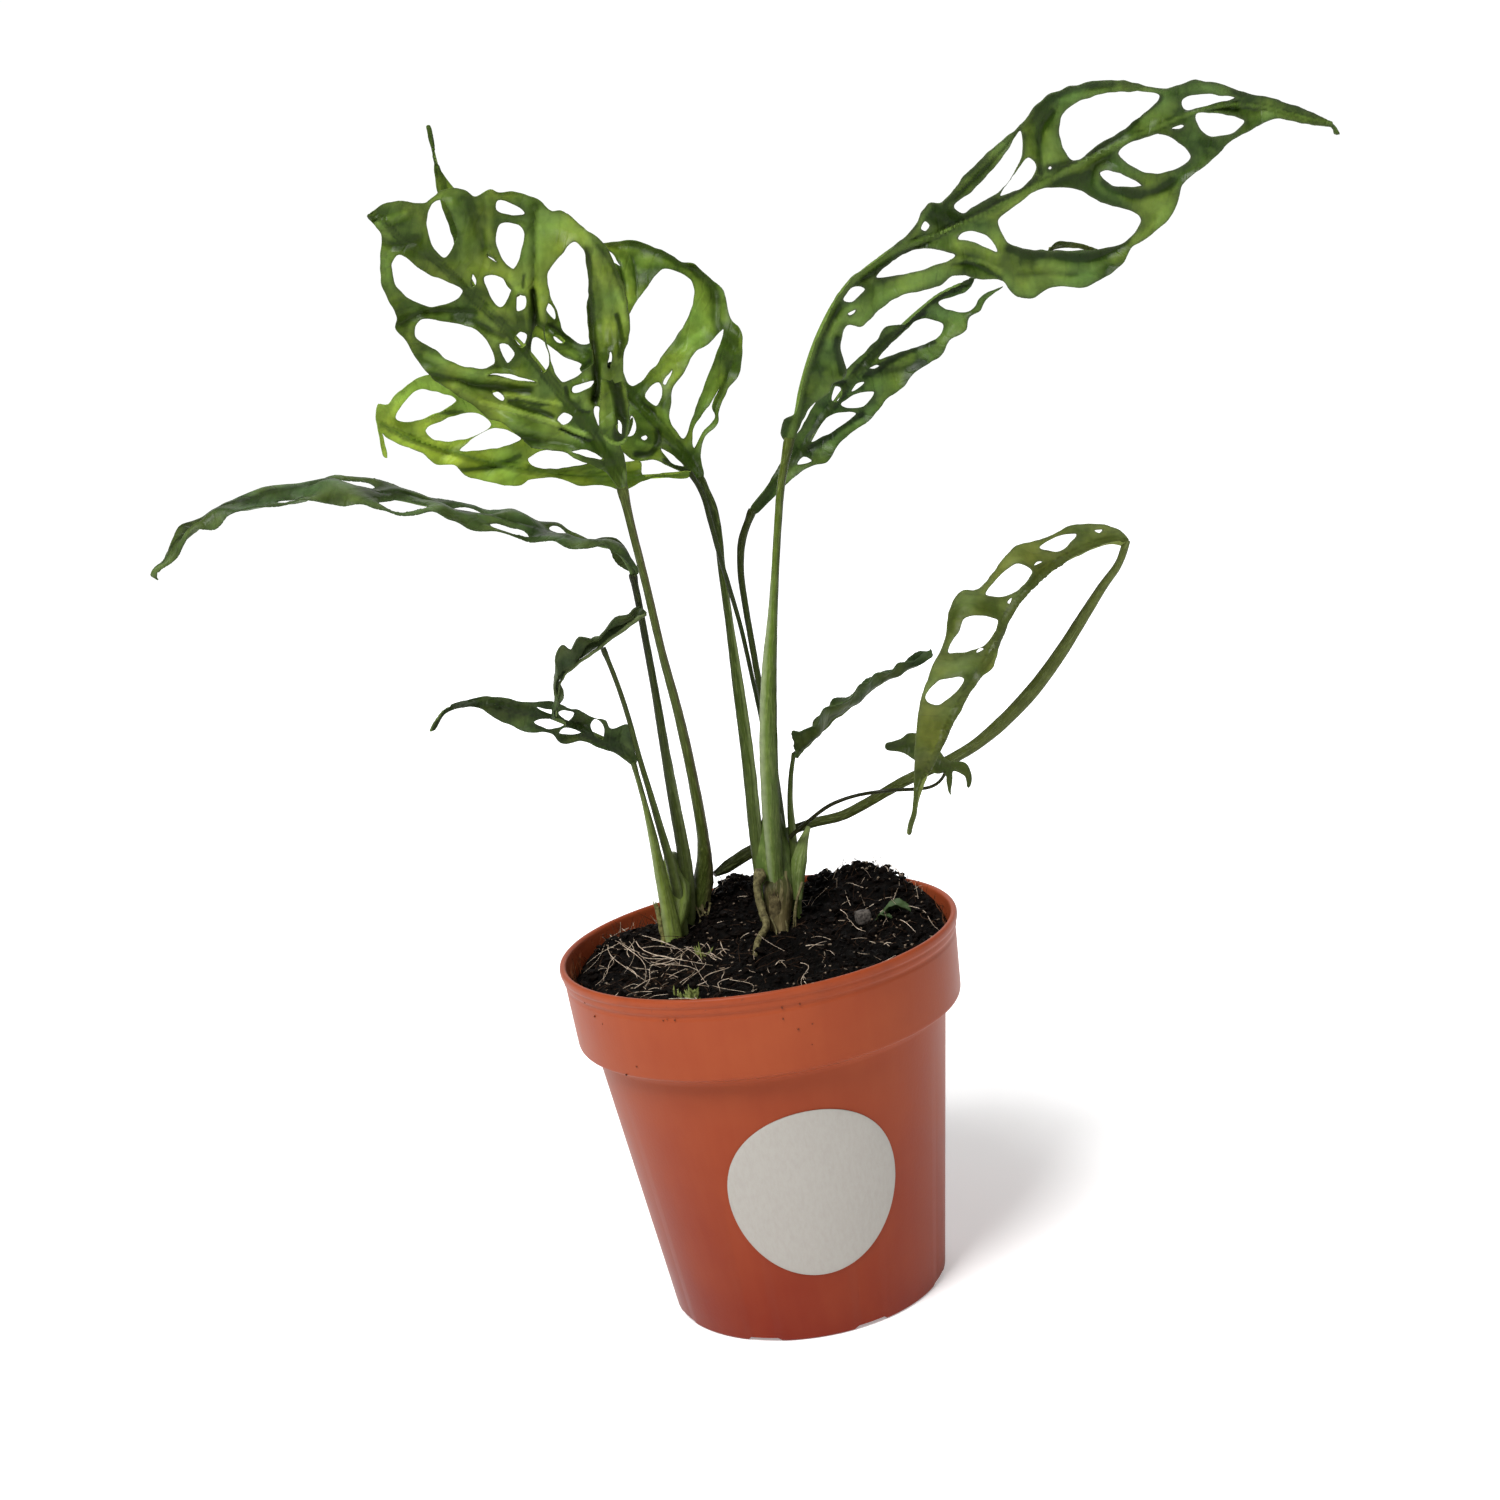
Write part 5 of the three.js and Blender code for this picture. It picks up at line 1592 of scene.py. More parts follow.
    def collar_specks(self) -> Piece:
        """Builds the grains of peat that stick to the pot's collar and lip.

        Returns:
            The piece.
        """
        spots = [(-29, -51.4, 105.9), (-25.7, -53.1, 106), (-49.3, -32.4, 104), (4.1, -58.9, 106.8),
                 (9, -58.3, 106.8), (3.9, -58.9, 103.5), (7.6, -58.5, 99.7), (11.7, -57.8, 100.4),
                 (10.8, -58, 94.5), (-39.5, -43.8, 91), (-43.2, -40.2, 87.8), (-51.5, -28.8, 107.4),
                 (-47.3, -35.3, 102.3), (-27.8, -52, 106.3)]
        for _ in range(26):
            angle, height = self.random.uniform(0, 6.28), self.random.uniform(104, 111.2)
            spots.append((57.2 * math.cos(angle), 57.2 * math.sin(angle), height))
        bm = bmesh.new()
        for x, y, z in spots:
            on_collar = math.hypot(x, y) > 57.5
            radius = mix(58.05, 58.95, (z - 88.1) / 17.3) + 0.1 if on_collar else 57.55 - (111 - z) * 0.055
            place = Matrix.Translation(Vector((x, y, 0)).normalized() * radius + Vector((0, 0, z)))
            add_crumb(bm, self.random.uniform(0.16, 0.36), place, 2.3, 0.3)
        return add_piece("peat_grains", bm, [self.dust.material()], sharp_degrees=40)


@dataclass
class DryParts:
    """The dry things at the shoots' feet: an aerial root, withered sheaths and root strands."""

    # olive-brown cork, matt
    root: GrittyFinish = GrittyFinish("aerial root, corky, grown", "#3E3924", "#7A734E", 1.1, 0.6, 0.8, 0.25)
    # brown layers, as dull as paper
    husk: GrittyFinish = GrittyFinish("withered sheath, papery, grown", "#3A3322", "#6E6444", 1.4, 0.6, 0.8,
                                      0.2)
    # layers bleached by the light, just as dull
    straw: GrittyFinish = GrittyFinish("withered sheath, bleached, grown", "#4E4C2C", "#84804C", 1.4, 0.6,
                                       0.8, 0.2)
    routes: dict[str, list[Station]] = field(default_factory=dict)
    seed: int = 11

    def build(self) -> list[Piece]:
        """Builds and dresses all of them.

        Returns:
            The pieces.
        """
        return [self.cord("aerial_root", self.root), self.sheath("dry_sheath_right", self.husk, 3),
                self.sheath("dry_sheath_left", self.straw, 2), self.foot_roots()]

    def foot_roots(self) -> Piece:
        """Builds the thin roots from the shoots' feet into the soil, each from point to point.

        Returns:
            The piece.
        """
        dice = random.Random(self.seed)
        feet = [(15.6, 125.1, 17, 10.9, 114, 15), (15, 124, 17, 11.6, 113, 15),
                (-17.4, 124, 29, -16, 118, 27), (-12.5, 123.2, 30, -14.5, 118, 27),
                (-15, 123, 30, -17.5, 116.8, 26), (-16, 122, 29, -15.4, 117, 27),
                (-27, 113, 19, -30, 105, 14), (4.6, 116, 15, 5.4, 108.5, 12), (9, 114, 15, 8.6, 107.5, 12)]
        strands = []
        for line in feet:
            start, end = seen(*line[:3]), seen(*line[3:])
            end.z = min(end.z, ground(end.x, end.y))
            middle = start.lerp(end, 0.5) + Vector((dice.gauss(0, 0.6), dice.gauss(-0.5, 0.4), 0))
            strands.append(Strand(SmoothPath([start, middle, end]).evenly(14), dice.uniform(0.3, 0.5)))
        return strands_piece("foot_roots", strands, [self.root.material()])

    def cord(self, name: str, finish: GrittyFinish) -> Piece:
        """Builds a thick root along its route.

        Args:
            name: its CAD node, which names the piece.
            finish: its finish.

        Returns:
            The piece.
        """
        centres = [seen(*station[:3]) for station in self.routes[name]]
        sizes = [station[3:] for station in self.routes[name]]
        bm = bmesh.new()
        tube(bm, SmoothPath(centres), sizes, 16, 0.5, wobble=0.3)
        return add_piece(name + "_cork", bm, [finish.material()], (name,), 70)

    def sheath(self, name: str, finish: GrittyFinish, layers: int) -> Piece:
        """Builds a withered sheath as torn, curled layers along its route.

        Args:
            name: its CAD node, which names the piece.
            finish: its finish.
            layers: how many layers it has.

        Returns:
            The piece.
        """
        stations = self.routes[name]
        path = SmoothPath([seen(*station[:3]) for station in stations])
        half_width, depth = stations[1][3] / 2, stations[1][4] / 2
        bm = bmesh.new()
        for layer in range(layers):
            strip = bmesh.new()
            bmesh.ops.create_grid(strip, x_segments=14, y_segments=26, size=1)
            for vert in strip.verts:
                across, share = vert.co.x, (vert.co.y + 1) / 2
                tear = abs(noise.noise(Vector((across * 2.4, layer * 5.1, 0.3))))
                torn = share * (1 - 0.35 * tear - 0.08 * layer)
                width = half_width * (1 - 0.35 * torn) * (1 + 0.06 * layer)
                curl = 1.5 * across + 0.3 * layer
                vert.co = path.at(min(1, torn * 0.999)) + Vector(
                    (width * math.sin(curl), -depth * math.cos(curl) - 0.35 * layer, 0))
                vert.co += noise.noise_vector(vert.co * 0.5) * 0.35
            merge_in(bm, thickened(strip, 0.3))
        return add_piece(name + "_paper", bm, [finish.material()], (name,))


@dataclass
class Studio:
    """A white floor with a painted glow that is dimmer near the plant, soft light from the upper left, and
    the camera.
    """

    eye: Vector = field(default_factory=lambda: EYE * MM)
    right: Vector = field(default_factory=lambda: Vector((0.9882, -0.0305, -0.1499)))
    up: Vector = field(default_factory=lambda: Vector((0.153, 0.197, 0.9684)))
    lens: float = 52.34
    floor_size: float = 12.0

    def build(self) -> None:
        """Sets the camera, lights and floor."""
        scene = bpy.context.scene
        scene.view_settings.view_transform = "Standard"
        scene.view_settings.look = "None"
        scene.camera = self.camera()
        self.light("window", (-0.45, -0.7, 1.35), 0.6, 30)
        self.light("room", (1.2, -0.6, 0.9), 1.6, 2)
        self.light("rear", (0.2, 1.2, 1.5), 1.2, 8)
        scene.world = self.white_room()
        self.floor()

    def camera(self) -> bpy.types.Object:
        """Sets up the camera, rolled as the photograph is.

        Returns:
            The camera.
        """
        camera = in_scene("camera", bpy.data.cameras.new("camera"))
        camera.data.lens = self.lens
        camera.data.sensor_width = 36
        camera.data.clip_start = 0.01
        right = self.right.normalized()
        back = right.cross(self.up).normalized()
        turn = Matrix((right, back.cross(right), back)).transposed().to_4x4()
        camera.matrix_world = Matrix.Translation(self.eye) @ turn
        return camera

    def light(self, name: str, place: tuple[float, float, float], size: float, power: float) -> None:
        """Hangs a square soft light that faces the plant.

        Args:
            name: the light's name.
            place: where it hangs.
            size: the length of its side.
            power: its power in watts.
        """
        lamp = in_scene(name, bpy.data.lights.new(name, "AREA"))
        lamp.data.shape = "SQUARE"
        lamp.data.size = size
        lamp.data.energy = power
        aim = Vector((0, 0, 0.18)) - Vector(place)
        lamp.matrix_world = Matrix.Translation(place) @ aim.to_track_quat("-Z", "Y").to_matrix().to_4x4()

    def white_room(self) -> bpy.types.World:
        """Lights the room: white round the horizon, dimmer overhead and at the front.

        Returns:
            The world.
        """
        world = bpy.data.worlds.new("white room")
        world.use_nodes = True
        world.node_tree.nodes.clear()
        add = partial(add_node, world.node_tree)
        direction = add(Node.DIRECTION)
        horizon = add(Node.RANGE, add(Node.Z_OF, direction), 0.28, 0.45, 1.04, 0.14)
        front = add(Node.RANGE, add(Node.Y_OF, direction), 0, 0.75, 0.3, 1)
        add(Node.WORLD, add(Node.GLOW, (1, 1, 1, 1), add(Node.MULTIPLY, horizon, front)))
        return world

    def floor(self) -> None:
        """Lays the pale floor."""
        bm = bmesh.new()
        bmesh.ops.create_grid(bm, x_segments=1, y_segments=1, size=self.floor_size / 2)
        # matt white: it takes soft shadows and mirrors nothing; its glow is painted light, dimmest near the
        # pot
        material, add = new_material("white board, matt, with painted glow")
        place = add(Node.PLACE)
        # painted light: the floor glows by itself, from 0.3 by the pot to 0.95 further out
        glow = add(Node.RANGE, add(Node.LENGTH, place), 0.06, 0.6, 0.3, 0.95)
        close_surface(add, (0.86, 0.86, 0.86, 1), 0.9, add(Node.NOISE, place, per_metre(4)), 0.02,
                      specular=0.0, glow=glow)
        floor = in_scene("studio_floor", as_mesh("studio_floor", bm))
        floor.data.materials.append(material)


PETIOLES: list[Petiole] = [
    Petiole(
        "stem_upper_left",
        PetioleSkin("left shoot stalk, green", "#616F37", "#444F20", "#3A4214", "#68753A", flank="#59493A",
                    flank_strength=0.5, flank_end=0.9, shade=0.25, turn=0.22, length_mm=135),
        [(-16, 119.5, 33, 5, 4.5), (-15.4, 124, 32, 6.4, 5), (-13.6, 130, 31, 6.6, 4.6),
         (-12.2, 136, 29, 5, 4), (-11.5, 143, 27, 3.8, 3.6), (-11.7, 160, 22, 3.3, 3.2),
         (-12.8, 180, 16, 3, 2.9), (-14.8, 200, 11, 2.5, 2.5), (-16.2, 220, 6, 2.4, 2.4),
         (-17.6, 236, 2.5, 2.4, 2.4), (-18.5, 248.4, 0, 2.8, 2.2)],
        channel=0.12, channel_angle=-1.2, flange=0.05, channel_end=0.25),
    Petiole(
        "stem_long_left",
        PetioleSkin("left shoot stalk, nearly black", "#707F49", "#374116", "#14160B", "#54612D",
                    flank="#778253", flank_strength=0.75, flank_end=0.42, shade=0.5, turn=0.35,
                    length_mm=115),
        [(-19.9, 113.5, 29, 3.4, 3), (-18.6, 126, 28, 4, 3), (-18, 136, 26, 4.2, 3),
         (-18.2, 150, 24, 3.8, 2.8), (-18.5, 170, 21, 3, 2.6), (-18.6, 190, 17.5, 2.4, 2.2),
         (-19, 208, 14.5, 2.2, 2.1), (-19.2, 216, 13, 2.2, 2.1), (-19.5, 222.7, 12.05, 2.1, 2)],
        channel=0.15, channel_angle=-0.7, flange=0.05, channel_end=0.4),
    Petiole(
        "stem_folded_left",
        PetioleSkin("left shoot stalk, thin dark", "#7A894C", "#475422", "#262B13", "#616F3A",
                    flank="#7C875D", flank_strength=0.5, flank_end=0.4, shade=0.4, turn=0.35,
                    length_mm=95),
        [(-21.8, 110.5, 24.4, 3, 2.4), (-21.6, 126, 23, 3.2, 2.4), (-22.2, 136, 21.5, 3, 2.3),
         (-23.6, 148, 18.5, 2.4, 2), (-25, 160, 15.5, 1.9, 1.8), (-26.3, 170, 12.5, 1.7, 1.6),
         (-27.5, 182, 9.5, 1.6, 1.6), (-29.2, 193, 7.5, 1.5, 1.5), (-31.3, 202.75, 6.95, 1.5, 1.5)]),
    Petiole(
        "stem_left_small",
        PetioleSkin("left shoot sheath, pale lime", "#89994C", "#708138", "#3A461D", "#879459",
                    flank="#919B73", flank_strength=0.5, flank_side=-1.0, flank_end=0.7, shade=0.4,
                    turn=0.45, length_mm=60),
        [(-25.2, 110, 20.6, 5.4, 5), (-25, 116, 20, 5.6, 4.6), (-25.3, 126, 19, 4.6, 3.6),
         (-25.8, 136, 17.5, 3.6, 2.8), (-26.2, 146, 16, 2.7, 2.2), (-27, 157, 14.2, 1.7, 1.6),
         (-28.2, 168, 12.5, 1.5, 1.4)],
        channel=0.2, channel_angle=-1.0, flange=0.06, channel_end=0.6),
    Petiole(
        "stem_arched_right",
        PetioleSkin("strap stalk, olive", "#282D14", "#424A1E", "#4E5626", "#636D3F", shade=0.35, turn=0.5,
                    length_mm=210),
        [(-9.95, 131.5, 31.3, 1.8, 2.4), (-6, 133.2, 33, 4, 2.6), (0, 136, 36.5, 4.2, 2.6),
         (8, 139, 38, 3.8, 2.4), (15, 141.3, 33, 3, 2.2), (22, 142.6, 28, 3, 2.2),
         (30, 143.3, 24, 3.2, 2.2), (37, 145.6, 21, 3.2, 2.4), (43, 148, 18, 3.2, 2.4),
         (50, 150.8, 15, 3.4, 2.6), (57, 152.9, 12.5, 3.4, 2.6), (64, 155, 10, 3.4, 2.6),
         (72, 158.3, 8, 3.6, 2.8), (80, 163.2, 6, 4.2, 3), (90, 171, 4, 4.4, 3), (100, 181.2, 2, 4, 2.8),
         (109, 192, 0, 3.4, 2.4), (115, 199.2, -1.2, 2.8, 2.2), (120.5, 205.2, -2.3, 2.3, 2),
         (123.15, 210.45, -3, 2, 1.8)],
        channel=0.25, channel_angle=1.2, flange=0.05, channel_end=0.8, knee=0.1),
    Petiole(
        "stem_curled_right",
        PetioleSkin("thread stalk, dark", "#22230F", "#252713", "#2B2F16", "#343717", length_mm=60),
        [(14, 139.3, 21.15, 1.4, 1.4), (20, 143.2, 17.6, 1.2, 1.2), (27, 147, 15.5, 1.2, 1.2),
         (35, 148.7, 14.5, 1.1, 1.1), (45, 148.7, 12.5, 1.1, 1.1), (52, 148, 9.5, 1.1, 1.1),
         (57, 147.8, 7, 1, 1), (60, 148.9, 5.6, 1, 1), (61.9, 150.9, 5, 1, 1)]),
    Petiole(
        "stem_upper_middle",
        PetioleSkin("right shoot stalk, green with pale edge", "#586632", "#374613", "#252F0C", "#63703A",
                    flank="#7A8756", flank_strength=0.8, flank_end=0.6, shade=0.5, turn=0.4,
                    length_mm=140),
        [(3, 111.5, 22.3, 3.4, 3), (3.4, 128, 23, 3.6, 3), (4.2, 145, 24, 4.2, 3), (5.2, 165, 25, 4, 2.8),
         (5.6, 185, 26, 3.6, 2.6), (5.9, 205, 26.7, 2.5, 2.4), (6.2, 222, 27.2, 2.4, 2.4),
         (6.7, 232, 27.4, 2.5, 2.4), (6.3, 239.5, 27.5, 2.6, 2.4), (4.2, 247.3, 27.5, 2.2, 2)],
        channel=0.18, channel_angle=-0.9, flange=0.06, channel_end=0.5),
    Petiole(
        "stem_lower_left",
        PetioleSkin("right shoot stalk, thin purple-green", "#3A4722", "#28340E", "#232A0E", "#464F2D",
                    length_mm=140),
        [(11.2, 115, 32.5, 2, 1.8), (11.4, 140, 32.5, 1.8, 1.6), (11.3, 160, 32.5, 1.6, 1.4),
         (10.8, 177, 31.5, 1.4, 1.4), (10, 190, 29.5, 1.4, 1.4), (9.1, 203, 26.5, 1.4, 1.4),
         (7.6, 215, 23.8, 1.4, 1.4), (6, 226, 22, 1.4, 1.4), (4.9, 236, 21.5, 1.5, 1.5),
         (3.9, 243.5, 21.5, 1.5, 1.5), (1.75, 249.2, 21.5, 1.3, 1.3)]),
    Petiole(
        "stem_top_right",
        PetioleSkin("right shoot sheath, pale striped green", "#5D6F38", "#516622", "#3C4414", "#778549",
                    flank="#899370", flank_strength=0.7, flank_side=-1.0, flank_end=0.62, shade=0.6,
                    turn=0.6, length_mm=145),
        [(8, 113, 20, 5.2, 4.6), (8, 126, 20, 5, 4.4), (8.8, 138, 20, 5.2, 4.4), (9.8, 150, 20, 5.6, 4.6),
         (11.4, 165, 20, 5.6, 4.6), (13.6, 180, 20, 5.2, 4.4), (16, 193, 20, 4.4, 4),
         (18.8, 206, 20, 3, 3), (21.3, 218, 20, 2.4, 2.4), (24, 231, 20, 2.4, 2.4),
         (26.8, 243, 20, 2.4, 2.4), (30.7, 254.4, 20, 2.8, 2.2)],
        channel=0.22, channel_angle=-1.1, flange=0.07, channel_end=0.5, knee=0.2),
    Petiole(
        "stem_middle_right",
        PetioleSkin("right shoot stalk, dark green", "#3F4A22", "#2B350D", "#252B0A", "#49532D", turn=0.4,
                    length_mm=130),
        [(10.4, 112, 26.7, 2.6, 2.2), (12, 140, 27, 2.6, 2.2), (12.4, 160, 27.2, 2.3, 2),
         (12, 178, 27.6, 2, 1.9), (11.6, 195, 28, 2, 1.9), (11.3, 210, 28.3, 2, 1.9),
         (11.5, 220, 28.6, 2.1, 1.9), (13.2, 228.6, 28.9, 2.5, 2), (17, 235.9, 29, 2.2, 1.9)]),
    Petiole(
        "stem_right_small",
        PetioleSkin("right shoot sheath, mid green", "#54632F", "#3D4A1D", "#2D3714", "#63703A",
                    flank="#7A8459", flank_strength=0.5, flank_end=0.6, turn=0.5, length_mm=55),
        [(12.6, 112, 22.3, 2.2, 2.2), (14.2, 130, 22.8, 2.8, 2.2), (14.9, 142, 23, 2.4, 2),
         (15.6, 150, 23.3, 1.8, 1.6), (17, 157.8, 23.7, 1.5, 1.3), (18.55, 163.2, 24, 1.3, 1.3)],
        channel=0.18, channel_angle=-0.8, flange=0.06, channel_end=0.5),
    Petiole(
        "sheath_left",
        PetioleSkin("left shoot base, merged pale sheaths", "#8F9E59", "#7D8F42", "#586830", "#98A36F",
                    flank="#4A592B", flank_strength=0.6, flank_end=0.95, shade=0.1, turn=0.5,
                    length_mm=28),
        [(-26.3, 110.5, 20, 2.8, 2.6), (-25.4, 115.5, 20.6, 5.2, 4.4), (-23.8, 120.5, 22, 7.6, 5.4),
         (-22.6, 125, 24, 9, 5.8), (-21.9, 129.5, 26, 9.2, 5.4), (-21.9, 134, 27, 7, 4.4),
         (-22, 139, 27, 3.4, 2.6)],
        ridges=7, replaced=False),
    Petiole(
        "sheath_right",
        PetioleSkin("right shoot base, merged green sheaths", "#3C4722", "#4E612B", "#4F612F", "#7C8A4E",
                    flank="#3C4A20", flank_strength=0.6, flank_end=0.95, shade=0.1, turn=0.4,
                    length_mm=24),
        [(8.3, 119, 20.5, 8.2, 6), (8.2, 125, 21.5, 10.4, 6.8), (8, 130, 22.5, 11.6, 7),
         (8.4, 135.5, 23.5, 11.8, 6.4), (9, 141, 24.5, 9.4, 4.6), (9.6, 146, 25, 5, 3)],
        ridges=9, replaced=False),
    Petiole(
        "sheath_flare",
        PetioleSkin("right shoot side sheath, pale green", "#495828", "#63753A", "#77854E", "#8C9866",
                    shade=0.3, turn=0.5, length_mm=24),
        [(13.4, 120, 20, 3.2, 2.6), (14.4, 127, 21, 4.6, 3.2), (15.6, 132, 22, 5, 2.8),
         (17.2, 136.5, 22.6, 3.6, 1.8), (19.4, 140.6, 23, 1.2, 0.8)],
        ridges=5, replaced=False),
    Petiole(
        "husk_right",
        PetioleSkin("right shoot foot, withered brown sheath", "#6F6346", "#4A4428", "#3C4225", "#877C59",
                    shade=0.3, turn=0.5, length_mm=20),
        [(6.8, 107.5, 15.5, 4.4, 4.2), (6.8, 113.4, 17, 6.6, 5.6), (7.4, 118.4, 18.6, 8.2, 6.4),
         (8, 123.5, 20, 9.6, 6.8), (8.3, 128, 21.6, 8.2, 5.6)],
        ridges=13, replaced=False),
]

DRY_ROUTES: dict[str, list[Station]] = {
    "aerial_root": [
        (3.7, 131.2, 18, 2.2, 2), (3.4, 129.4, 17.6, 3.6, 3.2), (2.2, 126.6, 16.8, 2.7, 2.4),
        (1.9, 124, 16, 2.3, 2.2), (2.5, 118.4, 14.5, 2.4, 2.2), (2.9, 113.5, 11.5, 2.3, 2.1),
        (-0.2, 109.2, 6.5, 2, 1.9), (-1.9, 104.2, 0, 1.6, 1.5)],
    "dry_sheath_right": [
        (6.6, 110, 16, 3.6, 1.2), (6.2, 117, 16.2, 4, 1.2), (6.6, 124, 16.4, 3, 1)],
    "dry_sheath_left": [
        (-28, 112.8, 20.4, 1.6, 2.6), (-28.1, 120, 21.4, 1.6, 2.6), (-28.6, 126.4, 22.4, 1, 1.8)],
}

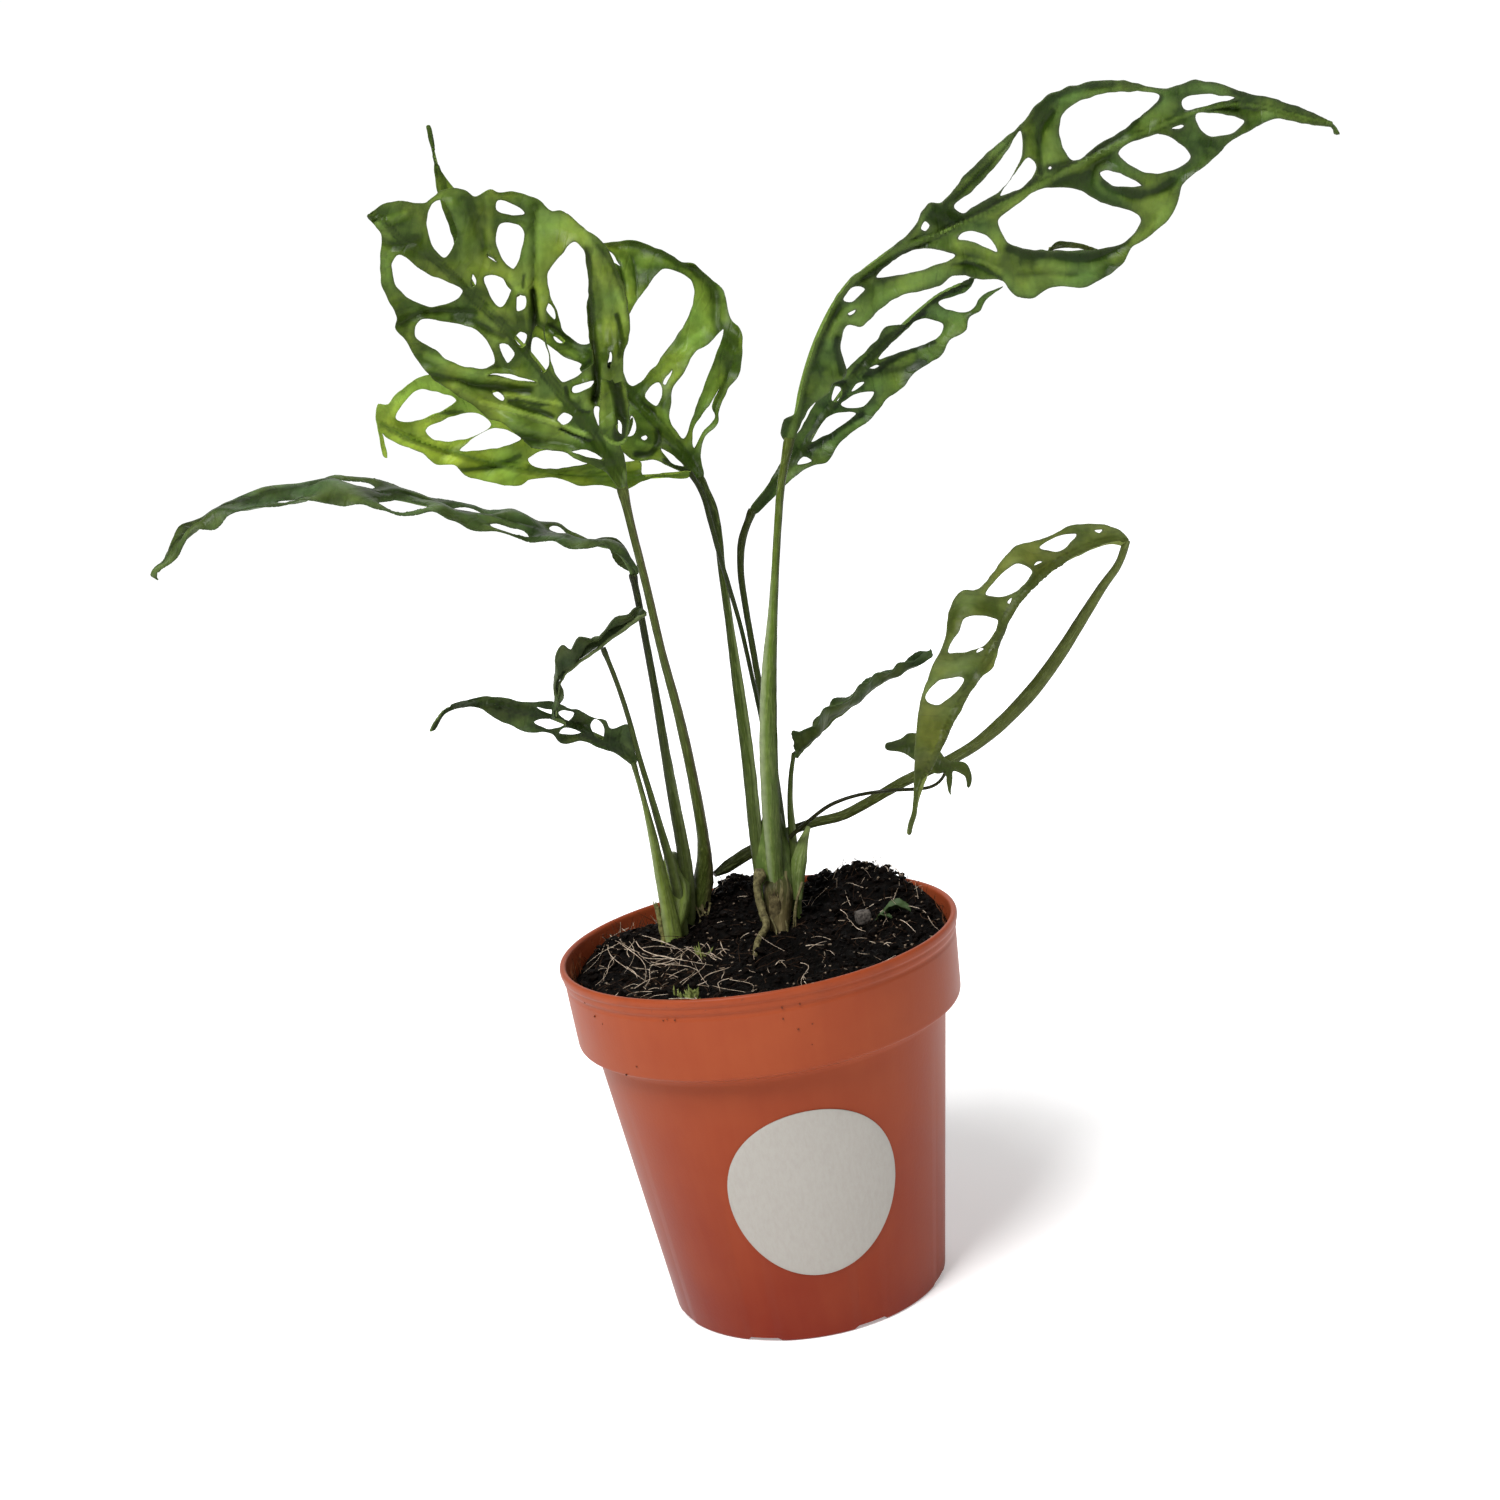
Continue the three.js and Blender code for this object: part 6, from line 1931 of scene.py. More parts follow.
UPPER_LEFT = FacingBlade(
    "leaf_upper_left",
    LeafSkin("mid green blade", "#2C3D09", "#687C30", "#273609", "#303C14"),
    base=(-18.5, 249, 0), tip=(-76, 334, -12), roll=-0.14, cup=-0.16, sag=5, wave=1.2, cell=0.6,
    midrib=[
        (-18.5, 249), (-21.5, 257), (-25, 266), (-29, 274), (-33, 281), (-38, 290), (-42, 296), (-47, 303),
        (-52, 309), (-57, 316), (-60, 320), (-68, 326), (-73, 333), (-76, 334)],
    outline=[
        (-19.6, 249), (-22, 253.5), (-26, 256.5), (-30, 258.8), (-34, 261.8), (-38, 262.8), (-42, 264),
        (-45, 267.5), (-49, 272), (-53, 274), (-56, 278), (-62, 283), (-66, 287), (-69, 291), (-72, 298.5),
        (-74.4, 303), (-73.5, 305.5), (-76, 315), (-75.3, 321), (-73.8, 329), (-76.3, 334), (-74, 335.7),
        (-70, 337), (-66, 336.6), (-60.5, 335.2), (-57.5, 336.8), (-53, 338.2), (-48.5, 337.2), (-46, 335),
        (-41.5, 336), (-39.5, 334.8), (-35, 334.6), (-29, 331.5), (-26, 328.2), (-22.5, 327.3),
        (-17, 321.5), (-13, 317.5), (-10.5, 311), (-9, 304), (-8.9, 297), (-9.8, 290.5), (-12, 286.5),
        (-12.9, 277), (-13, 271), (-15, 262.8), (-17, 261), (-16.5, 257.5), (-17.4, 249)],
    holes=[
        [(-72.5, 316), (-72, 321), (-70, 322.5), (-63, 316.5), (-57, 312.7), (-53.7, 310.5), (-56, 308),
         (-60, 307), (-65, 307.5), (-70, 311)],
        [(-69.5, 300), (-67, 304), (-62, 303), (-53, 299.5), (-49, 294), (-48.5, 289), (-52, 288),
         (-60, 291), (-64, 294.5)],
        [(-46, 294), (-44, 293.5), (-42.5, 290.5), (-45, 288.5)],
        [(-50.6, 281.7), (-48.2, 280.6), (-47.4, 279), (-48, 278.2), (-50, 279.6)],
        [(-33.7, 270.5), (-31.5, 272.5), (-29.3, 270.8), (-32, 269)],
        [(-31, 261.3), (-27, 261), (-22.5, 257.7), (-28.5, 259.5)],
        [(-60.8, 329), (-58, 335), (-55, 335), (-52.8, 325), (-57.5, 319.8), (-59.8, 323)],
        [(-40.8, 330.5), (-40, 332.9), (-36, 331.5), (-33.2, 328.3), (-37, 328.3)],
        [(-40.5, 326.5), (-37.5, 326.5), (-34.3, 323.8), (-38.8, 314), (-42.3, 320)],
        [(-47.3, 313), (-44.5, 313), (-42, 311.5), (-40.3, 309), (-41.6, 306.5), (-44.2, 304),
         (-45.6, 305), (-46.8, 308.5)],
        [(-38.6, 306.9), (-37.2, 306.4), (-36.7, 305), (-37.2, 303), (-38.6, 302.3), (-39.8, 302.4),
         (-39.6, 304.6)],
        [(-40, 296.3), (-38, 295.3), (-40, 292.3), (-41.8, 294.5)],
        [(-29.7, 311), (-25, 315.6), (-21, 318.8), (-18.4, 316), (-18.2, 312), (-18.6, 307), (-20.2, 299),
         (-20.9, 291), (-21, 285), (-24, 283), (-27.5, 281.5), (-30.5, 281), (-32, 283.5), (-32.7, 287),
         (-32.9, 292), (-33, 296.6), (-31.9, 298.6), (-31.4, 301.5), (-30.2, 304.3), (-30.1, 307.5)],
        [(-37.9, 290.3), (-37.3, 293), (-36.2, 296.3), (-35, 297.6), (-33.7, 296.8), (-33.35, 293),
         (-33.15, 288), (-33.3, 286.4), (-34.2, 285), (-35.2, 284.3), (-36.5, 287.3)],
        [(-28.2, 277.7), (-27.8, 279.2), (-25, 279.7), (-21.5, 279.9), (-22.5, 278.3), (-25, 277.6)],
        [(-17.2, 265), (-17.1, 267.2), (-16.5, 268.1), (-15.8, 267), (-15.7, 265.3), (-16.3, 263.8)],
        [(-51, 311), (-51.1, 312.6), (-50.2, 314.4), (-49.8, 313), (-50.2, 310.8)],
        [(-14.5, 263), (-13.5, 267.3), (-12.6, 268), (-12.9, 266)],
        [(-51, 286), (-48, 285.3), (-44, 283.5), (-38, 282), (-41, 283.5), (-47, 285.8)],
        [(-45.5, 318.3), (-43, 316.3), (-43.2, 316.8), (-45.3, 319)],
        [(-23, 270.5), (-22.5, 272.8), (-20.7, 272.3), (-21.3, 269.5), (-21.8, 267), (-22.5, 267.5)],
        [(-17, 283), (-16.4, 282.6), (-15.4, 286.8), (-15.7, 287.3), (-16.2, 286.5)]],
    folds=[
        ([(-30, 330), (-31, 322), (-32.3, 315), (-33.6, 309), (-34.6, 304), (-35.2, 299)], 2.4, -1.6,
          -0.35),
        ([(-34.4, 307), (-34.6, 302), (-35.4, 298), (-36.6, 294.5), (-38.2, 291.3)], 1.5, -0.8, -0.95),
        ([(-29.2, 328), (-30.4, 320), (-31.7, 313), (-32.9, 306), (-33.4, 299)], 1.3, 1, 0.35),
        ([(-39.6, 311), (-38, 316), (-36, 321), (-35, 325)], 1.8, 0.8, 0.4),
        ([(-39, 309), (-37.4, 303), (-37.8, 297)], 0.9, 0.3, 0.35),
        ([(-36.2, 312), (-37, 308.5)], 0.8, -0.4, -0.6),
        ([(-17.2, 316), (-18.6, 309), (-19.2, 302), (-19.8, 295), (-20, 288), (-20.6, 281), (-22, 275.5)],
          2.1, -1.6, -0.6),
        ([(-20.2, 290), (-20.4, 284), (-21, 278), (-22.3, 274)], 1.6, -0.8, -0.7),
        ([(-17.5, 320), (-15.3, 313), (-14.2, 305), (-14.8, 298), (-16, 290)], 1.7, 1, 0.35),
        ([(-11.9, 297), (-11.6, 291), (-12.8, 286)], 1.2, -0.6, -0.7),
        ([(-14.5, 317), (-12, 313), (-10.3, 308), (-9.6, 301)], 1.2, -0.8, -0.35),
        ([(-10.6, 304), (-10.4, 297), (-11, 291)], 1, 0.5, 0.4),
        ([(-13.2, 295), (-14, 289), (-14.8, 284)], 1, 0.4, 0.3),
        ([(-67, 288), (-60, 286), (-54, 283.6), (-48, 281.8), (-40, 280.3)], 2, -1.4, -0.5),
        ([(-67, 294), (-60, 289.5), (-54, 287), (-46, 286)], 1.6, 0.9, 0.4),
        ([(-51, 285.8), (-46, 284.2), (-42, 283), (-38, 282)], 0.9, 0.3, 0.9),
        ([(-60, 284), (-56, 279.8), (-50, 275.2), (-44, 270.5), (-38, 267)], 2.2, 1.2, 0.2),
        ([(-54, 278.8), (-49, 276.8), (-44, 274.4), (-39, 272.2), (-34, 269.6), (-29, 266.6),
          (-25, 264.6)], 0.8, 0.9, 0.75),
        ([(-47, 279.6), (-42, 278.5), (-37, 276.6), (-32, 275)], 0.8, 0.4, 0.55),
        ([(-46, 277.8), (-42, 275), (-38, 273.5), (-35, 271.8)], 1.5, -0.9, -0.6),
        ([(-44, 278), (-39, 276), (-35, 275.4)], 1, -0.4, -0.4),
        ([(-33, 268.2), (-29, 265.4), (-26, 263.4)], 0.9, -0.9, -0.8),
        ([(-31.5, 268.8), (-28, 266.6), (-26, 265.6)], 0.6, 0.3, 0.5),
        ([(-46, 268), (-41, 266), (-36, 264.6), (-30, 262.6)], 2.2, -1.2, -0.35),
        ([(-74, 304), (-66, 305.7), (-58, 305.2), (-52, 303.6)], 2, -1.2, -0.4),
        ([(-58, 303), (-52, 301), (-48, 298), (-45, 296)], 1.6, -0.8, -0.4),
        ([(-76, 331), (-71, 332), (-66, 333)], 1.6, 1.2, 0.25),
        ([(-74, 327), (-70, 325), (-64, 326)], 2, -1, -0.3),
        ([(-48, 335), (-47, 328), (-45.5, 321)], 2.6, -1.4, -0.3),
        ([(-52.5, 334), (-51, 326), (-52, 319)], 1.8, 1, 0.2),
        ([(-42.8, 334), (-42.9, 328), (-44.4, 322), (-45.6, 316)], 1.4, 0.8, 0.25),
        ([(-46.8, 303.6), (-43, 302.5), (-41.5, 299)], 2, 0.6, 0.3),
        ([(-28.5, 276), (-25.5, 276.2), (-24.4, 273)], 1.6, 0.8, 0.35),
        ([(-29.6, 279.5), (-29.4, 276), (-27.5, 272.6), (-24.5, 271.5)], 0.8, -0.5, -0.6)],
    light_and_shade_spots=[(-25, 322, 5, 0.35), (-67, 328, 6, 0.05), (-58, 303, 4, -0.12), (-24, 258, 3, -0.25)])

UPPER_MIDDLE = FacingBlade(
    "leaf_upper_middle",
    LeafSkin("lime-tinted green blade", "#2F420B", "#6E862F", "#2B3E09", "#344416"),
    base=(3.8, 248, 27.5), tip=(-55.5, 338, 32), roll=0.12, cup=0.1, sag=9, wave=1.2, cell=0.6,
    midrib=[
        (4, 248), (1, 254), (-4, 263), (-9, 270), (-15, 279), (-21, 286), (-28, 292), (-36, 300),
        (-40, 301), (-46, 304), (-50, 310), (-52, 318), (-51, 328), (-54, 338), (-55.5, 354)],
    outline=[
        (3, 247.6), (-1, 250.8), (-5, 253.5), (-9, 255.4), (-13, 255.6), (-18, 260), (-22.5, 265.5),
        (-27, 272.5), (-32, 279), (-37, 286), (-41.5, 293), (-46, 301), (-50, 309), (-53, 318),
        (-54.5, 328), (-56, 337), (-55.7, 347), (-55.9, 355.8), (-55.1, 355.8), (-54.7, 345),
        (-51.5, 338.2), (-47, 330), (-43.5, 318), (-41, 309), (-36, 306), (-34, 312), (-31, 322),
        (-27, 327.5), (-22, 325.5), (-17.5, 320.5), (-13, 317.3), (-8, 317), (-4, 316.6), (0, 314.5),
        (5, 311.5), (8, 309), (12, 307), (15, 303.5), (18.5, 299), (19.5, 291.5), (22, 287), (21.3, 281.5),
        (19.5, 275.5), (16, 272.3), (12.3, 266), (11.3, 262.5), (7, 259.5), (5.3, 255.5), (4.7, 248)],
    holes=[
        [(3, 307.5), (-3, 303), (-8.5, 297), (-12, 291), (-12.5, 280), (-11, 276.7), (-5, 280.3), (1, 286),
         (7, 292.5), (10.2, 299.5), (10, 303.5)],
        [(-3.5, 276.9), (-6.5, 275.5), (-8, 273.3), (-5.2, 270.2), (-2.8, 274.2)],
        [(-2.3, 276.5), (0.9, 279.8), (-1.6, 275.8)],
        [(-2, 265.5), (-1.2, 270), (0.5, 275), (4, 278.3), (8, 283.5), (13, 285.7), (17, 288.7),
         (13, 280.5), (7, 270), (1, 260), (-0.3, 261.5)],
        [(3.6, 257), (4, 261.5), (10, 268.5), (13.5, 272.7), (10.5, 267.8), (11, 264.8), (6.4, 260.6)],
        [(-5.8, 258.2), (-3.5, 254), (-0.2, 252), (-2.5, 256)],
        [(-30.2, 309.5), (-29.9, 311), (-25, 315.6), (-21, 319.2), (-17.6, 314), (-17.6, 308),
         (-19.8, 297), (-20.9, 290.6), (-23.2, 290.4), (-26.4, 293), (-28.2, 295.4), (-28.4, 299.2),
         (-29.3, 303), (-30.1, 306)],
        [(-37.8, 291), (-36.5, 294.3), (-34.6, 293.6), (-31.2, 290.2), (-28, 287.4), (-24.2, 284.9),
         (-25, 283.8), (-24.6, 282.6), (-21, 281.2), (-21, 279.5), (-22.5, 278.2), (-25, 277.5),
         (-28.5, 277.5), (-33, 281), (-36, 284.5), (-37.6, 288)],
        [(-41.7, 295.5), (-39.5, 297.2), (-37.6, 295), (-40, 292.2)],
        [(-12.8, 315.5), (-11, 314.5), (-9.3, 311), (-9, 310.3), (-11, 312)],
        [(-47.5, 313.3), (-44.5, 313.3), (-41.8, 311.8), (-40, 309), (-41.4, 306.2), (-44.2, 303.7),
         (-45.9, 305), (-47.1, 308.5)],
        [(-38.6, 307.1), (-37, 306.6), (-36.5, 305), (-37, 302.8), (-38.6, 302.1), (-40, 302.2),
         (-39.8, 304.8)],
        [(-45.7, 318.5), (-42.8, 316.3), (-43, 315.9), (-45.7, 317.8)],
        [(-31.3, 303.4), (-30, 302.8), (-29.2, 299.4), (-29.7, 298.5), (-30.8, 299.8), (-31.5, 301.5)],
        [(-30.8, 293.8), (-29.4, 293.6), (-28, 292), (-28.8, 291.6), (-30.2, 292.3)],
        [(-23.4, 272.6), (-21.3, 272.5), (-21.6, 270), (-21.2, 267.4), (-22.3, 267.2), (-23.6, 270)],
        [(-17.4, 265), (-17.3, 267.4), (-16.5, 268.4), (-15.6, 267), (-15.5, 265.3), (-16.3, 263.5)],
        [(-14.8, 263), (-13.4, 267.6), (-12.6, 268.6), (-11.9, 265.4), (-13, 263.2)],
        [(-17.2, 283.2), (-16.6, 286.6), (-15.6, 287.6), (-15.1, 286.4), (-16, 283.4), (-16.6, 282.3)],
        [(-10.9, 262.3), (-9.6, 262.6), (-9.2, 261.8), (-10.2, 261.4)],
        [(-51.3, 311), (-51.3, 312.8), (-50.2, 314.6), (-49.6, 313), (-50, 310.6)]],
    folds=[
        ([(-31, 296.6), (-27.5, 293.2), (-24, 291.4), (-21.4, 290.6)], 1.4, -0.8, -0.85),
        ([(-36, 297), (-31, 292.6), (-27, 289.3), (-23, 286.6)], 1.6, 0.8, 0.3),
        ([(-20, 286.5), (-23, 284.6), (-27, 282)], 0.9, -0.3, -0.5),
        ([(-11, 316), (-4, 315.6), (0, 313.6), (5, 310.6), (10, 307)], 1.8, -0.8, -0.45),
        ([(-8.3, 311), (-7.3, 306), (-8.2, 300.5)], 1.5, 0.8, 0.4),
        ([(-9.3, 311), (-9, 305), (-9.3, 299)], 0.9, -0.6, -0.8),
        ([(-5.4, 312), (-5, 306), (-6, 302)], 0.9, -0.4, -0.3),
        ([(-3, 311), (2, 310), (5, 308)], 2, 0.6, 0.2),
        ([(12, 306), (16, 299), (15.5, 290), (19, 284)], 2.6, -1.4, -0.4),
        ([(-10, 278.6), (-4, 282.8), (2, 288.6), (8, 296)], 2, -1, -0.2),
        ([(2, 283), (7, 286.3), (12, 288.6)], 1.4, 0.6, 0.3),
        ([(-12.5, 275), (-10, 271.8), (-6, 268.8)], 1.4, -0.8, -0.4),
        ([(-4.4, 269), (-2, 266), (0, 261)], 1.6, 0.6, 0.35),
        ([(-13, 257.6), (-9, 257.2), (-6.6, 259.5), (-5.6, 263)], 1.5, -0.8, -0.7),
        ([(-12, 261), (-9, 259.4), (-6.2, 258.8)], 1, 0.3, 0.3),
        ([(-5, 254.6), (-1, 251.6), (2.5, 248.8)], 1.1, -0.5, -0.85),
        ([(18, 279), (14, 272), (10, 265)], 1.3, -0.6, -0.4)],
    light_and_shade_spots=[(15, 296, 3, -0.1), (-12, 262, 3, -0.3), (0, 290, 3, 0.1), (-3, 264, 3, 0.2)])

LOWER_LEFT = FacingBlade(
    "leaf_lower_left",
    LeafSkin("bright lime blade", "#4B6215", "#90A93C", "#435B16", "#60752B", bias=0.1),
    base=(1.6, 249.6, 21.5), tip=(-84, 276, 6), roll=-0.05, cup=0.08, sag=3, wave=1.2, cell=0.7,
    heart=0.12,
    midrib=[
        (1.6, 249.8), (-12, 251), (-22, 252.5), (-30, 254), (-44, 258), (-55, 262), (-66, 267), (-76, 272),
        (-83, 277)],
    outline=[
        (1, 249.1), (-5, 249.8), (-10, 250.3), (-15, 248.8), (-19, 248.2), (-24, 250.5), (-31, 251.3),
        (-36, 254.3), (-44, 255.2), (-48, 253.8), (-57, 256.7), (-62, 259), (-65, 262.5), (-69.5, 263.2),
        (-73.5, 267.5), (-77, 269.5), (-82.5, 273), (-83.2, 274.5), (-83.4, 267.4), (-84.2, 268),
        (-84.4, 276), (-84, 281), (-83, 282.8), (-80.5, 282.2), (-77, 285), (-71, 288), (-67, 288.5),
        (-60, 285), (-52, 282.3), (-46, 280.3), (-39, 278.8), (-33, 275.6), (-28, 269.5), (-23, 262),
        (-19, 256.5), (-12.3, 255.3), (-12, 251.6), (-6, 251), (1.2, 250.4)],
    holes=[
        [(-79, 278), (-75.5, 282.3), (-71, 285), (-66, 283.5), (-61, 280.3), (-70, 277), (-77, 276.6)],
        [(-71, 273.5), (-66, 275.5), (-56, 276), (-52.5, 272.2), (-60, 269.4), (-69.5, 270.6)],
        [(-62.5, 266.3), (-58, 269.3), (-51, 271), (-44.8, 267), (-50, 265.6)],
        [(-43.8, 261), (-42, 258.3), (-36, 257), (-25, 257.3), (-22.5, 258.4), (-27, 262), (-35, 263)],
        [(-34, 270.5), (-31.5, 272.8), (-29.2, 270.6), (-32, 268.8)],
        [(-51, 280.6), (-48, 280.6), (-46.8, 278.5), (-49.5, 278.2)]],
    folds=[
        ([(-74, 262), (-62, 260.6), (-52, 260.6), (-46, 262.4)], 1.2, -0.48, -0.52),
        ([(-66, 264), (-58, 263.4), (-50, 264)], 2.4, 0.64, 0.45),
        ([(-62, 258.6), (-54, 257.6), (-46, 258.6)], 2.2, 0.48, 0.3),
        ([(-60, 276.6), (-66, 278)], 1, -0.4, -0.72),
        ([(-44, 258.4), (-34, 256.6), (-26, 256.4), (-21, 254.6)], 1.2, -0.32, -0.32),
        ([(-34, 253.6), (-28, 252.6), (-20, 252.4)], 1.8, 0.4, 0.3)])

TOP_RIGHT = FacingBlade(
    "leaf_top_right",
    LeafSkin("deep green blade", "#223409", "#5A702F", "#465922", "#39412B", patch_mm=12, bias=-0.04),
    base=(31, 255, 20), tip=(195, 318, -14), roll=0.1, cup=-0.14, sag=-4, wave=1.4, cell=0.7, heart=0.08,
    midrib=[
        (31, 255), (34, 262), (36, 268), (40, 277), (44, 284), (50, 292), (56, 297), (63, 301),
        (70, 303.5), (76, 304.5), (92, 308.5), (107, 313.5), (112, 315), (125, 319.5), (135, 322.5),
        (145, 325), (155, 327.5), (165, 328.5), (175, 326.5), (185, 322.5), (194, 319)],
    outline=[
        (29.6, 255), (28.8, 257), (30.3, 260.8), (33.3, 262), (36, 268), (40.5, 278), (43.5, 283.5),
        (50.5, 293), (55, 297.3), (65, 302.5), (73.5, 307.5), (79.5, 314.4), (83, 313.9), (90, 320),
        (100, 327), (107, 331), (114, 337), (119, 339), (130, 340), (137, 339), (149, 335.2),
        (157.5, 336.2), (165, 333.8), (170, 331.2), (179, 328), (190, 322.3), (195, 318.5), (196.2, 315.8),
        (194.9, 316), (194.2, 317.7), (187, 320), (178, 322.6), (172, 320.7), (166.5, 318.8), (158, 313),
        (151, 309), (149.5, 305.5), (146.5, 300.5), (140, 296), (135, 293.8), (132, 290), (126, 286.7),
        (119, 284.8), (111, 286.4), (105, 284), (99.5, 286), (97, 290), (91, 291.3), (84, 293.7),
        (79, 291.3), (68, 290.2), (61, 287), (56, 283.5), (52, 284.3), (49.2, 279), (49.5, 270.5),
        (45.5, 268.8), (44, 266.5), (38.5, 263.5), (34, 257.7), (32.4, 255)],
    holes=[
        [(119, 332), (125, 335.5), (135, 336.3), (147, 333.6), (138, 327), (129, 323), (121, 319.7),
         (118.3, 325)],
        [(153.3, 331.5), (158, 332.3), (168, 330), (158, 328.8), (154, 328.7)],
        [(156.5, 327), (163, 326.5), (170, 323.4), (169.2, 322.1), (164.8, 320.2), (159, 321)],
        [(134, 320), (143, 323.2), (148, 322.7), (154, 315.7), (147, 312.7), (140, 314)],
        [(128, 315.3), (131, 315.6), (139.5, 310.2), (131, 311.5)],
        [(98, 306.5), (103, 309.7), (111, 313.4), (121, 311.7), (129, 306.5), (136, 303.5), (138, 300.5),
         (133, 295.5), (124, 294.6), (113, 296), (104, 298), (100, 300.5)],
        [(86.2, 303.5), (88, 305), (94.5, 303.3), (96.8, 298.4), (91, 301.5)],
        [(62, 296.4), (67.5, 300.3), (76, 302.3), (84.8, 299), (80, 297.2)],
        [(51.8, 291.5), (55, 294.7), (58.3, 293.9), (54, 290.6)],
        [(76.2, 307.6), (77.4, 309.5), (78.6, 308.2), (77.3, 306.7)],
        [(86, 312.2), (92, 316), (101, 323), (107.3, 330), (107, 323.5), (100.5, 315.3), (92, 311.6),
         (88, 310.1)],
        [(99.5, 313.2), (105, 319.3), (109, 322.6), (110.7, 319.5), (107, 315.2)],
        [(149.5, 324.3), (152, 324.8), (153, 324.3), (152, 323.7)],
        [(52.5, 287.5), (54.8, 288.2), (54.5, 287.5), (53, 287)],
        [(113.7, 318.6), (114.3, 319.3), (114.8, 318.7), (114.3, 318.2)]],
    folds=[
        ([(31, 262.5), (33.8, 264.5), (37, 272), (41, 280.5), (46, 289), (51, 294.5), (57, 298.8),
          (65, 301.8), (72, 305.3), (76, 308)], 1.2, 0.24, 0.6),
        ([(58, 296.8), (66, 299.8), (72, 302.4), (80, 305), (90, 308.6), (100, 312), (110, 316.6)], 1.3,
          -0.64, -0.53),
        ([(78, 303.9), (86, 306.3), (95, 308.2), (103, 310.6), (112, 314.4), (120, 317.4), (130, 320.6),
          (139, 323.8)], 1.2, 0.32, 0.4),
        ([(79, 313), (82, 310), (87, 308.2)], 4.5, -1.12, -0.37),
        ([(76, 309.5), (79.3, 313.8)], 1, 0.32, 0.4),
        ([(84, 313.5), (92, 318.3), (100, 324.5), (107, 330.4)], 1.3, -0.64, -0.22),
        ([(88, 317.2), (95, 321.8), (102, 327.2)], 1, 0.4, 0.3),
        ([(89, 310.8), (94, 312.8), (98, 312.4)], 1.8, -0.48, -0.31),
        ([(48.5, 281), (48.6, 276), (48.9, 271.5)], 1.9, -1.12, -0.59),
        ([(37, 270.5), (41, 273), (45, 271)], 3.5, 0.64, -0.19),
        ([(41, 275), (45, 283), (50, 289.5)], 2, -0.8, -0.25),
        ([(45.5, 279.5), (50, 286), (54, 289)], 1.6, 0.64, 0.25),
        ([(54, 287), (60, 290.6), (68, 293.4), (76, 294.3), (84, 295.4)], 3.6, 0.8, 0.4),
        ([(62, 294.6), (70, 295.6), (78, 296)], 1.3, -0.4, -0.12),
        ([(84, 297), (90, 295.4), (94, 293), (97, 290.6)], 1.1, -0.64, -0.46),
        ([(79, 297.2), (86, 297.8), (92, 296.2), (97, 293)], 1, 0.48, 0.45),
        ([(87, 302), (91, 300), (96, 297)], 3, 0.72, 0.4),
        ([(104, 295), (106, 293.6)], 2.6, -0.64, -0.22),
        ([(99, 289), (104, 286.8), (110, 288), (118, 286.4), (124, 288.4)], 3.2, 0.8, 0.35),
        ([(102, 291.3), (110, 290.5), (118, 288.6)], 1.2, -0.48, -0.22),
        ([(111, 332), (114.5, 336), (120, 338.3), (128, 339.4), (136, 338.8), (143, 337)], 1.6, -0.64,
          -0.22),
        ([(129, 338.6), (134, 338)], 2.4, -0.48, -0.25),
        ([(120, 336.2), (126, 336.8), (132, 336.8)], 1.4, 0.4, 0.2),
        ([(111.5, 318), (112, 325), (113.5, 330), (117, 333.6)], 1.5, -0.8, -0.46),
        ([(114.8, 327.5), (115.2, 321.5)], 1.9, 0.64, 0.3),
        ([(109, 323.5), (109.2, 330)], 1.2, 0.32, 0.15),
        ([(114, 318.8), (120, 319.6), (128, 322.3), (136, 326), (143, 330.5), (147, 333)], 1.9, -0.96,
          -0.56),
        ([(117, 315), (124, 315.8), (130, 318.8)], 3.6, -0.64, -0.22),
        ([(127, 312), (131, 308.6), (136, 305.6)], 2, 0.56, 0.2),
        ([(129.6, 312.2), (136, 308.6), (142, 307.8), (148, 309.8)], 2.2, -0.96, -0.43),
        ([(141, 305.4), (146, 304.4), (143, 299)], 3, 0.64, 0.3),
        ([(158, 316.6), (163, 313.5)], 1.5, -0.4, -0.22),
        ([(145, 326), (150, 330.4)], 3.2, 0.56, 0.2),
        ([(154, 334.4), (160, 334.4), (166, 332.2)], 1.6, 0.4, 0.25),
        ([(160, 335.6), (168, 331.6), (176, 329.8), (184, 326.4), (192, 321.8)], 1.3, -0.48, -0.34),
        ([(154, 329), (161, 328.4), (168, 326.8)], 1.4, -0.56, -0.34),
        ([(172, 324), (180, 323.4), (188, 320.6)], 1.2, 0.32, 0.2),
        ([(100, 298.8), (106, 296.4), (112, 294.9), (120, 293.2), (128, 293.4), (134, 296.4)], 1.9, -0.8,
          -0.53),
        ([(108, 292), (113, 291.2), (119, 290), (126, 290.8), (132, 292.2)], 1.8, 0.64, 0.3),
        ([(136, 295.6), (141, 297.8), (146, 301)], 2, 0.48, 0.25)])

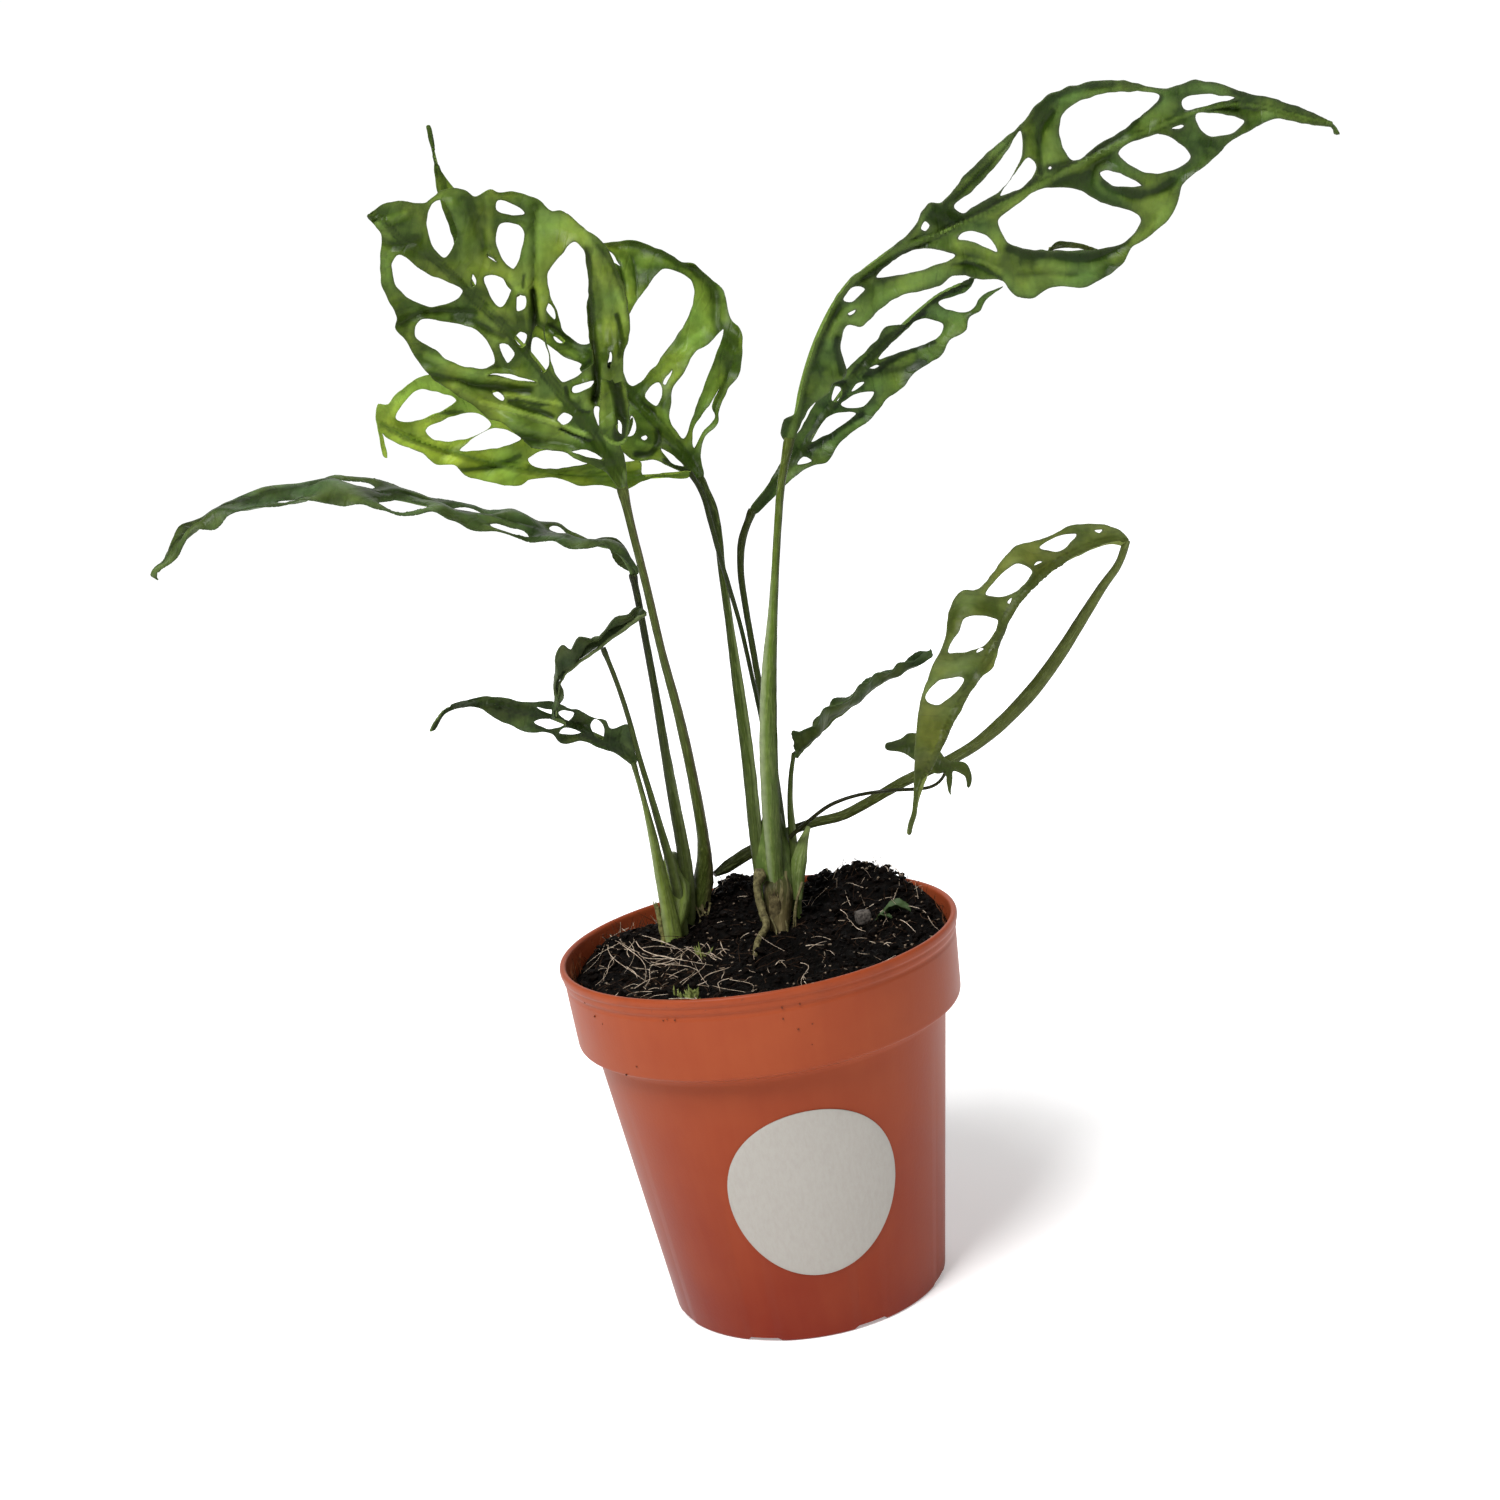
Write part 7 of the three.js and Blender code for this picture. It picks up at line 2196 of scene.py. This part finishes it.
MIDDLE_RIGHT = FacingBlade(
    "leaf_middle_right",
    LeafSkin("dark green blade", "#1C2C0B", "#50662B", "#222F0D", "#2C391C", patch_mm=9, bias=0.02),
    base=(17.5, 236.5, 29), tip=(97, 288, 42), roll=-0.1, cup=-0.12, sag=4, wave=1.2, cell=0.8, heart=0.1,
    midrib=[
        (17.5, 236.5), (20, 239), (27, 246), (35, 252), (40, 258), (50, 268.5), (60, 276.5), (70, 284),
        (80, 289.5), (90, 292)],
    outline=[
        (16.7, 236.8), (20.5, 240.8), (26, 247), (30, 252.5), (34, 257), (40, 264.3), (43, 266.3),
        (47, 270), (54, 275), (60, 279.2), (62.5, 282), (68, 282.6), (76, 287.7), (84, 290.8), (89.5, 292),
        (87, 288.9), (83, 287.9), (78.5, 286.9), (80, 284.8), (87, 283.3), (91, 286.8), (97, 288.3),
        (92, 285.7), (90, 282.8), (86.8, 281.5), (85, 278), (80, 276), (77, 272), (69, 268.5), (65, 264.8),
        (60, 262), (55, 257.5), (50, 255), (44.5, 251.5), (41, 247.3), (35, 246.5), (28, 242.5),
        (18.4, 235.8)],
    holes=[
        [(59.5, 273.8), (67, 279.8), (73, 283), (79, 280.3), (76.5, 277), (67, 275)],
        [(50.5, 265.8), (52, 267.8), (54.5, 267.8)],
        [(47, 262.5), (50, 264.5), (56.8, 264.8), (53.5, 261)],
        [(37, 253.5), (44, 260.3), (51, 259.5), (45, 256.3)],
        [(44.7, 264.3), (46.3, 268), (47.6, 267.2), (46.5, 263.8)],
        [(32, 247.8), (34.5, 249.7), (36.3, 248.2)],
        [(56.5, 271.7), (58.5, 272.2), (59.3, 271.8), (58, 271.2)]],
    folds=[
        ([(55, 269.6), (62, 272.6), (70, 275.2), (75.5, 276.2)], 1.5, -0.64, -0.68),
        ([(60, 270.4), (66, 269.8), (72, 270.6)], 1.8, -0.64, -0.41),
        ([(56, 266.6), (62, 266.4), (66, 264.4)], 2.2, 0.56, 0.35),
        ([(74, 271.6), (72, 273.6)], 2, 0.4, 0.3),
        ([(76, 285.2), (82, 283), (84, 279), (79, 276)], 2.8, 0.56, 0.5),
        ([(35.5, 251.2), (44, 255.2), (52.5, 259)], 1.7, -0.72, -0.68),
        ([(45, 255.4), (52, 257)], 1.4, 0.32, 0.2),
        ([(38, 251), (43, 251.6)], 2, 0.32, 0.3),
        ([(45, 270), (48.5, 268.3)], 1.6, -0.64, -0.64),
        ([(52, 271), (60, 276.6), (68, 281.6), (74, 284.8)], 1.1, -0.48, -0.52),
        ([(62, 281.2), (67, 281.8)], 1.3, 0.32, 0.3),
        ([(77, 288), (83, 290.2), (88, 291.2)], 1.4, -0.4, -0.41),
        ([(40, 262), (43, 258), (38, 254)], 1.6, 0.32, 0.25)])

LEFT_SMALL = FacingBlade(
    "leaf_left_small",
    LeafSkin("dull dark green blade", "#1F2A0C", "#48572A", "#1A260A", "#2C391F", patch_mm=8),
    base=(-28.2, 168.5, 12.5), tip=(-85, 188, -6), roll=0.2, cup=-0.3, sag=3, wave=0.8, cell=0.9,
    midrib=[
        (-28.2, 168.5), (-28.3, 170), (-36, 177.5), (-46, 183.5), (-55, 188.5), (-70, 193.5), (-80, 192.8),
        (-85, 187.5)],
    outline=[
        (-27.6, 168.5), (-27.3, 175), (-28, 180.2), (-33, 179.8), (-34.4, 182.8), (-38, 184),
        (-41.5, 186.8), (-43.5, 187.5), (-45.5, 188.8), (-49, 190.6), (-56, 191.5), (-66, 194.6),
        (-72, 194.8), (-80, 193), (-85.2, 187.3), (-84.2, 187.3), (-80, 192), (-74, 192.8), (-70, 192),
        (-66.5, 188.5), (-62.5, 185.8), (-58, 183), (-50.5, 181), (-48, 177.8), (-42, 177.5), (-38, 175),
        (-33, 172.5), (-28.9, 168.5)],
    holes=[
        [(-38.8, 182), (-37, 183.5), (-35, 180), (-36.4, 177.2), (-38.3, 179)],
        [(-47.5, 187), (-45, 187.3), (-43, 186), (-45, 184)],
        [(-54.8, 185.5), (-50, 185.8), (-46, 183.2), (-51, 182.5)],
        [(-48.3, 181), (-46.5, 182.3), (-44.5, 182), (-41.8, 180), (-44.5, 180), (-47.5, 180.7)],
        [(-53.5, 189.8), (-51, 188.6), (-48.5, 187.8), (-49.5, 187), (-52, 188.3)]])

ARCHED_RIGHT = FacingBlade(
    "leaf_arched_right",
    LeafSkin("olive green blade", "#3B4517", "#6B7539", "#394119", "#48502B"),
    base=(123.2, 210.5, -3), tip=(49, 134.5, -21), roll=-0.16, cup=0.18, sag=-7, wave=1.2, cell=0.9,
    midrib=[
        (123, 210.5), (119, 211.8), (113, 211), (105, 208.5), (97, 204), (90, 198.5), (86, 194), (79, 183),
        (72, 175), (64, 163), (57, 152), (52, 142), (49, 135)],
    outline=[
        (124.2, 211.2), (123.5, 213), (121, 215.3), (117, 217.2), (108, 218.3), (101, 216), (91, 214.5),
        (84, 208.5), (79, 204), (74, 204.3), (70, 199.5), (67.5, 191), (63, 184), (58, 174), (54.5, 161),
        (53, 152), (51, 142), (48.7, 134.6), (49.4, 134.3), (51.5, 139), (55, 149), (59, 154), (64, 161.5),
        (72, 173), (77, 178.5), (80.5, 180.7), (83, 186.5), (87, 193.5), (92, 199.5), (103, 207),
        (113, 210.5), (119, 211.7), (121.5, 211.5), (122.2, 211)],
    holes=[
        [(98.5, 213.3), (104, 215.8), (109.5, 215.7), (104, 211.4)],
        [(81, 202.3), (84, 205.5), (91, 209.8), (95.3, 207), (91, 202.3), (87, 200.8)],
        [(67.7, 187), (72, 193), (74.5, 196.5), (83.5, 194), (79.5, 188), (75, 186.4)],
        [(59.4, 174.5), (64, 179), (71.5, 178.5), (66.5, 173.3), (62, 172)],
        [(114.5, 215.7), (117, 215.5), (116, 214.8)],
        [(96, 208.4), (97.2, 209.3), (98.5, 209.2), (97.2, 208.5)],
        [(87, 199), (88.3, 199.8), (87.5, 198.3)],
        [(76, 185.7), (77.2, 186.8), (78.5, 186.6), (77.2, 185.8)]])

CURLED_RIGHT = FacingBlade(
    "leaf_curled_right",
    LeafSkin("dark olive blade", "#303A17", "#556132", "#293314", "#394324"),
    base=(62.6, 151.8, 5), tip=(48, 162, 12), roll=0.1, cup=0.2, sag=3, wave=0.3, cell=0.9,
    midrib=[(62.6, 152), (59, 156), (54, 160), (48, 162)],
    outline=[
        (62.1, 151.6), (60, 151.5), (57, 153), (54, 156), (51, 159), (45.8, 161.3), (46.2, 162.8),
        (50.5, 163.5), (54, 165), (59, 163), (60.5, 164.5), (61.3, 161), (62, 157.5), (64, 154.6),
        (68.3, 153.5), (70, 149.5), (68.4, 146), (67.9, 149.3), (64.6, 151.6), (63.7, 147.5),
        (62.8, 144.4), (62.5, 147.5)])

LOBE_FRONT = FacingBlade(
    "lobe_front", UPPER_LEFT.skin,
    base=(-16.5, 284, -4.2), tip=(-18, 261, -5.5), roll=0.05, cup=0.35, sag=-1.5, wave=0.3, billow=0.6,
    cell=0.6, rib_width=0.6, replaced=False,
    midrib=[(-16.4, 283), (-16.8, 277), (-17, 270), (-17.6, 262.4)],
    outline=[
        (-17.4, 284), (-19.2, 280.4), (-20.3, 276.5), (-21.1, 272), (-22.1, 267.5), (-21.6, 264),
        (-20, 261.7), (-17.6, 260.7), (-15.6, 261.4), (-14.3, 264), (-13.4, 268), (-12.9, 273),
        (-13.1, 278), (-13.8, 282), (-15, 284.3)],
    holes=[
        [(-17.2, 265), (-17.1, 267.2), (-16.5, 268.1), (-15.8, 267), (-15.7, 265.3), (-16.3, 263.8)]],
    folds=[
        ([(-15.8, 279), (-15.2, 273), (-15.6, 267), (-17, 263.4)], 2.6, -0.9, -0.8),
        ([(-19.6, 279), (-20.6, 273), (-21.2, 267)], 1.1, 0.5, 0.35),
        ([(-21.4, 264), (-19.6, 261.9), (-17.4, 261.2), (-15.2, 262)], 0.7, 0.4, 0.9)])

LOBE_CURLED = FacingBlade(
    "lobe_curled", ARCHED_RIGHT.skin,
    base=(111, 296.2, 4), tip=(125, 294.2, 3), roll=0.1, cup=0.3, sag=-1, wave=0.3, billow=0.6, cell=0.6,
    rib_width=0.6, replaced=False,
    midrib=[(111.4, 297), (118, 296.9), (124.6, 294.5)],
    outline=[
        (110.6, 296), (113, 298), (116, 298.2), (119, 297.4), (122, 296.2), (125.4, 294.4), (122, 294.7),
        (119, 295.8), (116, 296.4), (113, 296.4)])

LONG_LEFT = EdgeOnBlade(
    "leaf_long_left",
    LeafSkin("dark forest green blade", "#212D0E", "#506335", "#1C2909", "#2F3C1F"),
    half_width=11,
    near=[
        (-19.9, 222.9, 11), (-22.3, 228, 6), (-29, 232.5, 2), (-40, 236, 0), (-51, 238.8, -2),
        (-63, 244, -4), (-73, 249.8, -7), (-85, 251.8, -10), (-96, 255, -11), (-109, 259.5, -12),
        (-121, 258, -13), (-132, 256.6, -14), (-142, 252.7, -15), (-149, 246.8, -15.5),
        (-154.2, 243, -15.6)],
    middle=[
        (-19.5, 223.2, 12), (-23, 229.5, 12), (-30, 234, 11), (-39, 237.5, 10), (-49, 242, 8.5),
        (-60, 246.5, 7), (-72, 251, 5), (-85, 255.5, 3), (-98, 260, 1), (-110, 262.3, -1), (-122, 261, -4),
        (-133, 258.5, -7), (-143, 254.5, -10), (-150, 248.5, -13), (-154.5, 243.2, -15)],
    far=[
        (-19.1, 223.5, 13), (-25, 232.5, 17), (-29.5, 237.2, 19), (-38, 239.5, 20), (-49, 245.8, 19),
        (-58, 249, 18), (-70, 254.3, 17), (-84, 261, 14), (-97, 263.6, 12), (-108, 264, 9),
        (-121, 262.3, 5), (-132, 260.6, 0), (-143, 256, -5), (-151, 249.5, -10.5), (-154.8, 243.5, -14.4)],
    slits=[
        (0.2, 0.5, 0.035, 0.22), (0.3, -0.5, 0.035, 0.22), (0.38, 0.5, 0.035, 0.22),
        (0.48, -0.5, 0.04, 0.22), (0.56, 0.5, 0.04, 0.22), (0.66, -0.5, 0.03, 0.2)])

FOLDED_LEFT = EdgeOnBlade(
    "leaf_folded_left",
    LeafSkin("grey green blade", "#273219", "#4F5A35", "#212C17", "#333C26"),
    half_width=6, waves=0.05, frill=1.6, frill_mm=4,
    near=[
        (-18, 213, 8.7), (-22.5, 212, 6), (-28.2, 210.6, 4), (-31.5, 205.8, 3), (-37, 206.5, 1),
        (-40.5, 205.5, 0), (-43.5, 206.4, -1), (-46.5, 201, -1), (-47, 194.5, 0.5), (-48, 189.3, 0.3),
        (-48.8, 185.5, -0.4)],
    middle=[
        (-17.8, 212.2, 9.5), (-22, 209.3, 9), (-27, 206.3, 8), (-31.5, 203.6, 7), (-36, 201.5, 6),
        (-40, 199.8, 5), (-43.5, 197.5, 4), (-45, 195.5, 3), (-46.3, 192, 2), (-47.5, 188.5, 1),
        (-48.4, 185.3, 0)],
    far=[
        (-17.8, 212.8, 10.3), (-22, 211, 12), (-27, 209, 12), (-31.5, 205.5, 11), (-36.5, 205, 11),
        (-40, 204, 10), (-43.3, 203, 9), (-45.5, 199, 6), (-45.6, 193, 3.5), (-47, 189, 1.7),
        (-48, 185.5, 0.4)])

RIGHT_SMALL = EdgeOnBlade(
    "leaf_right_small",
    LeafSkin("dark green small blade", "#1F2C0E", "#46542B", "#1A260A", "#2C391F"),
    half_width=7, waves=0.12, frill=1.5, frill_mm=4, upturned=True,
    near=[
        (18.2, 164, 23), (18.4, 168.5, 20), (20, 172.3, 17), (25.5, 173.8, 15), (30, 176.4, 14),
        (37, 177.9, 13.5), (43, 182.6, 13.5), (49.5, 185, 14.5), (55.5, 186.9, 15.5), (63, 187.9, 16.4)],
    middle=[
        (18.8, 163.8, 24), (20.5, 165.8, 24), (23, 168, 23.5), (27, 170.8, 23), (32, 173.8, 22),
        (38, 177.2, 21), (44, 180.6, 20), (50, 183.6, 19), (56, 186, 18), (63, 187.3, 17)],
    far=[
        (19.4, 163.6, 25), (19.5, 168, 28), (21.5, 171, 29.5), (26, 173, 30), (31, 175.5, 30),
        (37, 178.5, 29), (43, 182.5, 27), (49.5, 185.3, 24), (55.8, 187.3, 21), (63.2, 187.9, 17.8)])

BLADES: list[Blade] = [UPPER_LEFT, UPPER_MIDDLE, LOWER_LEFT, TOP_RIGHT, MIDDLE_RIGHT, LEFT_SMALL,
                       ARCHED_RIGHT, CURLED_RIGHT, LOBE_FRONT, LOBE_CURLED, LONG_LEFT, FOLDED_LEFT,
                       RIGHT_SMALL]


def main() -> None:
    """Builds the plant, piece by piece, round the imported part."""
    logging.basicConfig(level=logging.INFO, format="%(message)s")
    # without this the vector noise that roughens crumbs and sheaths would follow the clock
    noise.seed_set(NOISE_SEED)
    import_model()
    Studio().build()
    PotShell().build()
    Sticker().build()
    PottingSoil().build()
    DryParts(routes=DRY_ROUTES).build()
    for stalk in PETIOLES:
        stalk.build()
    for blade in BLADES:
        blade.build()


if __name__ == "__main__":
    main()
